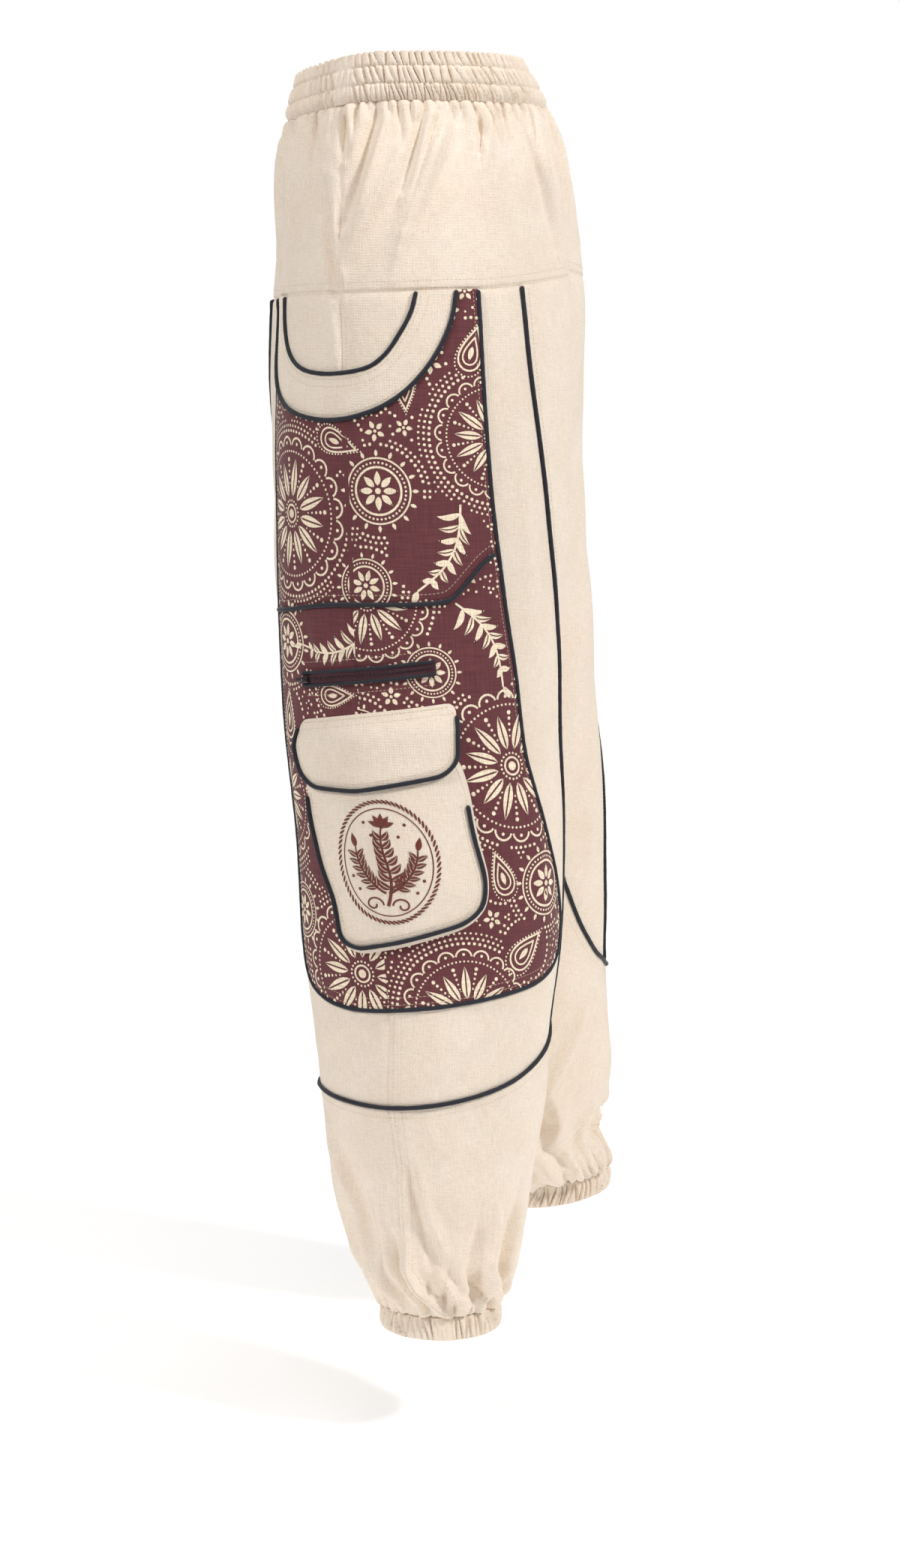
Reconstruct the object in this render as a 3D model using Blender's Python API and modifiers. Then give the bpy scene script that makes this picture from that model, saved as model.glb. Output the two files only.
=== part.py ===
"""Harem pants with piped seams, printed side panels and cargo pockets.

The garment is built as worn: a wall of cloth round an empty hollow. Metres, +Z up,
the front faces -Y and the wearer's left is +X. The origin is the centre of the waist rim.
"""

from math import pi

import bmesh
import bpy
import numpy as np
from mathutils import Matrix, Vector
from mathutils.geometry import delaunay_2d_cdt

# ---------------------------------------------------------------- driving dimensions
SEAM_GAP = 0.0003          # room between two pieces that are sewn together
CLOTH = 0.0014             # wall of a garment panel
PATCH = 0.0010             # wall of a piece sewn on top of a panel

SECTION_COLUMNS = ("level", "centre", "outer", "inner", "front", "back", "tilt")

# Each half of the garment, from the waist rim down to the ankle
LEFT_SECTIONS = (
    (0.000, 0.045, 0.130, 0.000, -0.086, 0.088, 0.00),
    (-0.036, 0.048, 0.139, 0.000, -0.095, 0.108, 0.00),
    (-0.080, 0.055, 0.158, 0.000, -0.100, 0.123, 0.00),
    (-0.130, 0.061, 0.173, 0.000, -0.101, 0.1265, 0.00),
    (-0.185, 0.068, 0.185, 0.000, -0.101, 0.128, 0.00),
    (-0.260, 0.080, 0.195, 0.000, -0.103, 0.128, 0.00),
    (-0.360, 0.092, 0.201, 0.000, -0.1025, 0.126, 0.00),
    (-0.450, 0.099, 0.203, 0.000, -0.1005, 0.121, 0.00),
    (-0.520, 0.102, 0.204, 0.000, -0.097, 0.120, 0.00),
    (-0.600, 0.107, 0.207, 0.010, -0.0895, 0.1233, 0.00),
    (-0.700, 0.115, 0.212, 0.022, -0.0847, 0.121, 0.00),
    (-0.770, 0.122, 0.215, 0.030, -0.0755, 0.1125, 0.00),
    (-0.820, 0.125, 0.214, 0.036, -0.070, 0.110, 0.00),
    (-0.870, 0.129, 0.210, 0.044, -0.0615, 0.1015, 0.00),
    (-0.920, 0.133, 0.207, 0.060, -0.046, 0.093, 0.00),
    (-0.960, 0.139, 0.206, 0.078, -0.036, 0.083, 0.00),
    (-0.985, 0.148, 0.195, 0.101, -0.0215, 0.0725, 0.00),
    (-1.005, 0.149, 0.196, 0.102, -0.0215, 0.0725, 0.00),
)
RIGHT_SECTIONS = (
    (0.000, 0.045, 0.130, 0.000, -0.086, 0.088, 0.00),
    (-0.036, 0.048, 0.139, 0.000, -0.098, 0.1125, 0.00),
    (-0.080, 0.055, 0.158, 0.000, -0.105, 0.128, 0.00),
    (-0.130, 0.061, 0.173, 0.000, -0.109, 0.140, 0.00),
    (-0.185, 0.068, 0.185, 0.000, -0.1145, 0.1465, 0.00),
    (-0.260, 0.080, 0.195, 0.000, -0.1185, 0.144, 0.00),
    (-0.310, 0.086, 0.198, 0.000, -0.117, 0.1415, 0.00),
    (-0.360, 0.092, 0.201, 0.000, -0.115, 0.146, 0.00),
    (-0.450, 0.099, 0.203, 0.000, -0.113, 0.1565, 0.00),
    (-0.520, 0.102, 0.204, 0.000, -0.098, 0.159, 0.00),
    (-0.600, 0.107, 0.207, 0.010, -0.070, 0.1655, 0.00),
    (-0.700, 0.115, 0.212, 0.022, -0.045, 0.168, 0.00),
    (-0.770, 0.122, 0.215, 0.030, -0.028, 0.169, 0.03),
    (-0.830, 0.126, 0.213, 0.038, -0.010, 0.1725, 0.08),
    (-0.870, 0.129, 0.210, 0.045, 0.006, 0.175, 0.13),
    (-0.898, 0.131, 0.207, 0.052, 0.022, 0.1705, 0.17),
    (-0.921, 0.133, 0.205, 0.060, 0.042, 0.162, 0.21),
    (-0.936, 0.136, 0.204, 0.070, 0.060, 0.1676, 0.20),
    (-0.953, 0.139, 0.203, 0.083, 0.074, 0.1733, 0.18),
    (-0.9615, 0.143, 0.190, 0.097, 0.083, 0.175, 0.17),
    (-0.979, 0.143, 0.190, 0.097, 0.083, 0.175, 0.17),
)

# The seam down the centre front, under the crotch and up the centre back
RISE_COLUMNS = ("level", "front", "back")
RISE = (
    (0.000, -0.085, 0.087),
    (-0.036, -0.094, 0.107),
    (-0.080, -0.099, 0.121),
    (-0.130, -0.099, 0.1235),
    (-0.185, -0.0985, 0.1225),
    (-0.260, -0.098, 0.118),
    (-0.330, -0.094, 0.110),
    (-0.400, -0.082, 0.096),
    (-0.460, -0.060, 0.074),
    (-0.500, -0.030, 0.046),
    (-0.520, 0.011, 0.013),
)
CROTCH_LEVEL = -0.520
CROTCH_Y = 0.012
WAIST_DIP = 0.013          # the waist sags this much at the centre front
WAIST_DIP_FROM = -0.020    # in front of this depth
WAIST_DIP_REACH = 0.070    # over this distance
WAIST_DIP_BEND = 1.5
WAIST_DIP_FADE = 0.150     # and less and less down to this level
INSEAM_SETTLE = 0.060      # drop over which the inseam moves to the middle of the leg

EDGE_LIMIT = 0.999         # the edges of a half stop short of its front and back
SECTION_STEPS = 161        # samples round half a section
LEVEL_STEPS = 253          # samples from the waist rim to the ankle

# Where each leg ends: the top and bottom of its cuff, below the waist rim
CUFF = {"left": (0.9855, 1.0035), "right": (0.9615, 0.9790)}
BAND_BOTTOM = 0.0365       # lower edge of the waistband, below the rim

# Side seam: distance below the rim, and its share of the depth from front to back
SIDE_SEAM = (
    (0.000, 0.230),
    (0.080, 0.224),
    (0.180, 0.218),
    (0.735, 0.337),
    (0.811, 0.309),
    (0.861, 0.333),
    (0.912, 0.292),
    (0.945, 0.276),
    (0.960, 0.328),
    (0.985, 0.527),
    (1.005, 0.527),
)
# The share that each side seam hangs further back than that: distance below the rim, share
SEAM_SWING = {
    "left": ((0.000, 0.000), (0.735, 0.000)),
    "right": ((0.000, 0.050), (0.500, 0.050), (0.735, 0.000)),
}
# Seams round a leg: fraction of the way round from the centre front, and distance down
YOKE_EDGE = (
    (0.00, 0.186),
    (0.36, 0.183),
    (0.60, 0.180),
    (0.75, 0.172),
    (0.90, 0.166),
    (1.00, 0.162),
)
LOWER_EDGE = (
    (0.000, 0.812),
    (0.270, 0.810),
    (0.440, 0.811),
    (0.573, 0.800),
    (0.674, 0.783),
    (0.760, 0.764),
    (0.815, 0.747),
    (0.852, 0.718),
    (0.876, 0.680),
    (0.890, 0.645),
    (0.915, 0.600),
    (0.955, 0.550),
    (1.000, 0.520),
)
# Seams and outlines: distance round from the side seam, towards the back, and down
SEAT_SEAM = (
    (0.149, 0.1740),
    (0.155, 0.2300),
    (0.168, 0.3140),
    (0.176, 0.3720),
    (0.188, 0.4300),
    (0.202, 0.4900),
    (0.203, 0.5500),
    (0.208, 0.6100),
    (0.205, 0.6700),
    (0.196, 0.7300),
    (0.190, 0.7700),
)
PRINT_EDGE = (
    (0.110, 0.1780),
    (0.111, 0.2400),
    (0.114, 0.3410),
    (0.121, 0.4130),
    (0.129, 0.4750),
    (0.134, 0.5400),
    (0.148, 0.5950),
    (0.167, 0.6450),
    (0.174, 0.6800),
    (0.164, 0.7040),
    (0.138, 0.7160),
    (0.094, 0.7230),
    (0.022, 0.7310),
    (-0.032, 0.7350),
    (-0.072, 0.7290),
    (-0.094, 0.7160),
    (-0.101, 0.6900),
    (-0.101, 0.6500),
    (-0.109, 0.5600),
    (-0.105, 0.4700),
    (-0.109, 0.3840),
    (-0.117, 0.3000),
    (-0.127, 0.2400),
    (-0.134, 0.1840),
)
MOUTH_EDGE = (
    (-0.080, 0.1840),
    (-0.079, 0.2050),
    (-0.068, 0.2270),
    (-0.046, 0.2400),
    (-0.014, 0.2440),
    (0.019, 0.2400),
    (0.036, 0.2300),
    (0.049, 0.2130),
    (0.058, 0.1970),
    (0.063, 0.1800),
)
BAND_EDGE = (
    (-0.119, 0.1850),
    (-0.119, 0.2150),
    (-0.108, 0.2430),
    (-0.085, 0.2630),
    (-0.051, 0.2750),
    (-0.011, 0.2790),
    (0.024, 0.2720),
    (0.051, 0.2570),
    (0.073, 0.2330),
    (0.087, 0.2060),
    (0.093, 0.1800),
)
POCKET_EDGE = (
    (-0.106, 0.4300),
    (-0.072, 0.4270),
    (-0.020, 0.4200),
    (0.045, 0.4180),
    (0.071, 0.4160),
    (0.082, 0.4100),
    (0.103, 0.3880),
    (0.117, 0.3780),
)
ZIP_OUTLINE = (
    (-0.055, 0.4750),
    (0.062, 0.4610),
    (0.062, 0.4710),
    (-0.055, 0.4850),
)
FLAP_OUTLINE = (
    (-0.062, 0.5120),
    (0.005, 0.5020),
    (0.075, 0.4930),
    (0.073, 0.5180),
    (0.071, 0.5380),
    (0.059, 0.5490),
    (-0.007, 0.5620),
    (-0.048, 0.5620),
    (-0.062, 0.5540),
    (-0.068, 0.5340),
)
CARGO_OUTLINE = (
    (-0.059, 0.5460),
    (-0.001, 0.5420),
    (0.068, 0.5360),
    (0.073, 0.5600),
    (0.075, 0.5960),
    (0.082, 0.6320),
    (0.079, 0.6520),
    (0.064, 0.6640),
    (0.012, 0.6790),
    (-0.020, 0.6860),
    (-0.034, 0.6800),
    (-0.038, 0.6500),
    (-0.050, 0.6240),
    (-0.058, 0.5900),
)

SLIDER_PLACE = (-0.049, 0.4794)
SLIDER_FACES = (-0.039, 0.4782)    # the slider points along the zip towards this
SLIDER_SIZE = (0.0070, 0.0042, 0.0022)
SLIDER_BEVEL = 0.0005
SLIDER_CLEARANCE = 0.0002

# Soft single folds, a ridge or trough between two points: distance round from the side
# seam and down at its start, the same at its end, its reach to either side and its height
FOLDS = (
    (0.235, 0.200, 0.262, 0.420, 0.022, 0.0045),
    (0.270, 0.400, 0.330, 0.500, 0.024, -0.0050),
    (-0.160, 0.330, -0.205, 0.500, 0.026, 0.0050),
    (-0.230, 0.560, -0.180, 0.700, 0.026, -0.0045),
    (0.230, 0.790, 0.180, 0.900, 0.022, 0.0050),
    (-0.060, 0.840, -0.040, 0.930, 0.018, -0.0045),
    (-0.095, 0.860, -0.080, 0.950, 0.018, 0.0050),
    (0.060, 0.850, 0.050, 0.930, 0.018, 0.0040),
)

FOLD_END = 0.12            # share of a fold's length from which its ends are drawn out

# Runs of folds round each half: how many; where they start, are highest and end, down from
# the rim at the waist and from the cuff at the ankle; their height and how far they wander
WAIST_GATHERS = (8, 0.030, 0.052, 0.150, 0.0030, 0.10)
ANKLE_GATHERS = (13, -0.120, -0.016, 0.012, 0.0040, 0.10)
GATHER_UNEVEN = 0.25       # share by which their height varies
GATHER_FREE = 0.016        # the gathers fade out about this far from the side seam

# Patches on the side panel, as lifts above the panel's own surface
REST = 0.0003              # clearance of a patch over what it lies on
PRINT_LIFT = REST
ON_PRINT = PRINT_LIFT + PATCH + REST
POCKET_DEPTH = 0.0038      # hollow of the bellows pocket
BAG_LIFT = PRINT_LIFT + PATCH + POCKET_DEPTH
FLAP_LIFT = BAG_LIFT + PATCH + REST + 0.00005
FLAP_HINGE = 0.022         # drop over which the flap climbs onto the pocket
FLAP_TOP_POINTS = 3        # points of the flap's outline along its sewn edge
CARGO_MOUTH = 0.5465       # the pocket's open upper edge is above this
CARGO_PIPING_TOP = 0.572   # its piping shows below this, under the flap
BELLOWS_SPREAD = 0.0025    # the bellows' foot lies this far outside the pocket's face

PIPING_RADIUS = 0.0018
WELT_RADIUS = 0.0013
PIPING_REST = 0.00035      # clearance under a piping cord
PIPING_ROOM = PIPING_RADIUS + 0.0004
LINE_STEP = 0.032          # spacing of points along seams
OUTLINE_STEP = 0.026       # the same round the pocket and its flap
MOUTH_STEP = 0.020         # the same round the tight curve of the pocket's mouth
PANEL_STEP = 0.045         # spacing of points inside panels
PANEL_ROOM = 0.020         # such points keep this far from every seam
RISE_POINTS = 12           # points down the centre front and the centre back
INSEAM_POINTS = 9          # points from the crotch to the shin seam
SIDE_POINTS = 22           # points from the yoke to the ankle
ANKLE_COLUMNS = 48         # columns of points above each cuff
ANKLE_ROOM = 0.004         # the points between them keep this far from every seam
CUFF_ROOM = 0.008          # and this far above the cuff
ANKLE_ROWS = (0.840, 0.868, 0.893, 0.915, 0.935, 0.953, 0.969)
SAME_POINT = 1e-5          # points closer than this are one point
SLIVER = 1e-8              # area below which a triangle is left out
STUB = 0.002               # shortest piece left at the end of a piping cord
STRAIGHT = 0.98            # cosine above which two edges of a rim count as one line
CORNER_LIMIT = 3           # a rim's corner moves at most this many times its edges' own room
CROWD = 0.007              # points of a line closer than this to a crossing are left out
END_ROOM = 0.001           # piping stops this short of the seam that it runs into
CROSSING_ROOM = 2 * PIPING_RADIUS + 0.001
CROTCH_ROOM = 0.075        # the lower piping stops this far from the crotch

BAND_COLUMNS = 56          # columns of points round each half of the waistband
CUFF_COLUMNS = 72
YOKE_COLUMNS = {"front": 12, "back": 20}
YOKE_ROWS = 5
BAND_CLOTH = 0.0014        # wall of the gathered bands
FLAT_PATCH = 0.010         # half-width of the ungathered patch at each side seam
# Rows down a gathered band: drop as a share of its height, bulge, size of the gathers
BAND_ROWS = (
    (0.00, 0.0014, 0.0014),
    (0.29, 0.0000, 0.0009),
    (0.47, 0.0018, 0.0014),
    (0.66, 0.0000, 0.0009),
    (0.83, 0.0016, 0.0012),
    (1.00, 0.0000, 0.0008),
)
CUFF_ROWS = (
    (0.00, 0.0002, 0.0012),
    (0.50, 0.0016, 0.0016),
    (1.00, 0.0000, 0.0014),
)

GARMENT = "harem_pants"
# Linear colour, roughness and metallic value of each cloth
FINISHES = {
    "linen": ((0.84, 0.72, 0.58), 0.92, 0.0),
    "print": ((0.175, 0.062, 0.068), 0.80, 0.0),
    "piping": ((0.016, 0.018, 0.030), 0.60, 0.0),
    "tape": ((0.060, 0.018, 0.024), 0.75, 0.0),
    "slider": ((0.020, 0.020, 0.022), 0.45, 0.6),
}


# ---------------------------------------------------------------- sections
def spline(rows, columns, name, levels):
    """Smooth value of one column of a table at each level."""
    heights = np.array([-row[columns.index("level")] for row in rows])
    values = np.array([row[columns.index(name)] for row in rows])
    slopes = np.gradient(values, heights)
    depth = np.clip(-np.asarray(levels, float), heights[0], heights[-1])
    row = np.clip(np.searchsorted(heights, depth, side="right") - 1, 0, len(heights) - 2)
    step = heights[row + 1] - heights[row]
    t = (depth - heights[row]) / step
    rise = values[row + 1] - values[row]
    ease = t * t * (3 - 2 * t)
    start_pull = t * (1 - t) ** 2 * step * slopes[row]
    end_pull = -t * t * (1 - t) * step * slopes[row + 1]
    return values[row] + ease * rise + start_pull + end_pull


def half_section(rows, level):
    """Points round one half at a level, from the inner front edge to the inner back edge."""
    centre, outer, inner, front, back, tilt = (
        float(spline(rows, SECTION_COLUMNS, name, level)) for name in SECTION_COLUMNS[1:]
    )
    middle = (front + back) / 2
    if level > CROTCH_LEVEL:
        edge_front = float(spline(RISE, RISE_COLUMNS, "front", level))
        edge_back = float(spline(RISE, RISE_COLUMNS, "back", level))
        inner = 0.0
    else:
        crotch_middle = float(
            spline(rows, SECTION_COLUMNS, "front", CROTCH_LEVEL)
            + spline(rows, SECTION_COLUMNS, "back", CROTCH_LEVEL)
        ) / 2
        settle = np.exp((level - CROTCH_LEVEL) / INSEAM_SETTLE)
        edge_front = edge_back = middle + (CROTCH_Y - crotch_middle) * settle
    turn = np.linspace(0, 1, SECTION_STEPS)
    points = []
    for edge, side_depth, sign in (
        (edge_front, middle - front, -1),
        (edge_back, back - middle, 1),
    ):
        start = np.arcsin(np.clip(sign * (edge - middle) / side_depth, -EDGE_LIMIT, EDGE_LIMIT))
        arc = start + (pi / 2 - start) * turn
        inner_x = centre - (centre - inner) * np.cos(arc) / np.cos(start)
        inner_y = middle + sign * side_depth * np.sin(arc)
        arc = pi / 2 * (1 - turn[1:])
        outer_x = centre + (outer - centre) * np.cos(arc)
        outer_y = middle + sign * side_depth * np.sin(arc)
        points.append(np.column_stack([np.append(inner_x, outer_x), np.append(inner_y, outer_y)]))
    loop = np.vstack([points[0], points[1][-2::-1]])
    sag = np.clip((WAIST_DIP_FROM - loop[:, 1]) / WAIST_DIP_REACH, 0, 1) ** WAIST_DIP_BEND
    sag = WAIST_DIP * sag * np.clip(1 + level / WAIST_DIP_FADE, 0, 1)
    height = level + tilt * (loop[:, 1] - middle) - sag
    return np.column_stack([loop, height])


# ---------------------------------------------------------------- the surface of one half
class Half:
    """The outer surface of one half of the garment, addressed round it and down it."""

    def __init__(self, side, rows):
        self.side = side
        self.mirror = 1 if side == "left" else -1
        self.downs = np.linspace(0, CUFF[side][1], LEVEL_STEPS)
        self.fractions = np.linspace(0, 1, SECTION_STEPS)
        self.girths = np.zeros(LEVEL_STEPS)
        self.seam = np.zeros(LEVEL_STEPS)
        shares = np.interp(self.downs, *zip(*SIDE_SEAM))
        shares = shares + np.interp(self.downs, *zip(*SEAM_SWING[side]))
        apex = slice(SECTION_STEPS - 1, 3 * SECTION_STEPS - 2)
        grid = np.zeros((LEVEL_STEPS, SECTION_STEPS, 3))
        for row, down in enumerate(self.downs):
            loop = half_section(rows, -down)
            steps = np.linalg.norm(np.diff(loop, axis=0), axis=1)
            length = np.append(0, np.cumsum(steps))
            self.girths[row] = length[-1]
            outside = loop[apex, 1]
            spot = outside[0] + shares[row] * (outside[-1] - outside[0])
            self.seam[row] = np.interp(spot, outside, length[apex] / length[-1])
            for axis in range(3):
                grid[row, :, axis] = np.interp(self.fractions, length / length[-1], loop[:, axis])
        around, down = self.grid_flat()
        height = sum(fold_height(fold, around, down) for fold in FOLDS)
        height = height + self.gathers(down, *WAIST_GATHERS)
        cuff_top = CUFF[side][0]
        count, start, peak, end, size, wander = ANKLE_GATHERS
        height = height + self.gathers(
            down, count, cuff_top + start, cuff_top + peak, cuff_top + end, size, wander
        )
        tube = self.downs > -CROTCH_LEVEL
        grid = grid + grid_normals(grid, tube) * height[..., None]
        grid[..., 0] = np.maximum(grid[..., 0], SEAM_GAP / 2)
        self.grid = grid * (self.mirror, 1, 1)
        self.normals = grid_normals(grid, tube) * (self.mirror, 1, 1)

    def grid_flat(self):
        """Distance round from the side seam and down from the rim, for every grid point."""
        around = (self.fractions[None, :] - self.seam[:, None]) * self.girths[:, None]
        return around, np.repeat(self.downs[:, None], SECTION_STEPS, axis=1)

    def side_seam(self, down):
        """Fraction of the way round this half at which its side seam runs."""
        return np.interp(down, self.downs, self.seam)

    def girth(self, down):
        """Length round this half at a distance down."""
        return np.interp(down, self.downs, self.girths)

    def gathers(self, down, count, start, peak, end, size, wander):
        """Height of a run of even folds that swells and fades down the garment."""
        fraction = np.repeat(self.fractions[None, :], LEVEL_STEPS, axis=0)
        rising = np.clip((down - start) / (peak - start), 0, 1)
        falling = np.clip((end - down) / (end - peak), 0, 1)
        share = np.minimum(rising, falling)
        ease = share * share * (3 - 2 * share)
        turn = count * fraction + wander * np.sin(2 * pi * 3 * fraction + count)
        uneven = 1 - GATHER_UNEVEN + GATHER_UNEVEN * np.sin(2 * pi * 5 * fraction + 1.3)
        plain = np.clip(np.abs(self.grid_flat()[0]) / GATHER_FREE - 0.5, 0, 1)
        return size * ease * uneven * plain * np.cos(2 * pi * turn)

    def place(self, fraction, down):
        """Points at fractions of the way round and distances down, and their normals."""
        fraction, down = np.broadcast_arrays(np.asarray(fraction, float), np.asarray(down, float))
        column = np.clip(fraction, 0, 1) * (SECTION_STEPS - 1)
        row = np.clip(down / self.downs[-1], 0, 1) * (LEVEL_STEPS - 1)
        left = np.minimum(column.astype(int), SECTION_STEPS - 2)
        top = np.minimum(row.astype(int), LEVEL_STEPS - 2)
        across = (column - left)[..., None]
        along = (row - top)[..., None]

        def blend(grid):
            upper = grid[top, left] * (1 - across) + grid[top, left + 1] * across
            lower = grid[top + 1, left] * (1 - across) + grid[top + 1, left + 1] * across
            return upper * (1 - along) + lower * along

        normals = blend(self.normals)
        return blend(self.grid), normals / np.linalg.norm(normals, axis=-1, keepdims=True)


def grid_normals(grid, tube):
    """Unit normals of a grid of points, pointing out; rows of a tube close on themselves."""
    first = np.where(tube[:, None], grid[:, -2], 2 * grid[:, 0] - grid[:, 1])
    last = np.where(tube[:, None], grid[:, 1], 2 * grid[:, -1] - grid[:, -2])
    padded = np.concatenate([first[:, None], grid, last[:, None]], axis=1)
    normals = np.cross(np.gradient(grid, axis=0), padded[:, 2:] - padded[:, :-2])
    return normals / np.linalg.norm(normals, axis=2, keepdims=True)


def fold_height(fold, around, down):
    """Height of one soft fold, which fades to its sides and ends."""
    start = np.array(fold[0:2])
    run = np.array(fold[2:4]) - start
    reach, height = fold[4:6]
    across, along = around - start[0], down - start[1]
    share = np.clip((across * run[0] + along * run[1]) / run.dot(run), 0, 1)
    gap = np.hypot(across - share * run[0], along - share * run[1])
    return height * np.exp(-((gap / reach) ** 2)) * np.sin(pi * np.clip(share, FOLD_END, 1 - FOLD_END))


# ---------------------------------------------------------------- the flat pattern
class Pattern:
    """The cut of one leg laid flat, triangulated so that every seam runs along edges."""

    def __init__(self, half):
        self.half = half
        self.width = float(half.girth(-CROTCH_LEVEL))
        self.lines = self.seam_lines()
        self.join_crossings()
        self.mesh_points, self.faces = self.triangulate()
        self.fraction = self.mesh_points[:, 0] / self.width
        self.down = self.mesh_points[:, 1]
        self.middles = self.mesh_points[self.faces].mean(axis=1)

    def flat(self, rows):
        """Points given round from the side seam, moved into the pattern's own plane."""
        around, down = np.array(rows, float).T
        fraction = self.half.side_seam(down) + around / self.half.girth(down)
        return np.column_stack([fraction * self.width, down])

    def along_side(self, downs):
        """Points on the side seam at some distances down."""
        return np.column_stack([self.half.side_seam(downs) * self.width, downs])

    def seam_lines(self):
        """Every seam and outline, each as an even run of points."""
        cuff_top = CUFF[self.half.side][0]
        scale = (self.width, 1.0)
        upper = self.along_side(np.linspace(YOKE_EDGE[1][1], ANKLE_ROWS[0], SIDE_POINTS))
        ankle_side = self.along_side(np.array(ANKLE_ROWS[1:-1] + (cuff_top,)))
        lower = np.array(LOWER_EDGE) * scale
        yoke = np.array(YOKE_EDGE) * scale
        lines = {
            "yoke": resample(yoke, LINE_STEP),
            "lower": resample(smooth(lower), LINE_STEP),
            "cuff": np.column_stack(
                [np.linspace(0, self.width, ANKLE_COLUMNS + 1), np.full(ANKLE_COLUMNS + 1, cuff_top)]
            ),
            "side": np.vstack([upper, ankle_side]),
            "seat": self.flat(resample(smooth(SEAT_SEAM), LINE_STEP)),
            "print": self.flat(resample(smooth(PRINT_EDGE), OUTLINE_STEP)),
            "mouth": self.flat(resample(smooth(MOUTH_EDGE), MOUTH_STEP)),
            "band": self.flat(resample(smooth(BAND_EDGE), OUTLINE_STEP)),
            "pocket": self.flat(resample(POCKET_EDGE, LINE_STEP)),
            "zip": self.flat(outline(ZIP_OUTLINE, LINE_STEP)),
            "flap": self.flat(outline(FLAP_OUTLINE, OUTLINE_STEP)),
            "cargo": self.flat(outline(CARGO_OUTLINE, OUTLINE_STEP)),
        }
        for name in ("seat", "print", "mouth", "band"):
            lines[name][0] = nearest_on(lines["yoke"], lines[name][0])
        for name in ("print", "mouth", "band"):
            lines[name][-1] = nearest_on(lines["yoke"], lines[name][-1])
        lines["side"][0] = nearest_on(lines["yoke"], lines["side"][0])
        lines["seat"][-1] = nearest_on(lines["lower"], lines["seat"][-1])
        lines["pocket"][0] = nearest_on(lines["print"], lines["pocket"][0])
        lines["pocket"][-1] = nearest_on(lines["print"], lines["pocket"][-1])
        crotch, shin = -CROTCH_LEVEL, LOWER_EDGE[0][1]
        rise_front = np.linspace(YOKE_EDGE[0][1], crotch, RISE_POINTS)
        rise_back = np.linspace(YOKE_EDGE[-1][1], crotch, RISE_POINTS)
        inseam = np.linspace(crotch, shin, INSEAM_POINTS)
        ankle = np.array((shin,) + ANKLE_ROWS[:-1] + (cuff_top,))
        for name, across, downs in (
            ("centre_front", 0.0, rise_front),
            ("inseam_front", 0.0, np.append(inseam, ankle[1:])),
            ("centre_back", self.width, rise_back),
            ("inseam_back", self.width, np.append(inseam, ankle[1:])),
        ):
            lines[name] = np.column_stack([np.full(len(downs), across), downs])
        return lines

    def join_crossings(self):
        """Give lines that cross a shared point, and drop points that crowd it."""
        names = list(self.lines)
        crossing = {name: [] for name in names}
        for index, first in enumerate(names):
            for second in names[index + 1:]:
                for where, a, b in crossings(self.lines[first], self.lines[second]):
                    crossing[first].append((a, where))
                    crossing[second].append((b, where))
        for name in names:
            self.lines[name] = with_points(self.lines[name], crossing[name])

    def triangulate(self):
        """The constrained triangles between all the lines."""
        points, edges = [], []
        for line in self.lines.values():
            first = len(points)
            points.extend(line)
            edges.extend((first + step, first + step + 1) for step in range(len(line) - 1))
        segments = [(line[:-1], line[1:]) for line in self.lines.values()]
        starts = np.vstack([start for start, _ in segments])
        ends = np.vstack([end for _, end in segments])
        for spots, room in (
            (self.panel_points(), PANEL_ROOM),
            (self.ankle_points(), ANKLE_ROOM),
        ):
            points.extend(spots[distance_to_segments(spots, starts, ends) > room])
        result = delaunay_2d_cdt([Vector(point) for point in points], edges, [], 0, SAME_POINT)
        vertices = np.array([tuple(vertex) for vertex in result[0]])
        faces = np.array([list(face) for face in result[2]])
        middle = vertices[faces].mean(axis=1)
        fraction = middle[:, 0] / self.width
        yoke_down = np.interp(fraction, *zip(*YOKE_EDGE))
        corner = vertices[faces]
        one, two = corner[:, 1] - corner[:, 0], corner[:, 2] - corner[:, 0]
        area = np.abs(one[:, 0] * two[:, 1] - one[:, 1] * two[:, 0]) / 2
        return vertices, faces[(middle[:, 1] > yoke_down) & (area > SLIVER)]

    def panel_points(self):
        """Points inside the panels, in rows that are offset from each other."""
        drop = PANEL_STEP * np.sqrt(3) / 2
        downs = np.arange(YOKE_EDGE[0][1], ANKLE_ROWS[0] - PANEL_ROOM, drop)
        return np.array([
            (across + (row % 2) * PANEL_STEP / 2, down)
            for row, down in enumerate(downs)
            for across in np.arange(0, self.width, PANEL_STEP)
        ])

    def ankle_points(self):
        """Points of the gathers above the cuff, in columns that meet the cuff's own."""
        last = CUFF[self.half.side][0] - CUFF_ROOM
        return np.array([
            (column * self.width / ANKLE_COLUMNS, down)
            for down in ANKLE_ROWS
            for column in range(1, ANKLE_COLUMNS)
            if down < last
        ])

    def vertices_on(self, name):
        """Indices of the mesh points on a line, in order along it."""
        line = self.lines[name]
        found = []
        length = 0.0
        for start, end in zip(line[:-1], line[1:]):
            run = end - start
            size = np.linalg.norm(run)
            share = (self.mesh_points - start) @ run / size ** 2
            gap = np.linalg.norm(self.mesh_points - start - share[:, None] * run, axis=1)
            hits = np.where((gap < 2 * SAME_POINT) & (share > -1e-4) & (share < 1 + 1e-4))[0]
            found.extend((length + share[hit] * size, hit) for hit in hits)
            length += size
        ordered = []
        for _, index in sorted(found):
            if index not in ordered:
                ordered.append(index)
        return ordered

    def behind(self, line_name):
        """Whether triangles lie behind a line that runs down the leg."""
        line = self.lines[line_name]
        order = np.argsort(line[:, 1])
        return self.middles[:, 0] > np.interp(self.middles[:, 1], line[order, 1], line[order, 0])

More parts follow.
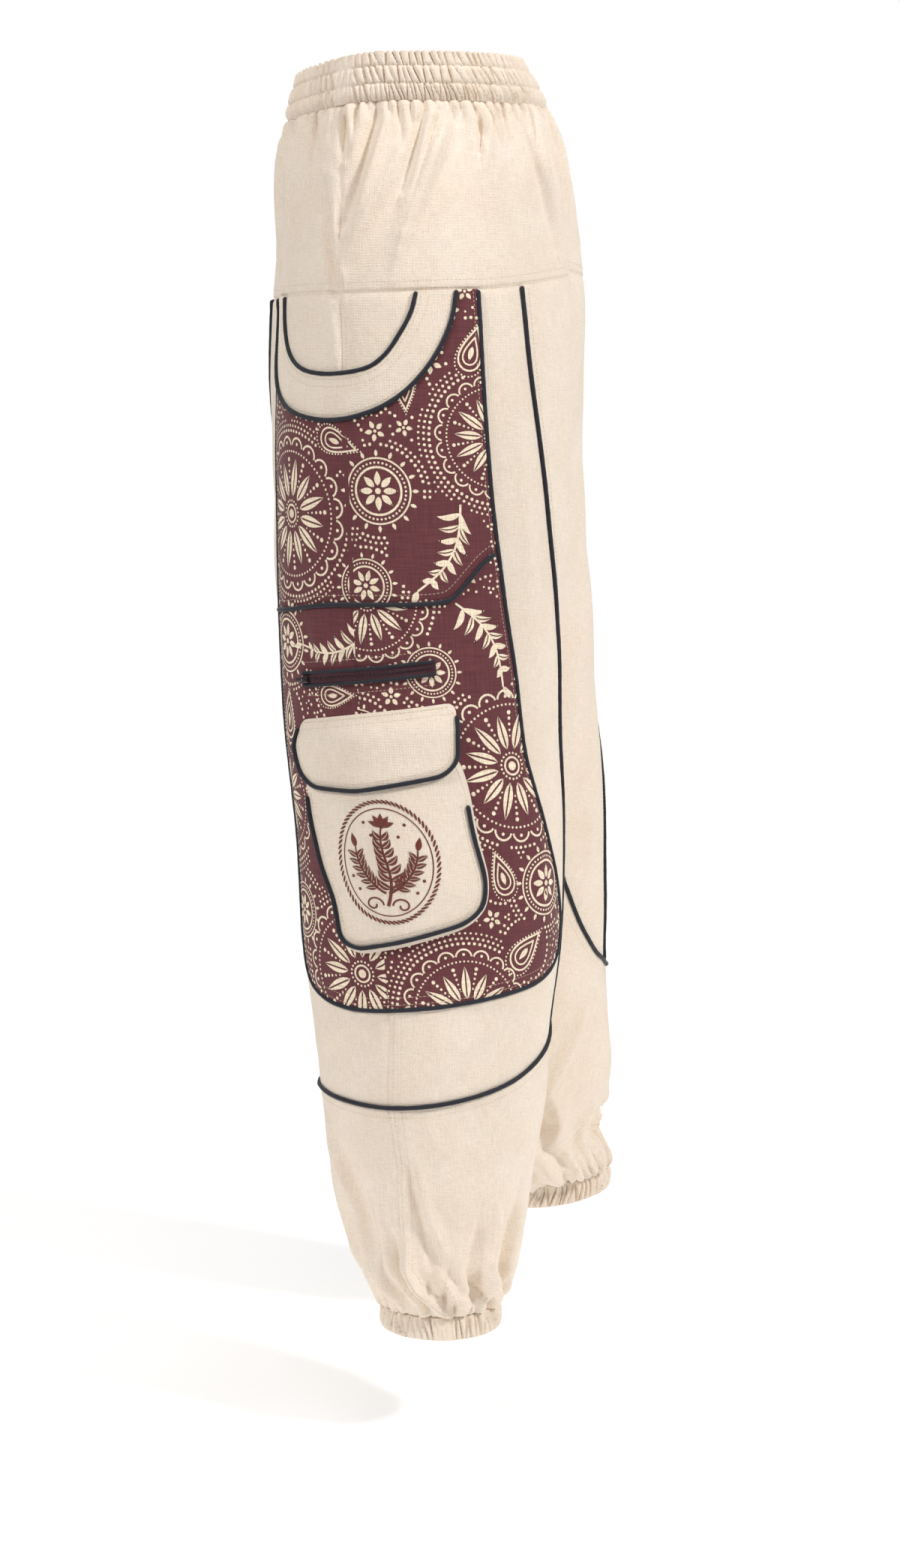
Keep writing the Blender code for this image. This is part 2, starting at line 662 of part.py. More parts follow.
    def below(self, line_name):
        """Whether triangles lie below a line that runs round the leg."""
        line = self.lines[line_name]
        order = np.argsort(line[:, 0])
        return self.middles[:, 1] > np.interp(self.middles[:, 0], line[order, 0], line[order, 1])

    def inside(self, line_name):
        """Whether triangles lie inside a closed outline, or one that the yoke edge closes."""
        line = self.lines[line_name]
        if np.linalg.norm(line[0] - line[-1]) > SAME_POINT:
            lid = np.array([(line[-1][0], 0.0), (line[0][0], 0.0)])
            line = np.vstack([line, lid])
        x, y = self.middles[:, 0], self.middles[:, 1]
        within = np.zeros(len(x), bool)
        for start, end in zip(line, np.roll(line, -1, axis=0)):
            spans = (start[1] > y) != (end[1] > y)
            rise = end[1] - start[1] if end[1] != start[1] else 1.0
            within ^= spans & (x < (end[0] - start[0]) * (y - start[1]) / rise + start[0])
        return within


def smooth(rows, steps=12):
    """A Catmull-Rom curve through a table's points."""
    rows = np.asarray(rows, float)
    padded = np.vstack([2 * rows[0] - rows[1], rows, 2 * rows[-1] - rows[-2]])
    share = np.linspace(0, 1, steps, endpoint=False)[:, None]
    pieces = []
    for before, start, end, after in zip(padded, padded[1:], padded[2:], padded[3:]):
        bend = 2 * before - 5 * start + 4 * end - after
        twist = 3 * start - before - 3 * end + after
        pieces.append(0.5 * (2 * start + (end - before) * share + bend * share ** 2 + twist * share ** 3))
    return np.vstack(pieces + [rows[-1:]])


def resample(line, step):
    """The same line with points about one step apart."""
    line = np.asarray(line, float)
    length = np.append(0, np.cumsum(np.linalg.norm(np.diff(line, axis=0), axis=1)))
    count = max(2, int(round(length[-1] / step)) + 1)
    spots = np.linspace(0, length[-1], count)
    return np.column_stack([np.interp(spots, length, line[:, axis]) for axis in (0, 1)])


def outline(corners, step):
    """A closed outline that keeps its corners and has points at most a step apart."""
    corners = np.array(corners, float)
    points = []
    for start, end in zip(corners, np.roll(corners, -1, axis=0)):
        count = int(np.ceil(np.linalg.norm(end - start) / step))
        points.extend(start + (end - start) * share for share in np.arange(count) / count)
    return np.array(points + [corners[0]])


def nearest_on(line, point):
    """The point of a line that lies nearest to another point."""
    starts, ends = line[:-1], line[1:]
    run = ends - starts
    share = np.clip(((point - starts) * run).sum(1) / (run ** 2).sum(1), 0, 1)
    spots = starts + share[:, None] * run
    return spots[np.argmin(np.linalg.norm(spots - point, axis=1))]


def distance_to_segments(points, starts, ends):
    """Distance from each point to the nearest of many segments."""
    run = ends - starts
    share = ((points[:, None] - starts) * run).sum(2) / (run ** 2).sum(1)
    spots = starts + np.clip(share, 0, 1)[..., None] * run
    return np.linalg.norm(points[:, None] - spots, axis=2).min(axis=1)


def crossings(first, second):
    """Places where two lines meet, with how far along each line they are."""
    found = []
    for a in range(len(first) - 1):
        for b in range(len(second) - 1):
            run_a, run_b = first[a + 1] - first[a], second[b + 1] - second[b]
            area = run_a[0] * run_b[1] - run_a[1] * run_b[0]
            if abs(area) < 1e-12:
                continue
            offset = second[b] - first[a]
            share_a = (offset[0] * run_b[1] - offset[1] * run_b[0]) / area
            share_b = (offset[0] * run_a[1] - offset[1] * run_a[0]) / area
            slack_a = SAME_POINT / np.linalg.norm(run_a)
            slack_b = SAME_POINT / np.linalg.norm(run_b)
            if -slack_a <= share_a <= 1 + slack_a and -slack_b <= share_b <= 1 + slack_b:
                found.append((first[a] + share_a * run_a, a + share_a, b + share_b))
    return found


def with_points(line, extra):
    """A line with crossing points added and its own points that crowd them left out."""
    fixed = [(0.0, line[0]), (float(len(line) - 1), line[-1])] + [(a, p) for a, p in extra]
    kept = []
    for position, point in sorted(fixed, key=lambda item: item[0]):
        if not kept or np.linalg.norm(kept[-1][1] - point) > 2 * SAME_POINT:
            kept.append((position, point))
    spots = np.array([point for _, point in kept])
    for index in range(1, len(line) - 1):
        if np.linalg.norm(spots - line[index], axis=1).min() > CROWD:
            kept.append((float(index), line[index]))
    return np.array([point for _, point in sorted(kept, key=lambda item: item[0])])


# ---------------------------------------------------------------- solids
def new_piece(name, data, material):
    """Link an object for one sub-part and give it a material of its own."""
    colour, roughness, metallic = FINISHES[material]
    finish = bpy.data.materials.new(name)
    finish.use_nodes = True
    shader = finish.node_tree.nodes["Principled BSDF"]
    shader.inputs["Base Color"].default_value = (*colour, 1.0)
    shader.inputs["Roughness"].default_value = roughness
    shader.inputs["Metallic"].default_value = metallic
    data.materials.append(finish)
    piece = bpy.data.objects.new(name, data)
    bpy.data.collections[GARMENT].objects.link(piece)
    return piece


def open_edges(faces):
    """Directed edges that only one face uses."""
    used = {(start, end) for face in faces for start, end in zip(face, face[1:] + face[:1])}
    return [edge for edge in sorted(used) if edge[::-1] not in used]


def new_wall(name, outer, inner, faces, material):
    """A closed wall between two matching sheets of points, rimmed along their open edges."""
    count = len(outer)
    rim = [[end, start, start + count, end + count] for start, end in open_edges(faces)]
    back = [[index + count for index in reversed(face)] for face in faces]
    mesh = bpy.data.meshes.new(name)
    mesh.from_pydata(np.vstack([outer, inner]).tolist(), [], faces + back + rim)
    mesh.shade_smooth()
    mesh.set_sharp_from_angle(angle=pi / 4)
    return new_piece(name, mesh, material)


def new_cord(name, path, radius, material):
    """A round cord along a path."""
    curve = bpy.data.curves.new(name, "CURVE")
    curve.dimensions = "3D"
    curve.bevel_depth = radius
    curve.bevel_resolution = 0
    curve.use_fill_caps = True
    cord = curve.splines.new("POLY")
    cord.points.add(len(path) - 1)
    for point, spot in zip(cord.points, path):
        point.co = (*spot, 1.0)
    return new_piece(name, curve, material)


def facing_out(points, normals, faces):
    """Faces turned so that each one's front is on the side that the normals point to."""
    turned = []
    for face in faces:
        face = [int(index) for index in face]
        corners = points[face[:3]]
        front = np.cross(corners[1] - corners[0], corners[2] - corners[0])
        turned.append(face if front @ normals[face].sum(axis=0) > 0 else face[::-1])
    return turned


def pulled_in(points, normals, faces, room):
    """Shift of each point that draws a sheet's open edges in by the room that each needs."""
    inward = {}
    for start, end in open_edges(faces):
        side = np.cross(normals[start] + normals[end], points[end] - points[start])
        side /= np.linalg.norm(side)
        for index in (start, end):
            inward.setdefault(index, []).append((side, room(start, end)))
    shift = np.zeros_like(points)
    for index, edges in inward.items():
        sides = np.array([side for side, _ in edges[:2]])
        wanted = np.array([amount for _, amount in edges[:2]])
        widest = wanted[np.argmax(np.abs(wanted))]
        if len(edges) > 1 and sides[0] @ sides[1] < STRAIGHT:
            corner = np.linalg.solve(sides @ sides.T + 1e-9 * np.eye(2), wanted) @ sides
            shift[index] = corner * min(1, CORNER_LIMIT * abs(widest) / np.linalg.norm(corner))
        else:
            mean = sides.sum(axis=0)
            shift[index] = mean / np.linalg.norm(mean) * widest
    return shift


def shortened(path, start, end):
    """A path with a length taken off each end."""
    length = np.append(0, np.cumsum(np.linalg.norm(np.diff(path, axis=0), axis=1)))
    last = length[-1] - end
    kept = [spot for spot in length if start + STUB < spot < last - STUB]
    spots = [start] + kept + [last]
    return np.column_stack([np.interp(spots, length, path[:, axis]) for axis in range(3)])


# ---------------------------------------------------------------- pieces of a leg
class Leg:
    """Builds pieces of one leg from its surface and its flat pattern."""

    def __init__(self, side, rows):
        self.side = side
        self.half = Half(side, rows)
        self.pattern = Pattern(self.half)
        self.points, self.normals = self.half.place(self.pattern.fraction, self.pattern.down)
        self.on_line = {name: self.pattern.vertices_on(name) for name in self.pattern.lines}

    def sheet(self, chosen, roomy):
        """Points, normals, faces and pattern indices of a chosen part, drawn in at its seams."""
        members = [(set(self.on_line[name]), amount) for name, amount in roomy.items()]

        def room(start, end):
            for indices, amount in members:
                if start in indices and end in indices:
                    return amount
            return SEAM_GAP / 2

        faces = facing_out(self.points, self.normals, self.pattern.faces[chosen])
        shift = pulled_in(self.points, self.normals, faces, room)
        indices = sorted({index for face in faces for index in face})
        place = {index: order for order, index in enumerate(indices)}
        faces = [[place[index] for index in face] for face in faces]
        return (self.points + shift)[indices], self.normals[indices], faces, indices

    def panel(self, name, chosen):
        """A panel of the garment, its outer side on the garment's surface."""
        points, normals, faces, _ = self.sheet(chosen, {})
        new_wall(f"{self.side}_{name}", points, points - normals * CLOTH, faces, "linen")

    def patch(self, name, chosen, material, lift, roomy):
        """A piece sewn on top of a panel, made from the panel's points and moved out."""
        points, normals, faces, indices = self.sheet(chosen, roomy)
        if callable(lift):
            lift = lift(self.pattern.mesh_points[indices])
        inner = points + normals * np.broadcast_to(lift, len(points))[:, None]
        new_wall(f"{self.side}_{name}", inner + normals * PATCH, inner, faces, material)

    def cord(self, name, indices, lift, radius=PIPING_RADIUS, trim=(END_ROOM, END_ROOM)):
        """Piping through points of the pattern, lifted clear of what it lies on."""
        height = np.broadcast_to(lift, len(indices)) + radius + PIPING_REST
        path = self.points[indices] + self.normals[indices] * height[:, None]
        new_cord(f"{self.side}_{name}", shortened(path, *trim), radius, "piping")


def build_panels(leg):
    """The five panels of one leg, between the yoke and the cuff."""
    pattern = leg.pattern
    behind_side, behind_seat = pattern.behind("side"), pattern.behind("seat")
    lower = pattern.below("lower")
    leg.panel("front_panel", ~behind_side & ~lower)
    leg.panel("back_panel", behind_side & ~behind_seat & ~lower)
    leg.panel("seat_panel", behind_seat & ~lower)
    leg.panel("lower_front", ~behind_side & lower)
    leg.panel("lower_back", behind_side & lower)


def build_side_panel(leg):
    """The print, the patch pocket and its band, which lie side by side on the panels."""
    pattern = leg.pattern
    behind_side = pattern.behind("side")
    printed = pattern.inside("print")
    band = pattern.inside("band")
    low = pattern.below("pocket")
    roomy = {"print": PIPING_ROOM, "mouth": PIPING_ROOM}
    leg.patch("print_front", printed & low & ~behind_side, "print", PRINT_LIFT, roomy)
    leg.patch("print_back", printed & low & behind_side, "print", PRINT_LIFT, roomy)
    leg.patch("upper_pocket", printed & ~low & ~band, "print", PRINT_LIFT, roomy)
    leg.patch("pocket_band", band & ~pattern.inside("mouth"), "linen", PRINT_LIFT, roomy)


def build_piping(leg):
    """The piping in the seams and round the side panel."""
    on_print = PRINT_LIFT + PATCH
    leg.cord("seat_piping", leg.on_line["seat"], 0, trim=(END_ROOM, CROSSING_ROOM))
    leg.cord("lower_piping", leg.on_line["lower"], 0, trim=(END_ROOM, CROTCH_ROOM))
    leg.cord("print_piping", leg.on_line["print"], 0)
    leg.cord("mouth_piping", leg.on_line["mouth"], 0)
    leg.cord("band_piping", leg.on_line["band"], on_print)
    trim = (CROSSING_ROOM, CROSSING_ROOM)
    leg.cord("pocket_piping", leg.on_line["pocket"], on_print, trim=trim)


def build_cargo_pocket(leg):
    """The bellows pocket: a face held off the leg by a gusset round its sides and foot."""
    points, normals, faces, indices = leg.sheet(leg.pattern.inside("cargo"), {})
    downs = leg.pattern.mesh_points[indices][:, 1]
    gusset = [edge for edge in open_edges(faces) if downs[list(edge)].max() > CARGO_MOUTH]
    foot_of = {}
    for edge in gusset:
        for index in edge:
            foot_of.setdefault(index, len(points) + len(foot_of))
    foot = list(foot_of)
    spread = pulled_in(points, normals, faces, lambda start, end: -BELLOWS_SPREAD)
    narrow = pulled_in(points, normals, faces, lambda start, end: PATCH)
    face_out = points + normals * (BAG_LIFT + PATCH)
    face_in = points + normals * BAG_LIFT + narrow
    foot_out = (points + spread + normals * ON_PRINT)[foot]
    foot_in = (points + spread + narrow + normals * ON_PRINT)[foot]
    walls = [[end, start, foot_of[start], foot_of[end]] for start, end in gusset]
    outer, inner = np.vstack([face_out, foot_out]), np.vstack([face_in, foot_in])
    new_wall(f"{leg.side}_cargo_pocket", outer, inner, faces + walls, "linen")
    rim = leg.on_line["cargo"]
    low = [index for index in rim if leg.pattern.mesh_points[index][1] > CARGO_PIPING_TOP]
    leg.cord("cargo_piping", low, BAG_LIFT + PATCH)


def build_flap(leg):
    """The pocket flap, sewn to the print at its top and lying on the pocket's face."""
    top = leg.pattern.flat(FLAP_OUTLINE[:FLAP_TOP_POINTS])

    def lift(spots):
        drop = spots[:, 1] - np.interp(spots[:, 0], top[:, 0], top[:, 1])
        share = np.clip(drop / FLAP_HINGE, 0, 1)
        return ON_PRINT + (FLAP_LIFT - ON_PRINT) * share

    leg.patch("cargo_flap", leg.pattern.inside("flap"), "linen", lift, {})
    rim = leg.on_line["flap"]
    drop = leg.pattern.mesh_points[rim][:, 1] - np.interp(
        leg.pattern.mesh_points[rim][:, 0], top[:, 0], top[:, 1]
    )
    hanging = [index for index, fall in zip(rim, drop) if fall > 2 * PIPING_RADIUS]
    leg.cord("flap_piping", hanging, lift(leg.pattern.mesh_points[hanging]) + PATCH)


def build_zip(leg):
    """The zip pocket: a tape between two piped welts, with its slider at the front end."""
    leg.patch("zip_tape", leg.pattern.inside("zip"), "tape", ON_PRINT, {})
    rim = leg.on_line["zip"]
    on_tape = ON_PRINT + PATCH
    spots = leg.pattern.mesh_points[rim]
    front_top, back_top, back_foot, front_foot = [
        int(np.argmin(np.linalg.norm(spots - corner, axis=1)))
        for corner in leg.pattern.flat(ZIP_OUTLINE)
    ]
    leg.cord("zip_welt_top", rim[front_top:back_top + 1], on_tape, radius=WELT_RADIUS)
    leg.cord("zip_welt_foot", rim[back_foot:front_foot + 1], on_tape, radius=WELT_RADIUS)

    flat = leg.pattern.flat([SLIDER_PLACE, SLIDER_FACES])
    points, normals = leg.half.place(flat[:, 0] / leg.pattern.width, flat[:, 1])
    out = Vector(normals[0])
    across = out.cross(Vector(points[1] - points[0])).normalized()
    axes = Matrix((across.cross(out), across, out)).transposed().to_4x4()
    length, width, height = SLIDER_SIZE
    seat = Vector(points[0]) + out * (on_tape + REST + height / 2 + SLIDER_CLEARANCE)
    block = bmesh.new()
    bmesh.ops.create_cube(block, size=1, matrix=Matrix.Diagonal((length, width, height, 1)))
    mesh = bpy.data.meshes.new(f"{leg.side}_zip_slider")
    block.to_mesh(mesh)
    block.free()
    slider = new_piece(f"{leg.side}_zip_slider", mesh, "slider")
    slider.matrix_world = Matrix.Translation(seat) @ axes
    bevel = slider.modifiers.new("rounded", "BEVEL")
    bevel.width = SLIDER_BEVEL
    bevel.segments = 1


# ---------------------------------------------------------------- gathered rings and yoke
def gathered(half, fractions, downs, rows, phase):
    """Outer and inner points of a gathered band, one row of points for each of its rows."""
    top, bottom = downs
    outer, inner = [], []
    along = np.arange(len(fractions))
    for drop, bulge, size in rows:
        down = top + drop * (bottom - top)
        points, normals = half.place(fractions, down)
        from_seam = np.abs(fractions - half.side_seam(down)) * half.girth(down)
        plain = np.clip((from_seam - FLAT_PATCH) / FLAT_PATCH, 0, 1)
        uneven = 1 - GATHER_UNEVEN + GATHER_UNEVEN * np.sin(along * 1.9 + phase)
        wave = np.where((along + phase) % 2 == 0, 1.0, -1.0) * uneven
        height = CLOTH + bulge + size * wave * plain
        outer.append(points + normals * height[:, None])
        inner.append(outer[-1] - normals * BAND_CLOTH)
    return np.array(outer), np.array(inner)


def ring_faces(rows, columns):
    """Faces of a closed ring of points, given in rows down it."""
    return [
        [row * columns + column, row * columns + (column + 1) % columns,
         (row + 1) * columns + (column + 1) % columns, (row + 1) * columns + column]
        for row in range(rows - 1)
        for column in range(columns)
    ]


def build_ring(name, outer, inner):
    """A closed gathered ring from rows of points."""
    rows, columns = outer.shape[:2]
    faces = ring_faces(rows, columns)
    middle = outer.reshape(-1, 3).mean(axis=0)
    outer, inner = outer.reshape(-1, 3), inner.reshape(-1, 3)
    faces = facing_out(outer, outer - middle, faces)
    new_wall(name, outer, inner, faces, "linen")


def build_waistband(left, right):
    """The waistband: one ring with a gathered top edge and two gathered elastic casings."""
    share = (np.arange(BAND_COLUMNS) + 0.5) / BAND_COLUMNS
    downs = (0.0, BAND_BOTTOM - SEAM_GAP / 2)
    near = gathered(left.half, share, downs, BAND_ROWS, 0)
    far = gathered(right.half, share, downs, BAND_ROWS, 1)
    outer = np.concatenate([near[0], far[0][:, ::-1]], axis=1)
    inner = np.concatenate([near[1], far[1][:, ::-1]], axis=1)
    build_ring("waistband", outer, inner)


def build_cuff(leg):
    """The gathered elastic cuff of one leg."""
    share = np.arange(CUFF_COLUMNS) / CUFF_COLUMNS
    top, bottom = CUFF[leg.side]
    downs = (top + SEAM_GAP / 2, bottom)
    build_ring(f"{leg.side}_cuff", *gathered(leg.half, share, downs, CUFF_ROWS, 0))


def build_yoke(left, right):
    """The hip yoke: a front and a back, gathered into the band and joined at the sides."""
    share = np.linspace(0, 1, YOKE_ROWS + 1)[:, None]
    for name in ("front", "back"):
        halves = []
        for leg in (left, right):
            count = YOKE_COLUMNS[name] + 1
            centre_edge = 0.0 if name == "front" else 1.0
            seam_top = leg.half.side_seam(BAND_BOTTOM)
            edge = leg.pattern.lines["yoke"] / (leg.pattern.width, 1)
            seam_foot = leg.pattern.lines["side"][0, 0] / leg.pattern.width
            low = np.linspace(centre_edge, seam_foot, count)
            around = np.linspace(centre_edge, seam_top, count) * (1 - share) + low * share
            foot = np.interp(low, edge[:, 0], edge[:, 1])
            down = BAND_BOTTOM + share * (foot - BAND_BOTTOM)
            halves.append(leg.half.place(around, down))
        (near, near_normals), (far, far_normals) = halves
        centre = (near[:, :1] + far[:, :1]) / 2
        centre_normals = near_normals[:, :1] + far_normals[:, :1]
        centre_normals /= np.linalg.norm(centre_normals, axis=2, keepdims=True)
        points = np.concatenate([far[:, :0:-1], centre, near[:, 1:]], axis=1)
        normals = np.concatenate([far_normals[:, :0:-1], centre_normals, near_normals[:, 1:]], axis=1)
        rows, columns = points.shape[:2]
        faces = [
            [row * columns + column, row * columns + column + 1,
             (row + 1) * columns + column + 1, (row + 1) * columns + column]
            for row in range(rows - 1)
            for column in range(columns - 1)
        ]
        points, normals = points.reshape(-1, 3), normals.reshape(-1, 3)
        faces = facing_out(points, normals, faces)
        points = points + pulled_in(points, normals, faces, lambda start, end: SEAM_GAP / 2)
        new_wall(f"yoke_{name}", points, points - normals * CLOTH, faces, "linen")


def main():
    """Clear the scene and build the garment."""
    for old in list(bpy.data.objects):
        bpy.data.objects.remove(old)
    collection = bpy.data.collections.new(GARMENT)
    bpy.context.scene.collection.children.link(collection)
    legs = [Leg("left", LEFT_SECTIONS), Leg("right", RIGHT_SECTIONS)]
    build_waistband(*legs)
    build_yoke(*legs)
    for leg in legs:
        build_panels(leg)
        build_side_panel(leg)
        build_cargo_pocket(leg)
        build_flap(leg)
        build_zip(leg)
        build_piping(leg)
        build_cuff(leg)


main()
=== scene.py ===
"""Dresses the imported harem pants: cloth shells, piping, stitching, prints and zips.

Run as a script. Metres, +Z up, the front faces -Y and the wearer's left is +X.
"""

from math import atan2, cos, exp, pi, radians, sin

import bmesh
import bpy
import numpy as np
from bpy.props import FloatProperty, FloatVectorProperty, PointerProperty
from mathutils import Matrix, Vector
from mathutils.bvhtree import BVHTree
from mathutils.geometry import delaunay_2d_cdt


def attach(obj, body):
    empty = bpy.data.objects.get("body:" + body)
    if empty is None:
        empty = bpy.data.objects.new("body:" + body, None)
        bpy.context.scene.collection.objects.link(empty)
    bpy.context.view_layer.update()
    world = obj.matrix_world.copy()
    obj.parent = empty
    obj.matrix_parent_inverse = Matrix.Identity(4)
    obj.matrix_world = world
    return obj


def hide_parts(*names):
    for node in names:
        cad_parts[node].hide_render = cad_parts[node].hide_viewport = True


bl_info = {
    "name": "Harem pants",
    "version": (1, 0, 0),
    "blender": (4, 5, 0),
    "location": "View3D > Sidebar > Garment",
    "description": "Cloth, piping, stitching, prints and zips of a pair of harem pants",
    "category": "Object",
}

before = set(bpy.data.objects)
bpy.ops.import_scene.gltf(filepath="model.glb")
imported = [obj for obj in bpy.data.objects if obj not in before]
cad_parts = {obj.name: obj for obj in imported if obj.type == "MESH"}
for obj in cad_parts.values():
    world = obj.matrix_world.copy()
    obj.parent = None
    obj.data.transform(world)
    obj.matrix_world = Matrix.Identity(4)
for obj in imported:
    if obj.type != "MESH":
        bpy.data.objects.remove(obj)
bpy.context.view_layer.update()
BODY = "root"


# ---------------------------------------------------------------- what a user may change
def linear(colour):
    """An sRGB hex colour as linear light."""
    channels = [int(colour[place:place + 2], 16) / 255 for place in (1, 3, 5)]
    light = (c / 12.92 if c <= 0.04045 else ((c + 0.055) / 1.055) ** 2.4 for c in channels)
    return (*light, 1.0)


def length_property(name, description, default):
    """A small length."""
    return FloatProperty(
        name=name, description=description, default=default, min=default / 4, max=default * 3,
        precision=5, unit="LENGTH",
    )


def colour_property(name, description, default):
    """A colour, given as sRGB hex."""
    return FloatVectorProperty(
        name=name, description=description, default=linear(default)[:3], min=0.0, max=1.0, size=3,
        subtype="COLOR",
    )


class PantsSizes(bpy.types.PropertyGroup):
    """Sizes of the cloth, cords and thread."""

    cloth: length_property("Panel cloth", "Thickness of the panels' cloth", 0.0014)
    piping: length_property("Piping", "Radius of the piping cord", 0.0018)
    welt: length_property("Zip welt", "Radius of the piped lips of the zip pocket", 0.0013)
    stitch: length_property("Stitch", "Length of one stitch that shows", 0.0024)
    stitch_pitch: length_property("Stitch spacing", "From one stitch to the next", 0.0032)
    thread: length_property("Thread", "Width of the sewing thread", 0.00046)
    spot: length_property("Print spots", "Radius of the small spots in the print", 0.00115)


class PantsColours(bpy.types.PropertyGroup):
    """Colours of the cloth, piping and thread."""

    linen: colour_property("Linen", "Ground colour of the washed cotton and linen", "#EBDCCB")
    plum: colour_property("Print ground", "Dyed ground of the printed cotton", "#67383C")
    cream: colour_property("Print figures", "Figures of the printed cotton", "#F6E1C6")
    piping: colour_property("Piping", "Twill over the piping cord", "#1A1C27")
    thread: colour_property("Sewing thread", "Thread of the topstitching", "#D6C4A6")
    embroidery: colour_property("Embroidery thread", "Thread of the emblem", "#6A2C1F")
    tape: colour_property("Zip tape", "Woven tape and coil of the zip", "#482730")
    slider: colour_property("Zip slider", "Enamel of the zip's slider", "#2B2026")


class PantsStudio(bpy.types.PropertyGroup):
    """Light of the stage."""

    ambient: FloatProperty(
        name="Ambient", description="Strength of the even light from all round", default=0.23,
        min=0.0, max=2.0,
    )
    power: FloatProperty(
        name="Lamps", description="Share of the studio lamps' power", default=1.0, min=0.0,
        max=5.0, subtype="FACTOR",
    )


def sizes():
    """The sizes that are set now."""
    return bpy.context.scene.pants_sizes


def colours():
    """The colours that are set now."""
    return bpy.context.scene.pants_colours


# ---------------------------------------------------------------- the garment's own sizes
PATCH = 0.0010             # wall of a piece sewn on top of a panel

SECTION_COLUMNS = ("level", "centre", "outer", "inner", "front", "back", "tilt")
SECTIONS = {
    "left": (
        (0.0, 0.045, 0.13, 0.0, -0.086, 0.088, 0.0),
        (-0.036, 0.048, 0.139, 0.0, -0.095, 0.108, 0.0),
        (-0.08, 0.055, 0.158, 0.0, -0.1, 0.123, 0.0),
        (-0.13, 0.061, 0.173, 0.0, -0.101, 0.1265, 0.0),
        (-0.185, 0.068, 0.185, 0.0, -0.101, 0.128, 0.0),
        (-0.26, 0.08, 0.195, 0.0, -0.103, 0.128, 0.0),
        (-0.36, 0.092, 0.201, 0.0, -0.1025, 0.126, 0.0),
        (-0.45, 0.099, 0.203, 0.0, -0.1005, 0.121, 0.0),
        (-0.52, 0.102, 0.204, 0.0, -0.097, 0.12, 0.0),
        (-0.6, 0.107, 0.207, 0.01, -0.0895, 0.1233, 0.0),
        (-0.7, 0.115, 0.212, 0.022, -0.0847, 0.121, 0.0),
        (-0.77, 0.122, 0.215, 0.03, -0.0755, 0.1125, 0.0),
        (-0.82, 0.125, 0.214, 0.036, -0.07, 0.11, 0.0),
        (-0.87, 0.129, 0.21, 0.044, -0.0615, 0.1015, 0.0),
        (-0.92, 0.133, 0.207, 0.06, -0.046, 0.093, 0.0),
        (-0.96, 0.139, 0.206, 0.078, -0.036, 0.083, 0.0),
        (-0.985, 0.148, 0.195, 0.101, -0.0215, 0.0725, 0.0),
        (-1.005, 0.149, 0.196, 0.102, -0.0215, 0.0725, 0.0),
    ),
    "right": (
        (0.0, 0.045, 0.13, 0.0, -0.086, 0.088, 0.0),
        (-0.036, 0.048, 0.139, 0.0, -0.098, 0.1125, 0.0),
        (-0.08, 0.055, 0.158, 0.0, -0.105, 0.128, 0.0),
        (-0.13, 0.061, 0.173, 0.0, -0.109, 0.14, 0.0),
        (-0.185, 0.068, 0.185, 0.0, -0.1145, 0.1465, 0.0),
        (-0.26, 0.08, 0.195, 0.0, -0.1185, 0.144, 0.0),
        (-0.31, 0.086, 0.198, 0.0, -0.117, 0.1415, 0.0),
        (-0.36, 0.092, 0.201, 0.0, -0.115, 0.146, 0.0),
        (-0.45, 0.099, 0.203, 0.0, -0.113, 0.1565, 0.0),
        (-0.52, 0.102, 0.204, 0.0, -0.098, 0.159, 0.0),
        (-0.6, 0.107, 0.207, 0.01, -0.07, 0.1655, 0.0),
        (-0.7, 0.115, 0.212, 0.022, -0.045, 0.168, 0.0),
        (-0.77, 0.122, 0.215, 0.03, -0.028, 0.169, 0.03),
        (-0.83, 0.126, 0.213, 0.038, -0.01, 0.1725, 0.08),
        (-0.87, 0.129, 0.21, 0.045, 0.006, 0.175, 0.13),
        (-0.898, 0.131, 0.207, 0.052, 0.022, 0.1705, 0.17),
        (-0.921, 0.133, 0.205, 0.06, 0.042, 0.162, 0.21),
        (-0.936, 0.136, 0.204, 0.07, 0.06, 0.1676, 0.2),
        (-0.953, 0.139, 0.203, 0.083, 0.074, 0.1733, 0.18),
        (-0.9615, 0.143, 0.19, 0.097, 0.083, 0.175, 0.17),
        (-0.979, 0.143, 0.19, 0.097, 0.083, 0.175, 0.17),
    ),
}
RISE_COLUMNS = ("level", "front", "back")
RISE = (
    (0.0, -0.085, 0.087), (-0.036, -0.094, 0.107), (-0.08, -0.099, 0.121),
    (-0.13, -0.099, 0.1235), (-0.185, -0.0985, 0.1225), (-0.26, -0.098, 0.118),
    (-0.33, -0.094, 0.11), (-0.4, -0.082, 0.096), (-0.46, -0.06, 0.074), (-0.5, -0.03, 0.046),
    (-0.52, 0.011, 0.013),
)
CROTCH_LEVEL = -0.520
CROTCH_Y = 0.012
WAIST_DIP = 0.013          # the waist sags this much at the centre front
WAIST_DIP_FROM = -0.020    # in front of this depth
WAIST_DIP_REACH = 0.070    # over this distance
WAIST_DIP_BEND = 1.5
WAIST_DIP_FADE = 0.150     # and less and less down to this level
INSEAM_SETTLE = 0.060
EDGE_LIMIT = 0.999
SECTION_STEPS = 241
LEVEL_STEPS = 505
CUFF = {"left": (0.9855, 1.0035), "right": (0.9615, 0.9790)}
BAND_BOTTOM = 0.0365

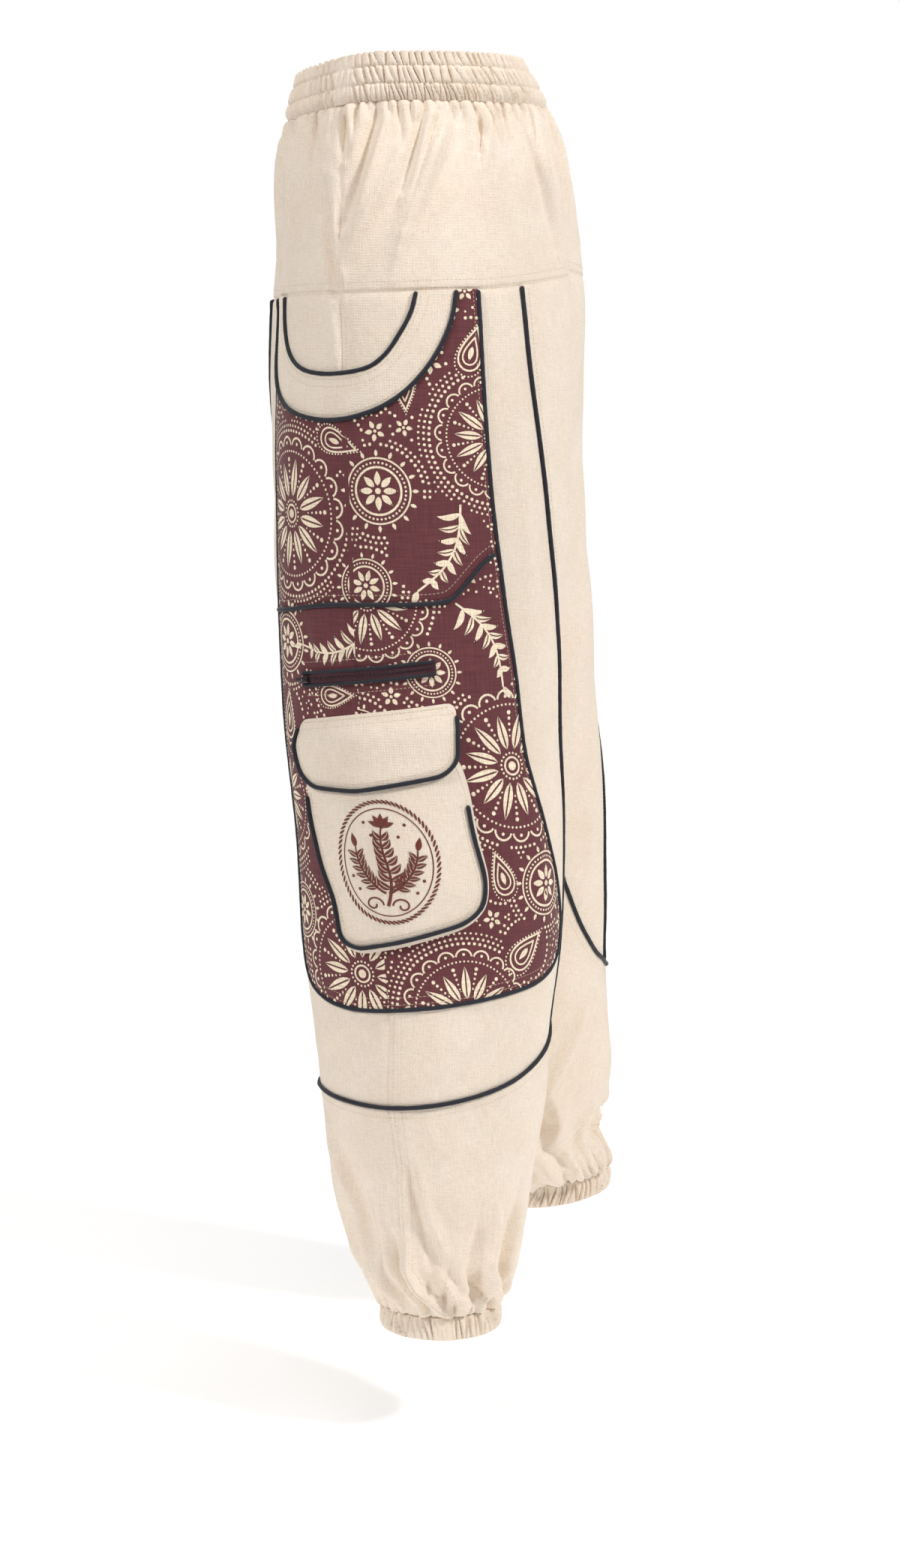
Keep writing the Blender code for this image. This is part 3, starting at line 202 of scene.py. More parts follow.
# Side seam: distance below the rim, and its share of the depth from front to back
SIDE_SEAM = (
    (0.0, 0.23), (0.08, 0.224), (0.18, 0.218), (0.735, 0.337), (0.811, 0.309), (0.861, 0.333),
    (0.912, 0.292), (0.945, 0.276), (0.96, 0.328), (0.985, 0.527), (1.005, 0.527),
)
# The share that each side seam hangs further back than that: distance below the rim, share
SEAM_SWING = {
    "left": ((0.000, 0.000), (0.735, 0.000)),
    "right": ((0.000, 0.050), (0.500, 0.050), (0.735, 0.000)),
}
# Seams round a leg: fraction of the way round from the centre front, and distance down
YOKE_EDGE = (
    (0.0, 0.186), (0.36, 0.183), (0.6, 0.18), (0.75, 0.172), (0.9, 0.166), (1.0, 0.162),
)
LOWER_EDGE = (
    (0.0, 0.812), (0.27, 0.81), (0.44, 0.811), (0.573, 0.8), (0.674, 0.783), (0.76, 0.764),
    (0.815, 0.747), (0.852, 0.718), (0.876, 0.68), (0.89, 0.645), (0.915, 0.6), (0.955, 0.55),
    (1.0, 0.52),
)
# Seams and outlines: distance round from the side seam, towards the back, and down
SEAT_SEAM = (
    (0.149, 0.174), (0.155, 0.23), (0.168, 0.314), (0.176, 0.372), (0.188, 0.43), (0.202, 0.49),
    (0.203, 0.55), (0.208, 0.61), (0.205, 0.67), (0.196, 0.73), (0.19, 0.77),
)
PRINT_EDGE = (
    (0.11, 0.178), (0.111, 0.24), (0.114, 0.341), (0.121, 0.413), (0.129, 0.475), (0.134, 0.54),
    (0.148, 0.595), (0.167, 0.645), (0.174, 0.68), (0.164, 0.704), (0.138, 0.716), (0.094, 0.723),
    (0.022, 0.731), (-0.032, 0.735), (-0.072, 0.729), (-0.094, 0.716), (-0.101, 0.69),
    (-0.101, 0.65), (-0.109, 0.56), (-0.105, 0.47), (-0.109, 0.384), (-0.117, 0.3),
    (-0.127, 0.24), (-0.134, 0.184),
)
MOUTH_EDGE = (
    (-0.08, 0.184), (-0.079, 0.205), (-0.068, 0.227), (-0.046, 0.24), (-0.014, 0.244),
    (0.019, 0.24), (0.036, 0.23), (0.049, 0.213), (0.058, 0.197), (0.063, 0.18),
)
BAND_EDGE = (
    (-0.119, 0.185), (-0.119, 0.215), (-0.108, 0.243), (-0.085, 0.263), (-0.051, 0.275),
    (-0.011, 0.279), (0.024, 0.272), (0.051, 0.257), (0.073, 0.233), (0.087, 0.206),
    (0.093, 0.18),
)
POCKET_EDGE = (
    (-0.106, 0.43), (-0.072, 0.427), (-0.02, 0.42), (0.045, 0.418), (0.071, 0.416), (0.082, 0.41),
    (0.103, 0.388), (0.117, 0.378),
)
ZIP_OUTLINE = (
    (-0.055, 0.475), (0.062, 0.461), (0.062, 0.471), (-0.055, 0.485),
)
FLAP_OUTLINE = (
    (-0.062, 0.512), (0.005, 0.502), (0.075, 0.493), (0.073, 0.518), (0.071, 0.538),
    (0.059, 0.549), (-0.007, 0.562), (-0.048, 0.562), (-0.062, 0.554), (-0.068, 0.534),
)
CARGO_OUTLINE = (
    (-0.059, 0.546), (-0.001, 0.542), (0.068, 0.536), (0.073, 0.56), (0.075, 0.596),
    (0.082, 0.632), (0.079, 0.652), (0.064, 0.664), (0.012, 0.679), (-0.02, 0.686),
    (-0.034, 0.68), (-0.038, 0.65), (-0.05, 0.624), (-0.058, 0.59),
)
SLIDER_PLACE = (-0.049, 0.4794)
SLIDER_FACES = (-0.039, 0.4782)

# Soft single folds of the panels' own form: start and end as (around, down), reach, height
FOLDS = (
    (0.235, 0.2, 0.262, 0.42, 0.022, 0.0045), (0.27, 0.4, 0.33, 0.5, 0.024, -0.005),
    (-0.16, 0.33, -0.205, 0.5, 0.026, 0.005), (-0.23, 0.56, -0.18, 0.7, 0.026, -0.0045),
    (0.23, 0.79, 0.18, 0.9, 0.022, 0.005), (-0.06, 0.84, -0.04, 0.93, 0.018, -0.0045),
    (-0.095, 0.86, -0.08, 0.95, 0.018, 0.005), (0.06, 0.85, 0.05, 0.93, 0.018, 0.004),
)
# Even folds: how many, where they start, are highest and end, height, and how far they wander
WAIST_GATHERS = (8, 0.030, 0.052, 0.150, 0.0030, 0.10)
ANKLE_GATHERS = (13, -0.120, -0.016, 0.012, 0.0040, 0.10)
GATHER_FREE = 0.016        # they leave the side seam plain by this

# Creases, listed one by one: start, middle and end as (around, down), reach to a side, height
CREASES = {
    "both": (
        (0.03, 0.038, 0.024, 0.068, 0.004, 0.13, 0.0043, -0.0097),
        (0.056, 0.06, 0.028, 0.118, -0.001, 0.168, 0.0064, 0.0056),
        (0.079, 0.058, 0.062, 0.092, 0.044, 0.174, 0.0059, 0.0062),
        (0.066, 0.04, 0.062, 0.062, 0.05, 0.104, 0.0036, -0.0075),
        (0.079, 0.037, 0.071, 0.07, 0.053, 0.132, 0.0039, -0.0066),
        (-0.017, 0.098, -0.013, 0.148, -0.006, 0.184, 0.0044, -0.0087),
        (-0.002, 0.037, 0.003, 0.052, 0.003, 0.078, 0.0031, -0.0066),
        (0.109, 0.037, 0.112, 0.058, 0.109, 0.084, 0.0029, -0.0078),
        (0.146, 0.04, 0.168, 0.09, 0.198, 0.147, 0.0048, -0.0066),
        (0.174, 0.04, 0.19, 0.09, 0.212, 0.132, 0.0051, 0.0056),
        (0.207, 0.042, 0.222, 0.078, 0.24, 0.128, 0.0051, -0.0069),
        (-0.062, 0.04, -0.068, 0.09, -0.064, 0.15, 0.0051, -0.0075),
        (-0.095, 0.042, -0.104, 0.086, -0.112, 0.16, 0.0059, 0.0062),
        (-0.12, 0.045, -0.13, 0.11, -0.126, 0.176, 0.0059, -0.0066),
        (0.135, 0.2, 0.142, 0.33, 0.15, 0.43, 0.009, 0.0024),
        (0.205, 0.23, 0.212, 0.33, 0.222, 0.42, 0.0108, 0.0036),
        (-0.2, 0.24, -0.235, 0.36, -0.25, 0.47, 0.0108, 0.0042),
        (-0.17, 0.48, -0.2, 0.56, -0.19, 0.64, 0.0108, 0.0033),
        (0.235, 0.54, 0.26, 0.62, 0.25, 0.69, 0.0126, 0.0042),
        (0.09, 0.74, 0.05, 0.76, 0.03, 0.8, 0.0081, 0.0018),
        (-0.03, 0.745, -0.06, 0.765, -0.1, 0.775, 0.0081, 0.0018),
        (0.03, 0.815, 0.036, 0.836, 0.034, 0.86, 0.0036, 0.0014),
        (0.052, 0.812, 0.06, 0.828, 0.062, 0.848, 0.0034, -0.0013),
        (0.078, 0.808, 0.086, 0.824, 0.09, 0.836, 0.0034, 0.0013),
        (-0.02, 0.816, -0.03, 0.84, -0.034, 0.866, 0.0036, 0.0013),
    ),
    "left": (
        (-0.01, 0.186, -0.008, 0.215, -0.004, 0.245, 0.0054, 0.0024),
        (-0.05, 0.44, -0.046, 0.455, -0.044, 0.47, 0.0045, -0.0024),
        (0.03, 0.418, 0.034, 0.436, 0.046, 0.452, 0.0054, -0.0027),
        (0.06, 0.42, 0.05, 0.445, 0.02, 0.456, 0.0072, 0.0021),
        (0.125, 0.56, 0.138, 0.62, 0.148, 0.68, 0.0108, 0.0024),
        (-0.082, 0.838, -0.06, 0.898, -0.026, 0.962, 0.0054, 0.0087),
        (-0.058, 0.895, -0.044, 0.94, -0.036, 0.98, 0.0038, -0.0087),
        (-0.03, 0.88, -0.024, 0.93, -0.018, 0.976, 0.0041, -0.0068),
        (-0.006, 0.92, -0.005, 0.956, -0.005, 0.984, 0.0034, -0.0097),
        (0.006, 0.915, 0.007, 0.955, 0.006, 0.984, 0.004, 0.0072),
        (0.009, 0.858, 0.016, 0.9, 0.026, 0.944, 0.0038, -0.0064),
        (0.02, 0.905, 0.028, 0.928, 0.036, 0.95, 0.004, -0.0068),
        (0.032, 0.93, 0.034, 0.955, 0.028, 0.98, 0.0038, 0.0075),
        (0.064, 0.905, 0.06, 0.945, 0.044, 0.982, 0.0041, -0.0083),
        (0.082, 0.895, 0.08, 0.94, 0.062, 0.98, 0.0045, 0.0083),
        (0.11, 0.892, 0.098, 0.94, 0.076, 0.982, 0.0045, -0.0083),
        (-0.11, 0.87, -0.095, 0.93, -0.072, 0.978, 0.005, -0.0083),
    ),
    "right": (
        (0.241, 0.79, 0.256, 0.832, 0.268, 0.872, 0.0075, 0.0044),
        (0.194, 0.884, 0.194, 0.908, 0.18, 0.94, 0.0043, -0.0094),
        (0.258, 0.892, 0.214, 0.922, 0.182, 0.952, 0.0045, -0.0091),
        (0.266, 0.868, 0.232, 0.906, 0.196, 0.942, 0.005, 0.0087),
        (0.132, 0.905, 0.158, 0.93, 0.142, 0.957, 0.0045, 0.0094),
        (0.128, 0.88, 0.148, 0.905, 0.172, 0.918, 0.005, -0.0068),
        (0.06, 0.87, 0.056, 0.915, 0.044, 0.955, 0.0045, -0.0083),
        (0.03, 0.85, 0.028, 0.905, 0.022, 0.956, 0.0045, 0.0079),
        (-0.034, 0.86, -0.03, 0.91, -0.024, 0.956, 0.0043, -0.0083),
        (-0.07, 0.85, -0.062, 0.905, -0.048, 0.956, 0.0049, 0.0083),
        (-0.105, 0.86, -0.096, 0.91, -0.074, 0.956, 0.0049, -0.0087),
        (0.105, 0.62, 0.15, 0.72, 0.19, 0.8, 0.0108, 0.0036),
        (0.03, 0.42, 0.02, 0.44, 0.016, 0.456, 0.0054, -0.0024),
        (-0.05, 0.6, -0.02, 0.66, 0.01, 0.7, 0.0108, 0.0024),
    ),
}
CREASE_STEPS = 9
CREASE_DIP = (1.9, 1.3)    # the dip lies this many reaches off the crease, and is this wide
CREASE_ENDS = (0.06, 0.7)  # the share left at its ends, and how quickly it rises from them
CREASE_POINT = 1.25         # 2 would round a crease off, 1 would bring it to a sharp edge
CREASE_LIP = 0.45          # a crease's far side dips by this share of its height

# Troughs of the gathers under the waistband and above each cuff: room between two, length,
# half-width where they start and end, and depth, the ranges from least to most
YOKE_TROUGHS = ((0.0060, 0.0130), (0.012, 0.070), (0.0014, 0.0044), (0.0040, 0.0080))
ANKLE_TROUGHS = ((0.0060, 0.0120), (0.012, 0.078), (0.0014, 0.0044), (0.0052, 0.0098))
TROUGH_LEAN = 0.25
TROUGH_SIDES = (0.70, 1.25)    # a trough is this much narrower and wider on its two sides
TROUGH_ROOT = (0.60, 0.006)    # it starts at this share of its depth, and is whole so far on
SEAM_FREE = 0.008          # troughs fade out this far from a side seam
SWELL = 0.0011             # height of the slow swell of loose cloth
SWELL_SIZES = (0.21, 0.13, 0.082, 0.051, 0.033)
SWELL_EDGE = 0.03          # it fades towards the bands and the centre lines over this
RELIEF_LIMIT = 0.0085      # no trough or ridge goes further in or out than this
PUFF = {"waist": (0.0034, 0.0025, 0.026), "ankle": (0.0066, 0.0022, 0.018)}

REST = 0.0003              # room between two layers that lie on each other
PRINT_LIFT = REST
ON_PRINT = PRINT_LIFT + PATCH + REST
POCKET_DEPTH = 0.0038
BAG_LIFT = PRINT_LIFT + PATCH + POCKET_DEPTH
FLAP_LIFT = BAG_LIFT + PATCH + REST + 0.00005
FLAP_HINGE = 0.022
FLAP_TOP = 3               # points of its outline that lie along its sewn top
CARGO_PIPING_TOP = 0.566
BAG_CROWN = 0.0042         # the filled pocket stands out by this in its middle
BAG_REACH = 0.052          # which begins this far from its rim
RIM_ROLL = (0.0008, 0.0030)    # its rim rolls in by this, over this
RIM_STEP = 0.003
MOUTH_ROOM = 0.001         # the gusset starts this far below the pocket's mouth
GUSSET_CUT = (0.012, 0.35) # width and length of the gusset's cut, for its weave
GUSSET_CLOTH = 0.8         # share of the patches' thickness
GUSSET_WIDTH = 0.0101      # least width it is cut to
PIPING_ROOM = 0.0036        # the flap's piping starts this far below its sewn top
CORD_STEP = 0.0025
CORD_ENDS = 0.001
CORD_SIDES = 9
CORD_UNEVEN = (0.05, 420, 173)     # share by which a cord's thickness varies, and how quickly
CORD_TIP = 0.7             # it narrows to this share at its ends
PIPING_SEAT = 0.45         # the middle of a piping cord lies this share of its radius proud

CROTCH_ROOM = 0.075        # the lower piping stops this far from the crotch
# Rows of the gusset from the face down to the leg: how far out, and height
GUSSET_ROWS = (
    (0.0, BAG_LIFT + 0.6 * PATCH),
    (-0.0016, BAG_LIFT - 0.0006),
    (-0.0030, BAG_LIFT - 0.0020),
    (-0.0042, ON_PRINT + 0.0014),
    (-0.0048, ON_PRINT + 0.0004),
)
GATHER_FULLNESS = 1.5
# Casings of a gathered band: share of its height at the top and at the foot, bulge, depth of
# the narrow folds, and least and most room between two of them
BAND_CASINGS = (
    (0.00, 0.29, 0.0004, 0.0046, (0.0044, 0.0080)),
    (0.29, 0.66, 0.0010, 0.0052, (0.0038, 0.0074)),
    (0.66, 1.00, 0.0008, 0.0044, (0.0024, 0.0044)),
)
CUFF_CASINGS = ((0.00, 1.00, 0.0010, 0.0050, (0.0028, 0.0052)),)
BAND_PROUD = 0.0034        # the band's cloth stands this far off the garment's plain surface
CUFF_PROUD = 0.0020
SEWN_EDGE = (0.20, 0.0045)     # at its sewn edge this share of that, and all of it so far on
FOLD_WIDTHS = (0.00060, 0.00105)
FOLD_SLANT = 0.16
FOLD_LEAST = 0.45          # the shallowest fold has this share of the deepest one's depth
FOLD_SHAPE = 1.4
PINCHED = 0.30             # a fold keeps this share of its depth at a row of stitches
BAND_PLAIN = (0.006, 0.004, 0.15)  # folds start so far from a side seam, are whole so much
                           # further on, and keep this share of their depth at the seam
STITCH_SINK = (0.0011, 0.0011)     # depth and half-width of the groove at a row of stitches
PUCKER = (0.0026, 0.00030, 2.2, 90)    # spacing, height and wander of the puckers along it
BAND_STEPS = 9
BAND_HALF_COLUMNS = 600
CUFF_COLUMNS = 620
FACING_ROWS = ((-0.0060, -0.0088), (-0.0010, -0.0062), (0.0060, -0.0058))
FACING_COLUMNS = 160
YOKE_ROWS = 72
YOKE_LENGTH = 0.14
BAND_WIDTH = 0.026         # cut width of the band round the pocket's mouth
YOKE_COLUMNS = {"front": 90, "back": 230}
BAND_FLAT = (0.90, 0.042)
CUFF_FLAT = (0.42, 0.024)

STITCH_HEIGHT = 0.00024
STITCH_ROOM = (0.0016, 0.0008)     # a row's stitches keep this far from its start and its end
STITCH_DIP = 0.6           # a stitch's ends dip into the cloth by this share of its height
SEWING_STEPS = (0.003, 0.0012)     # spacing of a seam's points before and after it is moved
ROW_LEAST = 4              # points of the shortest row that is sewn
CENTRE_ROOM = 0.0005       # rows stop this far from the centre lines
YOKE_STITCHES = (0.0022, 0.0078)   # the two rows lie this far above the yoke seam
STITCH_BREAK = 0.006       # a row of stitches stops at a wider gap than this
# Rings of a raised stitch: share of its length, and fullness; and the corners of each ring
STITCH_RINGS = ((0.16, 0.8), (0.5, 1.0), (0.84, 0.8))
STITCH_CORNERS = ((1, 0.15), (0, 1.0), (-1, 0.15), (0, -0.6))
PRINT_FOOT = 0.640         # the print's edge has a second row of stitches below this
INK_REST = 0.00014         # printed and sewn figures lie this far above the cloth's triangles
EMBLEM_PLACE = (0.010, 0.616)
EMBLEM_OVAL = (0.0375, 0.0470)
COIL_ROOM = (0.004, 0.002) # the coil starts and ends this far from its tape's ends
TOOTH_PITCH = 0.0014
TOOTH_STAGGER = 0.00035
TOOTH_HALF = (0.00042, 0.00125)    # half a turn's length and width
TOOTH_RINGS = ((0.0, 1.0), (0.00045, 0.95), (0.00075, 0.55))
# The slider's plates, post and bridge: middle, size and bevel
SLIDER_BLOCKS = (
    ((0, 0, 0.0016), (0.0072, 0.0058, 0.0008), 0.0006),
    ((0.0002, 0, 0.0031), (0.0064, 0.0050, 0.0009), 0.0007),
    ((0, 0, 0.0023), (0.0022, 0.0018, 0.0016), 0.0003),
    ((-0.0010, 0, 0.0042), (0.0034, 0.0011, 0.0016), 0.0005),
)
# Half the outline of its pull, the pull's layers as (height, shrink), and how it hangs
PULL_OUTLINE = ((0.0, 0.0), (0.0022, 0.0013), (0.0062, 0.0021), (0.0098, 0.0019), (0.0110, 0.0))
PULL_ROWS = ((-0.0005, 0.85), (-0.0003, 1.0), (0.0003, 1.0), (0.0005, 0.85))
PULL_MIDDLE = (0.0055, 0.0)
PULL_HINGE = (0.0004, 0.0042)
PULL_FALL = 0.10

FLOOR_LEVEL = -1.09
CAMERA_LENS = 69.3
CAMERA_PLACE = (2.5, 0.033, -0.217)
CAMERA_PITCH = radians(8.4)
FLOOR_SIDES = 96
FLOOR_REACH = 1.7
LIGHT_AIM = (0.0, 0.02, -0.2)
# Square lamps: place, side and power
LIGHTS = (
    ("key_light", (1.6, 2.5, 1.8), 0.5, 87.0),
    ("second_light", (1.9, -2.3, 1.7), 0.8, 57.0),
    ("top_light", (0.6, 0.0, 2.3), 1.0, 16.0),
    ("back_light", (-2.6, -1.2, 1.2), 1.5, 30.0),
    ("far_light", (-2.0, 2.2, 1.2), 1.5, 16.0),
)

FINE_LINE = 0.0040         # spacing of points along seams
FINE_PANEL = 0.0050        # spacing of points inside panels
FINE_ANKLE = (0.0017, 0.0032)
PANEL_ROOM = 0.0015        # points inside panels keep this far from seams
CUT_MARGIN = 0.001         # and from the edges of the cut
ANKLE_TOP = 0.858
SEAM_SIDE = 0.0016         # rows of points beside each seam, where its edges roll in
EDGE_DROP = 0.0006         # a panel's edge rolls in by this at a piped seam
SEAM_DROPS = {"yoke": 0.0012, "side": 0.0010}     # and by this at a plain one
EDGE_REACH = 0.0018
SAME_POINT = 1e-5
SLIVER = 2e-10
RIB_SCALE = 1000 * pi / 20     # scale of the wave texture that makes ribs 1 mm apart


# ---------------------------------------------------------------- the surface of one half
def spline(rows, columns, name, levels):
    """Smooth value of one column of a table at each level."""
    heights, values = (
        np.array([row[columns.index(column)] for row in rows]) for column in ("level", name)
    )
    heights = -heights
    slopes = np.gradient(values, heights)
    depth = np.clip(-np.asarray(levels, float), heights[0], heights[-1])
    row = np.clip(np.searchsorted(heights, depth, side="right") - 1, 0, len(heights) - 2)
    step = heights[row + 1] - heights[row]
    t = (depth - heights[row]) / step
    rise = values[row + 1] - values[row]
    start_pull = t * (1 - t) ** 2 * step * slopes[row]
    end_pull = -t * t * (1 - t) * step * slopes[row + 1]
    return values[row] + t * t * (3 - 2 * t) * rise + start_pull + end_pull


def half_section(rows, level):
    """Points round one half at a level, from the inner front edge to the inner back edge."""
    centre, outer, inner, front, back, tilt = (
        float(spline(rows, SECTION_COLUMNS, name, level)) for name in SECTION_COLUMNS[1:]
    )
    middle = (front + back) / 2
    if level > CROTCH_LEVEL:
        edge_front = float(spline(RISE, RISE_COLUMNS, "front", level))
        edge_back = float(spline(RISE, RISE_COLUMNS, "back", level))
        inner = 0.0
    else:
        crotch_middle = float(
            spline(rows, SECTION_COLUMNS, "front", CROTCH_LEVEL)
            + spline(rows, SECTION_COLUMNS, "back", CROTCH_LEVEL)
        ) / 2
        settle = np.exp((level - CROTCH_LEVEL) / INSEAM_SETTLE)
        edge_front = edge_back = middle + (CROTCH_Y - crotch_middle) * settle
    turn = np.linspace(0, 1, SECTION_STEPS)
    points = []
    for edge, side_depth, sign in (
        (edge_front, middle - front, -1),
        (edge_back, back - middle, 1),
    ):
        start = np.arcsin(np.clip(sign * (edge - middle) / side_depth, -EDGE_LIMIT, EDGE_LIMIT))
        arc = start + (pi / 2 - start) * turn
        inner_x = centre - (centre - inner) * np.cos(arc) / np.cos(start)
        inner_y = middle + sign * side_depth * np.sin(arc)
        arc = pi / 2 * (1 - turn[1:])
        outer_x = centre + (outer - centre) * np.cos(arc)
        outer_y = middle + sign * side_depth * np.sin(arc)
        points.append(np.column_stack([np.append(inner_x, outer_x), np.append(inner_y, outer_y)]))
    loop = np.vstack([points[0], points[1][-2::-1]])
    sag = np.clip((WAIST_DIP_FROM - loop[:, 1]) / WAIST_DIP_REACH, 0, 1) ** WAIST_DIP_BEND
    sag = WAIST_DIP * sag * np.clip(1 + level / WAIST_DIP_FADE, 0, 1)
    height = level + tilt * (loop[:, 1] - middle) - sag
    return np.column_stack([loop, height])


def fold_height(fold, around, down):
    """Height of one soft fold, which fades to its sides and ends."""
    start = np.array(fold[0:2])
    run = np.array(fold[2:4]) - start
    reach, height = fold[4:6]
    across, along = around - start[0], down - start[1]
    share = np.clip((across * run[0] + along * run[1]) / run.dot(run), 0, 1)
    gap = np.hypot(across - share * run[0], along - share * run[1])
    return height * np.exp(-((gap / reach) ** 2)) * np.sin(pi * np.clip(share, 0.12, 0.88))


def grid_normals(grid, tube):
    """Unit normals of a grid of points, pointing out; rows of a tube close on themselves."""
    first = np.where(tube[:, None], grid[:, -2], 2 * grid[:, 0] - grid[:, 1])
    last = np.where(tube[:, None], grid[:, 1], 2 * grid[:, -1] - grid[:, -2])
    padded = np.concatenate([first[:, None], grid, last[:, None]], axis=1)
    normals = np.cross(np.gradient(grid, axis=0), padded[:, 2:] - padded[:, :-2])
    return normals / np.linalg.norm(normals, axis=2, keepdims=True)


def crease_height(crease, around, down):
    """Height of a crease that runs through three points: a ridge with a dip on one side."""
    knots = np.array(crease[:6]).reshape(3, 2)
    share = np.linspace(0, 1, CREASE_STEPS)[:, None]
    line = (1 - share) ** 2 * knots[0] + 2 * share * (1 - share) * knots[1] + share ** 2 * knots[2]
    reach, height = crease[6:8]
    middle, room = knots.mean(axis=0), np.ptp(knots, axis=0) + 5 * reach
    near = (np.abs(around - middle[0]) < room[0]) & (np.abs(down - middle[1]) < room[1])
    result = np.zeros_like(around)
    if not near.any():
        return result
    spots = np.column_stack([around[near], down[near]])
    best = np.full(len(spots), 1e9)
    signed, along = np.zeros(len(spots)), np.zeros(len(spots))
    for step in range(CREASE_STEPS - 1):
        run = line[step + 1] - line[step]
        offset = spots - line[step]
        part = np.clip(offset @ run / run.dot(run), 0, 1)
        gap = np.linalg.norm(offset - part[:, None] * run, axis=1)
        closer = gap < best
        best[closer] = gap[closer]
        side = np.sign(offset[:, 0] * run[1] - offset[:, 1] * run[0])
        signed[closer] = (gap * side)[closer]
        along[closer] = ((step + part) / (CREASE_STEPS - 1))[closer]
    ridge = np.exp(-np.abs(signed / reach) ** CREASE_POINT)
    dip = np.exp(-(((signed - CREASE_DIP[0] * reach) / (CREASE_DIP[1] * reach)) ** 2))
    fade = np.sin(pi * np.clip(along, CREASE_ENDS[0], 1 - CREASE_ENDS[0])) ** CREASE_ENDS[1]
    result[near] = height * fade * (ridge - CREASE_LIP * dip)
    return result


def soft_noise(around, down, seed):
    """Slow uneven swell of loose cloth, between about -1 and 1."""
    total = np.zeros_like(around)
    chance = np.random.default_rng(seed)
    for size in SWELL_SIZES:
        for _ in range(3):
            heading, shift = chance.uniform(-0.9, 0.9), chance.uniform(0, 2 * pi)
            run = around * cos(heading) + down * 0.55 * sin(heading)
            total += (size / SWELL_SIZES[0]) ** 0.9 * np.sin(2 * pi * run / size + shift)
    return total / 4


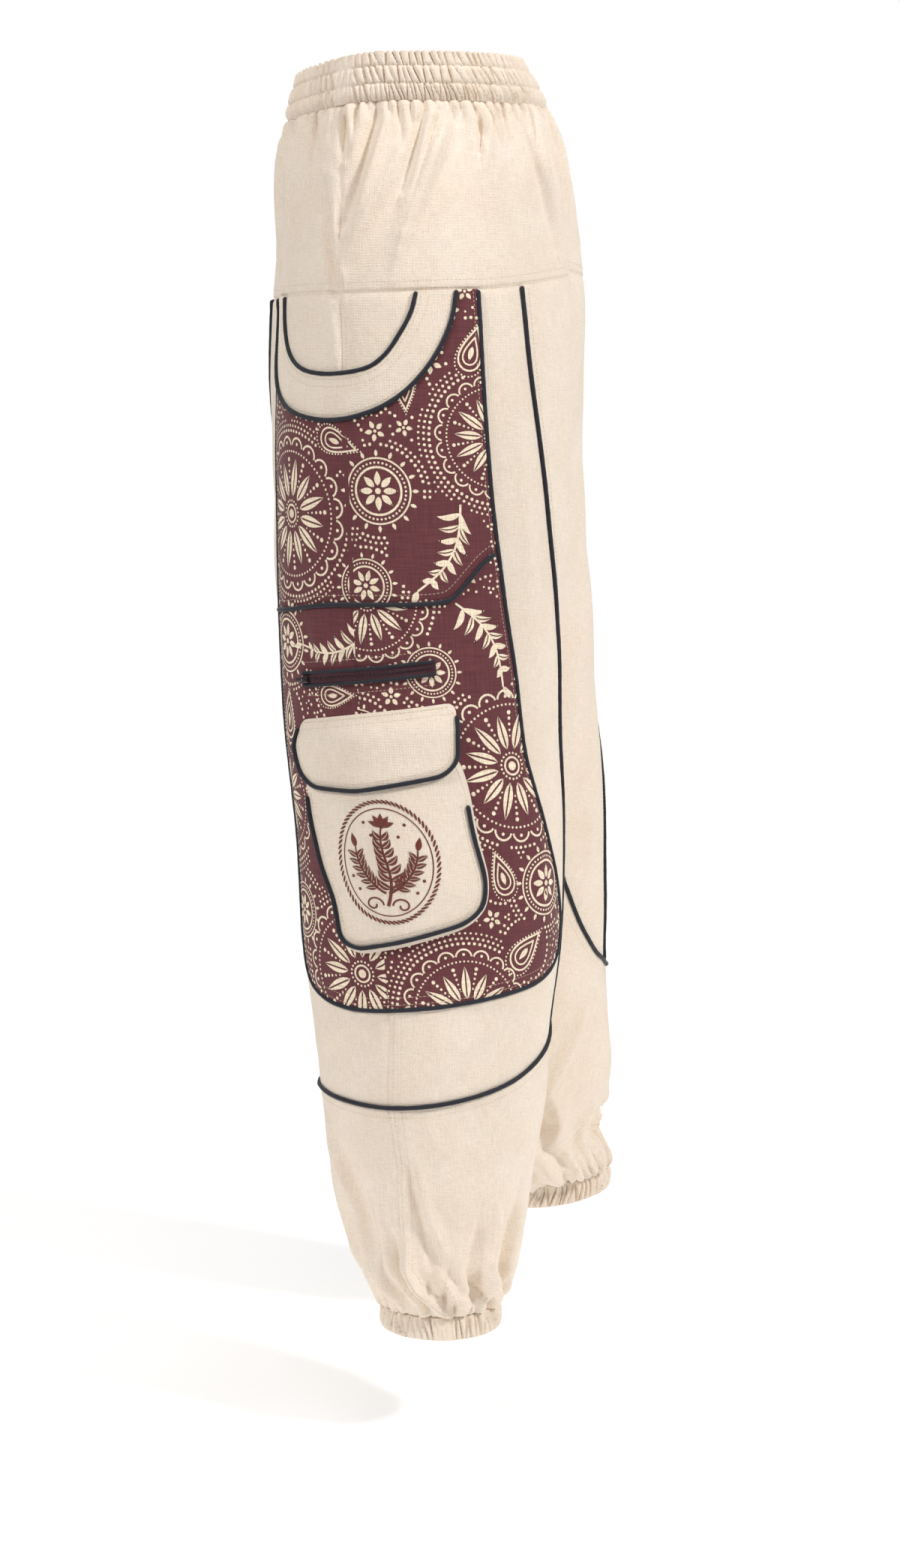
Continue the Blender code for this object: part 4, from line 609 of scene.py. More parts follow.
class Half:
    """The outer surface of one half of the garment, addressed round it and down it."""

    def __init__(self, side):
        self.side = side
        self.mirror = 1 if side == "left" else -1
        self.seed = 3 if side == "left" else 8
        self.downs = np.linspace(0, CUFF[side][1], LEVEL_STEPS)
        self.fractions = np.linspace(0, 1, SECTION_STEPS)
        self.girths, self.seam = np.zeros(LEVEL_STEPS), np.zeros(LEVEL_STEPS)
        cuff_top = CUFF[side][0]
        # Each gathered end: its troughs, its puff, where it starts and which way it runs
        self.ends = (
            (YOKE_TROUGHS, PUFF["waist"], BAND_BOTTOM, 1),
            (ANKLE_TROUGHS, PUFF["ankle"], cuff_top, -1),
        )
        shares = np.interp(self.downs, *zip(*SIDE_SEAM))
        shares = shares + np.interp(self.downs, *zip(*SEAM_SWING[side]))
        apex = slice(SECTION_STEPS - 1, 3 * SECTION_STEPS - 2)
        grid = np.zeros((LEVEL_STEPS, SECTION_STEPS, 3))
        for row, down in enumerate(self.downs):
            loop = half_section(SECTIONS[side], -down)
            length = line_length(loop)
            self.girths[row] = length[-1]
            outside = loop[apex, 1]
            spot = outside[0] + shares[row] * (outside[-1] - outside[0])
            self.seam[row] = np.interp(spot, outside, length[apex] / length[-1])
            for axis in range(3):
                grid[row, :, axis] = np.interp(self.fractions, length / length[-1], loop[:, axis])
        around = (self.fractions[None, :] - self.seam[:, None]) * self.girths[:, None]
        down = np.repeat(self.downs[:, None], SECTION_STEPS, axis=1)
        height = sum(fold_height(fold, around, down) for fold in FOLDS)
        height = height + self.gathers(around, down, *WAIST_GATHERS)
        height = height + self.gathers(around, down - cuff_top, *ANKLE_GATHERS)
        tube = self.downs > -CROTCH_LEVEL
        grid = grid + grid_normals(grid, tube) * height[..., None]
        grid[..., 0] = np.maximum(grid[..., 0], 0)
        self.grid = grid * (self.mirror, 1, 1)
        self.normals = grid_normals(grid, tube) * (self.mirror, 1, 1)
        self.troughs = self.scatter_troughs()

    def gathers(self, around, down, count, start, peak, end, size, wander):
        """Height of a run of even folds that swells and fades down the garment."""
        fraction = np.repeat(self.fractions[None, :], LEVEL_STEPS, axis=0)
        rising = np.clip((down - start) / (peak - start), 0, 1)
        falling = np.clip((end - down) / (end - peak), 0, 1)
        share = np.minimum(rising, falling)
        ease = share * share * (3 - 2 * share)
        turn = count * fraction + wander * np.sin(2 * pi * 3 * fraction + count)
        uneven = 0.75 + 0.25 * np.sin(2 * pi * 5 * fraction + 1.3)
        plain = np.clip(np.abs(around) / GATHER_FREE - 0.5, 0, 1)
        return size * ease * uneven * plain * np.cos(2 * pi * turn)

    def scatter_troughs(self):
        """Gathers that run down from the waistband and up from the cuff, all a little uneven."""
        chance = np.random.default_rng(self.seed)
        found = []
        for (rooms, lengths, widths, depths), _, root, heading in self.ends:
            girth = float(np.interp(root, self.downs, self.girths))
            spot = rooms[0] / 2
            while spot < girth:
                reach = chance.random() ** 1.7
                length = lengths[0] + (lengths[1] - lengths[0]) * reach
                share = 0.45 * chance.random() + 0.55 * reach
                depth = depths[0] + (depths[1] - depths[0]) * share
                lean = chance.uniform(-TROUGH_LEAN, TROUGH_LEAN) * (0.4 + 0.6 * reach)
                side = chance.choice((-1, 1))
                found.append((spot / girth, root, heading, length, widths, depth, lean, side))
                spot += chance.uniform(*rooms)
        return found

    def side_seam(self, down):
        """Fraction of the way round this half at which its side seam runs."""
        return np.interp(down, self.downs, self.seam)

    def girth(self, down):
        """Length round this half at a distance down."""
        return np.interp(down, self.downs, self.girths)

    def around(self, fraction, down):
        """Distance round from the side seam."""
        return (fraction - self.side_seam(down)) * self.girth(down)

    def fraction(self, around, down):
        """Fraction of the way round for a distance from the side seam."""
        return self.side_seam(down) + around / self.girth(down)

    def relief(self, fraction, down):
        """Height of the creases, small gathers and slow swell over the plain surface."""
        fraction, down = np.broadcast_arrays(np.asarray(fraction, float), np.asarray(down, float))
        shape = fraction.shape
        fraction, down = fraction.ravel(), down.ravel()
        girth = self.girth(down)
        around = self.around(fraction, down)
        total = np.zeros_like(around)
        for crease in CREASES["both"] + CREASES[self.side]:
            total += crease_height(crease, around, down)
        free = np.clip(np.abs(around) / SEAM_FREE - 0.5, 0, 1)
        for spot, root, heading, length, widths, depth, lean, side in self.troughs:
            along = (down - root) * heading
            near = (along > -0.003) & (along < length)
            run = along[near]
            part = np.clip(run / length, 0, 1)
            off = (fraction[near] - spot) * girth[near] - lean * run
            off -= np.round(off / girth[near]) * girth[near]
            spread = widths[0] + (widths[1] - widths[0]) * part ** 0.8
            spread *= np.where(off * side > 0, *TROUGH_SIDES)
            start = TROUGH_ROOT[0] + (1 - TROUGH_ROOT[0]) * np.clip(run / TROUGH_ROOT[1], 0, 1)
            fall = depth * start * (1 - part) ** 1.1
            total[near] -= fall * np.exp(-np.abs(off / spread) ** 1.5) * free[near]
        inner = np.clip(np.minimum(fraction, 1 - fraction) * girth / SWELL_EDGE, 0, 1)
        swell = SWELL * soft_noise(around, down, self.seed) * inner
        for _, (size, rise, fade), root, heading in self.ends:
            run = np.clip((down - root) * heading, 0, None)
            total += size * (np.exp(-run / fade) - np.exp(-run / rise))
            swell *= np.clip(run / SWELL_EDGE, 0, 1)
        total = RELIEF_LIMIT * np.tanh(total / RELIEF_LIMIT)
        return (total * np.clip(inner * 2, 0, 1) + swell).reshape(shape)

    def place(self, fraction, down):
        """Points at fractions of the way round and distances down, and their normals."""
        fraction, down = np.broadcast_arrays(np.asarray(fraction, float), np.asarray(down, float))
        column = np.clip(fraction, 0, 1) * (SECTION_STEPS - 1)
        row = np.clip(down / self.downs[-1], 0, 1) * (LEVEL_STEPS - 1)
        left = np.minimum(column.astype(int), SECTION_STEPS - 2)
        top = np.minimum(row.astype(int), LEVEL_STEPS - 2)
        across = (column - left)[..., None]
        along = (row - top)[..., None]

        def blend(grid):
            upper = grid[top, left] * (1 - across) + grid[top, left + 1] * across
            lower = grid[top + 1, left] * (1 - across) + grid[top + 1, left + 1] * across
            return upper * (1 - along) + lower * along

        normals = blend(self.normals)
        return blend(self.grid), normals / np.linalg.norm(normals, axis=-1, keepdims=True)

    def lifted(self, fraction, down, lift):
        """Points that lie a lift above the creased surface, and their normals."""
        points, normals = self.place(fraction, down)
        height = self.relief(fraction, down) + lift
        return points + normals * height[..., None], normals


# ---------------------------------------------------------------- lines and outlines
def smooth(rows, steps=12):
    """A Catmull-Rom curve through a table's points."""
    rows = np.asarray(rows, float)
    padded = np.vstack([2 * rows[0] - rows[1], rows, 2 * rows[-1] - rows[-2]])
    share = np.linspace(0, 1, steps, endpoint=False)[:, None]
    pieces = []
    for before, start, end, after in zip(padded, padded[1:], padded[2:], padded[3:]):
        bend = 2 * before - 5 * start + 4 * end - after
        twist = 3 * start - before - 3 * end + after
        curve = 2 * start + (end - before) * share + bend * share ** 2 + twist * share ** 3
        pieces.append(0.5 * curve)
    return np.vstack(pieces + [rows[-1:]])


def line_length(line):
    """Distance along a line at each of its points."""
    return np.append(0, np.cumsum(np.linalg.norm(np.diff(line, axis=0), axis=1)))


def values_along(length, values, spots):
    """Values known at lengths along a line, at other distances along it."""
    columns = [np.interp(spots, length, column) for column in np.asarray(values).T]
    return np.stack(columns, axis=-1)


def along_line(line, spots):
    """Points of a line at distances along it."""
    return values_along(line_length(line), line, spots)


def resample(line, step=FINE_LINE):
    """The same line with points about one step apart."""
    line = np.asarray(line, float)
    total = line_length(line)[-1]
    return along_line(line, np.linspace(0, total, max(2, int(round(total / step)) + 1)))


def rounded(corners, radius, steps=5):
    """A closed outline whose corners are rounded, ending where it starts."""
    corners = np.array(corners, float)
    points = []
    for before, corner, after in zip(
        np.roll(corners, 1, axis=0), corners, np.roll(corners, -1, axis=0)
    ):
        to_before, to_after = before - corner, after - corner
        sides = np.linalg.norm(to_before), np.linalg.norm(to_after)
        cut = min(radius, sides[0] * 0.45, sides[1] * 0.45)
        start, end = corner + to_before / sides[0] * cut, corner + to_after / sides[1] * cut
        for share in np.linspace(0, 1, steps):
            points.append(
                (1 - share) ** 2 * start + 2 * share * (1 - share) * corner + share ** 2 * end
            )
    return np.array(points + [points[0]])


def nearest_on(line, point):
    """The point of a line that lies nearest to another point."""
    starts, ends = line[:-1], line[1:]
    run = ends - starts
    share = np.clip(((point - starts) * run).sum(1) / (run ** 2).sum(1), 0, 1)
    spots = starts + share[:, None] * run
    return spots[np.argmin(np.linalg.norm(spots - point, axis=1))]


def nearest_points(points, line, block=2000):
    """The place on a line that is nearest to each point."""
    starts = line[:-1]
    run = line[1:] - starts
    size = np.maximum((run ** 2).sum(axis=1), 1e-18)
    found = np.zeros((len(points), 2))
    for first in range(0, len(points), block):
        x, y = (points[first:first + block, axis, None] - starts[:, axis] for axis in (0, 1))
        share = np.clip((x * run[:, 0] + y * run[:, 1]) / size, 0, 1)
        gap = (x - share * run[:, 0]) ** 2 + (y - share * run[:, 1]) ** 2
        best = gap.argmin(axis=1)
        part = share[np.arange(len(best)), best, None]
        found[first:first + block] = starts[best] + part * run[best]
    return found


def distance_to_line(points, line):
    """Distance from each point to a line."""
    return np.linalg.norm(points - nearest_points(points, line), axis=1)


def inside_outline(points, outline):
    """Whether points lie inside a closed outline."""
    within = np.zeros(len(points), bool)
    x, y = points[:, 0], points[:, 1]
    for start, end in zip(outline, np.roll(outline, -1, axis=0)):
        spans = (start[1] > y) != (end[1] > y)
        rise = end[1] - start[1] if end[1] != start[1] else 1.0
        within ^= spans & (x < (end[0] - start[0]) * (y - start[1]) / rise + start[0])
    return within


def thinned(points, others, room):
    """Points that keep some room from the others and from each other."""
    taken = {}
    kept = []
    cell = max(room, 1e-6)

    def key(spot):
        return int(np.floor(spot[0] / cell)), int(np.floor(spot[1] / cell))

    for spot in others:
        taken.setdefault(key(spot), []).append(spot)
    for spot in points:
        column, row = key(spot)
        crowd = [
            other
            for x in (column - 1, column, column + 1)
            for y in (row - 1, row, row + 1)
            for other in taken.get((x, y), ())
        ]
        if all((spot[0] - o[0]) ** 2 + (spot[1] - o[1]) ** 2 > room * room for o in crowd):
            taken.setdefault((column, row), []).append(spot)
            kept.append(spot)
    return np.array(kept).reshape(-1, 2)


# ---------------------------------------------------------------- the cut of one leg
class Pattern:
    """The cut of one leg laid flat, as fine triangles whose edges follow every seam."""

    def __init__(self, half):
        self.half = half
        self.width = float(half.girth(-CROTCH_LEVEL))
        self.lines = self.seam_lines()
        self.points, self.faces = self.triangulate()
        self.middles = self.points[self.faces].mean(axis=1)

    def flat(self, rows):
        """Points given round from the side seam, moved into the pattern's own plane."""
        around, down = np.asarray(rows, float).T
        return np.column_stack([self.half.fraction(around, down) * self.width, down])

    def real(self, flat):
        """Points of the pattern's plane as distances round from the side seam and down."""
        return np.column_stack([self.half.around(flat[:, 0] / self.width, flat[:, 1]), flat[:, 1]])

    def seam_lines(self):
        """Every seam and outline of the leg."""
        cuff_top = CUFF[self.half.side][0]
        scale = (self.width, 1.0)
        downs = np.arange(YOKE_EDGE[1][1], cuff_top, FINE_LINE)
        side = np.column_stack([self.half.side_seam(downs) * self.width, downs])
        side = np.vstack([side, (self.half.side_seam(cuff_top) * self.width, cuff_top)])
        columns = int(self.half.girth(cuff_top) / FINE_ANKLE[0])
        lines = {
            "yoke": resample(np.array(YOKE_EDGE) * scale),
            "lower": resample(smooth(np.array(LOWER_EDGE) * scale)),
            "cuff": np.column_stack(
                [np.linspace(0, self.width, columns + 1), np.full(columns + 1, cuff_top)]
            ),
            "side": side,
        }
        for name, line in (
            ("seat", smooth(SEAT_SEAM)),
            ("print", smooth(PRINT_EDGE)),
            ("mouth", smooth(MOUTH_EDGE)),
            ("band", smooth(BAND_EDGE)),
            ("pocket", smooth(POCKET_EDGE, 4)),
            ("zip", np.vstack([ZIP_OUTLINE, ZIP_OUTLINE[:1]])),
            ("flap", rounded(FLAP_OUTLINE, 0.008)),
            ("cargo", rounded(CARGO_OUTLINE, 0.010)),
        ):
            lines[name] = self.flat(resample(line))
        for name in ("seat", "print", "mouth", "band", "side"):
            lines[name][0] = nearest_on(lines["yoke"], lines[name][0])
        for name in ("print", "mouth", "band"):
            lines[name][-1] = nearest_on(lines["yoke"], lines[name][-1])
        lines["seat"][-1] = nearest_on(lines["lower"], lines["seat"][-1])
        for end in (0, -1):
            lines["pocket"][end] = nearest_on(lines["print"], lines["pocket"][end])
        for name, across, top in (
            ("centre_front", 0.0, YOKE_EDGE[0][1]),
            ("centre_back", self.width, YOKE_EDGE[-1][1]),
        ):
            downs = np.append(np.arange(top, cuff_top, FINE_LINE), cuff_top)
            lines[name] = np.column_stack([np.full(len(downs), across), downs])
        return lines

    def triangulate(self):
        """The constrained triangles between all the lines."""
        points, edges = [], []
        for line in self.lines.values():
            first = len(points)
            points.extend(line)
            edges.extend((first + step, first + step + 1) for step in range(len(line) - 1))
        sides = [
            self.shifted(self.lines[name], shift)
            for name in self.lines
            if name not in ("cuff", "centre_front", "centre_back")
            for shift in (-SEAM_SIDE, SEAM_SIDE)
        ]
        cuff_top = CUFF[self.half.side][0]
        low, high = YOKE_EDGE[-1][1], cuff_top - CUT_MARGIN
        sides = np.vstack(sides)
        sides = sides[(sides[:, 1] > low) & (sides[:, 1] < high)]
        sides = sides[(sides[:, 0] > CUT_MARGIN) & (sides[:, 0] < self.width - CUT_MARGIN)]
        sides = thinned(sides, points, 0.75 * SEAM_SIDE)
        inner = []
        drop = FINE_PANEL * np.sqrt(3) / 2
        for row, down in enumerate(np.arange(low, ANKLE_TOP, drop)):
            shift = (row % 2) * FINE_PANEL / 2
            columns = np.arange(FINE_PANEL, self.width - FINE_PANEL / 2, FINE_PANEL)
            inner.extend((across + shift, down) for across in columns)
        for row, down in enumerate(np.arange(ANKLE_TOP, high, FINE_ANKLE[1])):
            count = int(self.half.girth(down) / FINE_ANKLE[0])
            shift = 0.5 * (row % 2)
            inner.extend(((c + shift) * self.width / count, down) for c in range(1, count))
        inner = thinned(np.array(inner), np.vstack([points, sides]), PANEL_ROOM)
        points.extend(sides)
        points.extend(inner)
        result = delaunay_2d_cdt([Vector(point) for point in points], edges, [], 0, SAME_POINT)
        vertices = np.array([tuple(vertex) for vertex in result[0]])
        faces = np.array([list(face) for face in result[2]])
        corner = vertices[faces]
        middle = corner.mean(axis=1)
        one, two = corner[:, 1] - corner[:, 0], corner[:, 2] - corner[:, 0]
        area = np.abs(one[:, 0] * two[:, 1] - one[:, 1] * two[:, 0]) / 2
        yoke_down = np.interp(middle[:, 0] / self.width, *zip(*YOKE_EDGE))
        return vertices, faces[(middle[:, 1] > yoke_down) & (area > SLIVER)]

    def shifted(self, line, distance):
        """A line moved sideways over the cloth by a real distance."""
        step = 1e-4
        fraction, down = line[:, 0] / self.width, line[:, 1]
        here, normals = self.half.place(fraction, down)
        across = (self.half.place(fraction + step / self.width, down)[0] - here) / step
        lower = np.minimum(down + step, self.half.downs[-1])
        below = (self.half.place(fraction, lower)[0] - here) / step
        run = np.gradient(here, axis=0)
        sideways = np.cross(normals, run) * self.half.mirror
        sideways /= np.maximum(np.linalg.norm(sideways, axis=1, keepdims=True), 1e-12)
        aa, bb, ab = (across ** 2).sum(1), (below ** 2).sum(1), (across * below).sum(1)
        a, b = (across * sideways).sum(1), (below * sideways).sum(1)
        area = np.maximum(aa * bb - ab ** 2, 1e-9)
        move = np.column_stack([(a * bb - b * ab) / area, (b * aa - a * ab) / area])
        return line + np.nan_to_num(move) * distance

    def beyond(self, name, points, axis):
        """Whether points lie past a line, counted along one axis of the cut."""
        points = self.middles if points is None else points
        line = self.lines[name]
        line = line[np.argsort(line[:, 1 - axis])]
        return points[:, axis] > np.interp(points[:, 1 - axis], line[:, 1 - axis], line[:, axis])

    def behind(self, name, points=None):
        """Whether points lie behind a line that runs down the leg."""
        return self.beyond(name, points, 0)

    def below(self, name, points=None):
        """Whether points lie below a line that runs round the leg."""
        return self.beyond(name, points, 1)

    def inside(self, name, points=None):
        """Whether points lie inside an outline, or inside a line that the yoke seam closes."""
        line = self.lines[name]
        if np.linalg.norm(line[0] - line[-1]) > SAME_POINT:
            line = np.vstack([line, (line[-1][0], 0.0), (line[0][0], 0.0)])
        return inside_outline(self.middles if points is None else points, line)

    def test(self, inside, outside=()):
        """A test that points pass if they lie inside some outlines and outside others."""
        return lambda points: np.all(
            [self.inside(name, points) for name in inside]
            + [~self.inside(name, points) for name in outside], axis=0,
        )


# ---------------------------------------------------------------- meshes
def new_object(name, data):
    """An object in the scene."""
    made = bpy.data.objects.new(name, data)
    bpy.context.scene.collection.objects.link(made)
    return made


def new_mesh(name, points, faces, materials, uv=None):
    """A mesh object of the garment, riding with it, with a flat map of its cut if given."""
    mesh = bpy.data.meshes.new(name)
    mesh.from_pydata(np.asarray(points).tolist(), [], [list(map(int, face)) for face in faces])
    if uv is not None:
        layer = mesh.uv_layers.new(name="cut")
        corners = np.zeros(len(mesh.loops), int)
        mesh.loops.foreach_get("vertex_index", corners)
        layer.data.foreach_set("uv", np.asarray(uv, float)[corners].ravel())
    for material in materials:
        mesh.materials.append(material)
    mesh.shade_smooth()
    mesh.update()
    piece = new_object(name, mesh)
    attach(piece, BODY)
    return piece


def open_edges(faces):
    """Directed edges that only one face uses."""
    faces = np.asarray(faces)
    after = np.roll(faces, -1, axis=1)
    pairs = np.column_stack([faces.T.ravel(), after.T.ravel()])
    top = int(faces.max()) + 1
    keys = pairs[:, 0].astype(np.int64) * top + pairs[:, 1]
    back = pairs[:, 1].astype(np.int64) * top + pairs[:, 0]
    return pairs[~np.isin(keys, back)]


def turned_out(points, normals, faces):
    """Faces turned so that their fronts are on the side that the normals point to."""
    faces = np.array(faces)
    corners = points[faces[:, :3]]
    front = np.cross(corners[:, 1] - corners[:, 0], corners[:, 2] - corners[:, 0])
    wrong = (front * normals[faces].sum(axis=1)).sum(axis=1) < 0
    faces[wrong] = faces[wrong][:, ::-1]
    return faces


def new_wall(name, outer, inner, faces, material, uv=None):
    """A closed wall between two matching sheets of points."""
    count = len(outer)
    rim = open_edges(faces)
    rim = np.column_stack([rim[:, 1], rim[:, 0], rim[:, 0] + count, rim[:, 1] + count])
    back = faces[:, ::-1] + count
    both = None if uv is None else np.vstack([uv, uv])
    every = faces.tolist() + back.tolist() + rim.tolist()
    piece = new_mesh(name, np.vstack([outer, inner]), every, [material], both)
    piece.data.set_sharp_from_angle(angle=radians(60))
    return piece


def new_tube(name, path, radius, material):
    """A round cord along a path, a little uneven and closed at its ends."""
    sides = CORD_SIDES
    turn = np.linspace(0, 2 * pi, sides, endpoint=False)
    run = np.gradient(path, axis=0)
    run /= np.linalg.norm(run, axis=1, keepdims=True)
    side = np.zeros_like(run)
    reference = np.cross(run[0], (0.31, 0.67, 0.68))
    for index, heading in enumerate(run):
        reference = reference - heading * reference.dot(heading)
        reference /= np.linalg.norm(reference)
        side[index] = reference
    other = np.cross(run, side)
    length = line_length(path)
    share, fast, slow = CORD_UNEVEN
    size = radius * (1 + share * np.sin(length * fast) * np.sin(length * slow))
    size[[0, -1]] *= CORD_TIP
    ring = np.cos(turn)[:, None] * side[:, None] + np.sin(turn)[:, None] * other[:, None]
    points = (path[:, None] + ring * size[:, None, None]).reshape(-1, 3)
    uv = np.column_stack([np.tile(turn * radius, len(path)), np.repeat(length, sides)])
    faces = grid_faces(len(path), sides).tolist()
    first, last = list(range(sides)), (len(path) - 1) * sides
    faces += [first[::-1], [last + corner for corner in first]]
    return new_mesh(name, points, faces, [material], uv)


# ---------------------------------------------------------------- one leg
class Leg:
    """Makes the pieces of one leg from its surface and its cut."""

    def __init__(self, side):
        self.side = side
        self.half = Half(side)
        self.pattern = pattern = Pattern(self.half)
        fraction, down = pattern.points[:, 0] / pattern.width, pattern.points[:, 1]
        self.points, self.normals = self.half.lifted(fraction, down, 0.0)
        self.uv = np.column_stack([self.half.around(fraction, down), down])
        spots = np.column_stack([pattern.points, np.zeros(len(down))])
        self.finder = BVHTree.FromPolygons(spots.tolist(), pattern.faces.tolist())

    def chosen(self, mask, rolled, drop=EDGE_DROP, reach=EDGE_REACH):
        """Points, normals, faces and indices of part of the leg, rolled in at some lines."""
        faces = turned_out(self.points, self.normals, self.pattern.faces[mask])
        indices, inverse = np.unique(faces, return_inverse=True)
        points, normals = self.points[indices], self.normals[indices]
        roll = np.zeros(len(indices))
        for name in rolled:
            gap = distance_to_line(self.pattern.points[indices], self.pattern.lines[name])
            deep = SEAM_DROPS.get(name, drop)
            roll = np.maximum(roll, deep * np.exp(-((gap / reach) ** 2)))
        return points - normals * roll[:, None], normals, inverse.reshape(faces.shape), indices

    def sew(self, name, mask, finish, rolled, held, rests_on, lift=None, strip=None):
        """A panel of the garment, or with a lift a piece that is sewn on so far above it."""
        points, normals, faces, indices = self.chosen(mask, rolled)
        if lift is None:
            outer, inner = points, points - normals * sizes().cloth
        else:
            lift = lift(self.pattern.points[indices]) if callable(lift) else lift
            inner = points + normals * np.broadcast_to(lift, len(points))[:, None]
            outer = inner + normals * PATCH
        node, uv = f"{self.side}_{name}", self.uv[indices]
        piece = dress(f"{node}_cloth", node, finish, outer, inner, faces, uv)
        declare_cut(piece, uv, faces, held, rests_on, strip)

    def located(self, flat):
        """The corners of the triangle under each point of the pattern, and their shares."""
        found = [self.finder.find_nearest((x, y, 0.0))[2] for x, y in flat]
        corners = self.pattern.faces[found]
        a, b, c = (self.pattern.points[corners[:, k]] for k in range(3))
        one, two, spot = b - a, c - a, np.asarray(flat) - a
        area = one[:, 0] * two[:, 1] - one[:, 1] * two[:, 0]
        v = (spot[:, 0] * two[:, 1] - spot[:, 1] * two[:, 0]) / area
        w = (one[:, 0] * spot[:, 1] - one[:, 1] * spot[:, 0]) / area
        shares = np.clip(np.column_stack([1 - v - w, v, w]), 0, 1)
        return corners, shares / shares.sum(axis=1, keepdims=True)

    def on_mesh(self, flat, heights):
        """Points and normals on the leg's own triangles, moved out by a height at each corner."""
        corner, weight = self.located(flat)
        raised = self.points + self.normals * np.broadcast_to(heights, len(self.points))[:, None]
        points = (raised[corner] * weight[..., None]).sum(axis=1)
        normals = (self.normals[corner] * weight[..., None]).sum(axis=1)
        return points, normals / np.linalg.norm(normals, axis=1, keepdims=True)

    def on_cloth(self, flat, lift):
        """Points of the pattern's plane, placed a lift above the creased cloth."""
        return self.half.lifted(flat[:, 0] / self.pattern.width, flat[:, 1], lift)[0]

    def cord(self, name, line, lift, trim, radius=None):
        """Piping along a line of the pattern, resting a lift above the cloth, its ends trimmed."""
        radius = radius or sizes().piping
        line = resample(line, CORD_STEP)
        lift = lift(line) if callable(lift) else lift
        points = self.on_cloth(line, lift + radius * PIPING_SEAT)
        length = line_length(points)
        start, end = trim[0], length[-1] - trim[1]
        inner = length[(length > start + CORD_ENDS) & (length < end - CORD_ENDS)]
        path = along_line(points, np.concatenate([[start], inner, [end]]))
        node = f"{self.side}_{name}"
        piece = new_tube(f"{node}_cord", path, radius, material("navy twill piping"))
        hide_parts(node)


def dress(name, node, finish, outer, inner, faces, uv):
    """A closed wall of cloth that stands for a node and takes its slot from its finish."""
    piece = new_wall(name, outer, inner, faces, material(finish), uv)
    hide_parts(node)
    return piece


def declare_sheet(piece, width, length, area, held, **more):
    """Turn the width and length that a sheet of cloth was cut to into numbers; nothing else is done
    with the sheet.
    """
    width, length = float(width), float(length)


def declare_cut(piece, flat, faces, held, rests_on, strip=None):
    """Work out a sheet's size as it lies in the cut, a curved strip measured along its length, and
    hand it to declare_sheet, which keeps nothing.
    """
    area = sheet_area(np.column_stack([flat, np.zeros(len(flat))]), faces)
    width, length = (area / strip, strip) if strip else np.ptp(flat, axis=0)
    declare_sheet(piece, width, length, area, held, rests_on=[f"{rests_on}_cloth"])


def sheet_area(points, faces):
    """Area of a sheet of three- or four-cornered faces."""
    corners = np.asarray(points)[faces]
    total = 0.0
    for start in range(1, faces.shape[1] - 1):
        one, two = corners[:, start] - corners[:, 0], corners[:, start + 1] - corners[:, 0]
        total += np.linalg.norm(np.cross(one, two), axis=1).sum() / 2
    return total


# ---------------------------------------------------------------- finishes
MIX_COLOURS = (6, 7, 2)    # places of a mix node's two colour inputs and of its colour output


def tone(colour, factor):
    """A colour made darker or lighter, as a shader takes it."""
    return tuple(min(part * factor, 1.0) for part in colour[:3]) + (1.0,)


def add_node(tree, kind, inputs=None, stops=(), **settings):
    """Add a shader node with its settings, a ramp's (position, colour) stops, and its inputs
    filled or linked; what comes back is its outputs."""
    node = tree.nodes.new("ShaderNode" + kind)
    for name, value in settings.items():
        setattr(node, name, value)
    elements = node.color_ramp.elements if stops else ()
    while len(elements) < len(stops):
        elements.new(0.5)
    for element, (position, colour) in zip(elements, stops):
        element.position, element.color = position, colour
    for name, value in (inputs or {}).items():
        if isinstance(value, bpy.types.NodeSocket):
            tree.links.new(value, node.inputs[name])
        else:
            node.inputs[name].default_value = value
    return node.outputs


def layered(tree, *layers):
    """The sum of several patterns, each times its share."""
    total = 0.0
    for pattern, share in layers:
        terms = {0: pattern, 1: share, 2: total}
        total = add_node(tree, "Math", terms, operation="MULTIPLY_ADD")[0]
    return total


def stretched(tree, coordinates, across, along, detail=2.0, roughness=0.55):
    """Noise in the plane of the cut whose grains are across by along millimetres."""
    scale = (1000 / across, 1000 / along, 1.0)
    scaled = add_node(tree, "Mapping", {"Vector": coordinates, "Scale": scale})[0]
    noise = {"Vector": scaled, "Scale": 1.0, "Detail": detail, "Roughness": roughness}
    return add_node(tree, "TexNoise", noise, noise_dimensions="2D")["Fac"]


def grained(tree, per_metre, detail=2.0):
    """Even noise in the piece's own space."""
    place = add_node(tree, "TexCoord")["Object"]
    return add_node(
        tree, "TexNoise", {"Vector": place, "Scale": per_metre, "Detail": detail}
    )["Fac"]


def weave_height(tree, coordinates, pitch, uneven):
    """Height of a plain weave with one thread each pitch millimetres, off by up to uneven."""
    wobble = stretched(tree, coordinates, 6.0, 6.0)
    terms = {0: wobble, 1: (uneven / 1000, uneven / 1000, 0.0), 2: coordinates}
    bent = add_node(tree, "VectorMath", terms, operation="MULTIPLY_ADD")[0]
    threads = {"Vector": bent, "Scale": RIB_SCALE / pitch}
    weft, warp = (
        add_node(tree, "TexWave", threads, bands_direction=axis)["Fac"] for axis in ("X", "Y")
    )
    return layered(tree, (weft, 0.5), (warp, 0.5))


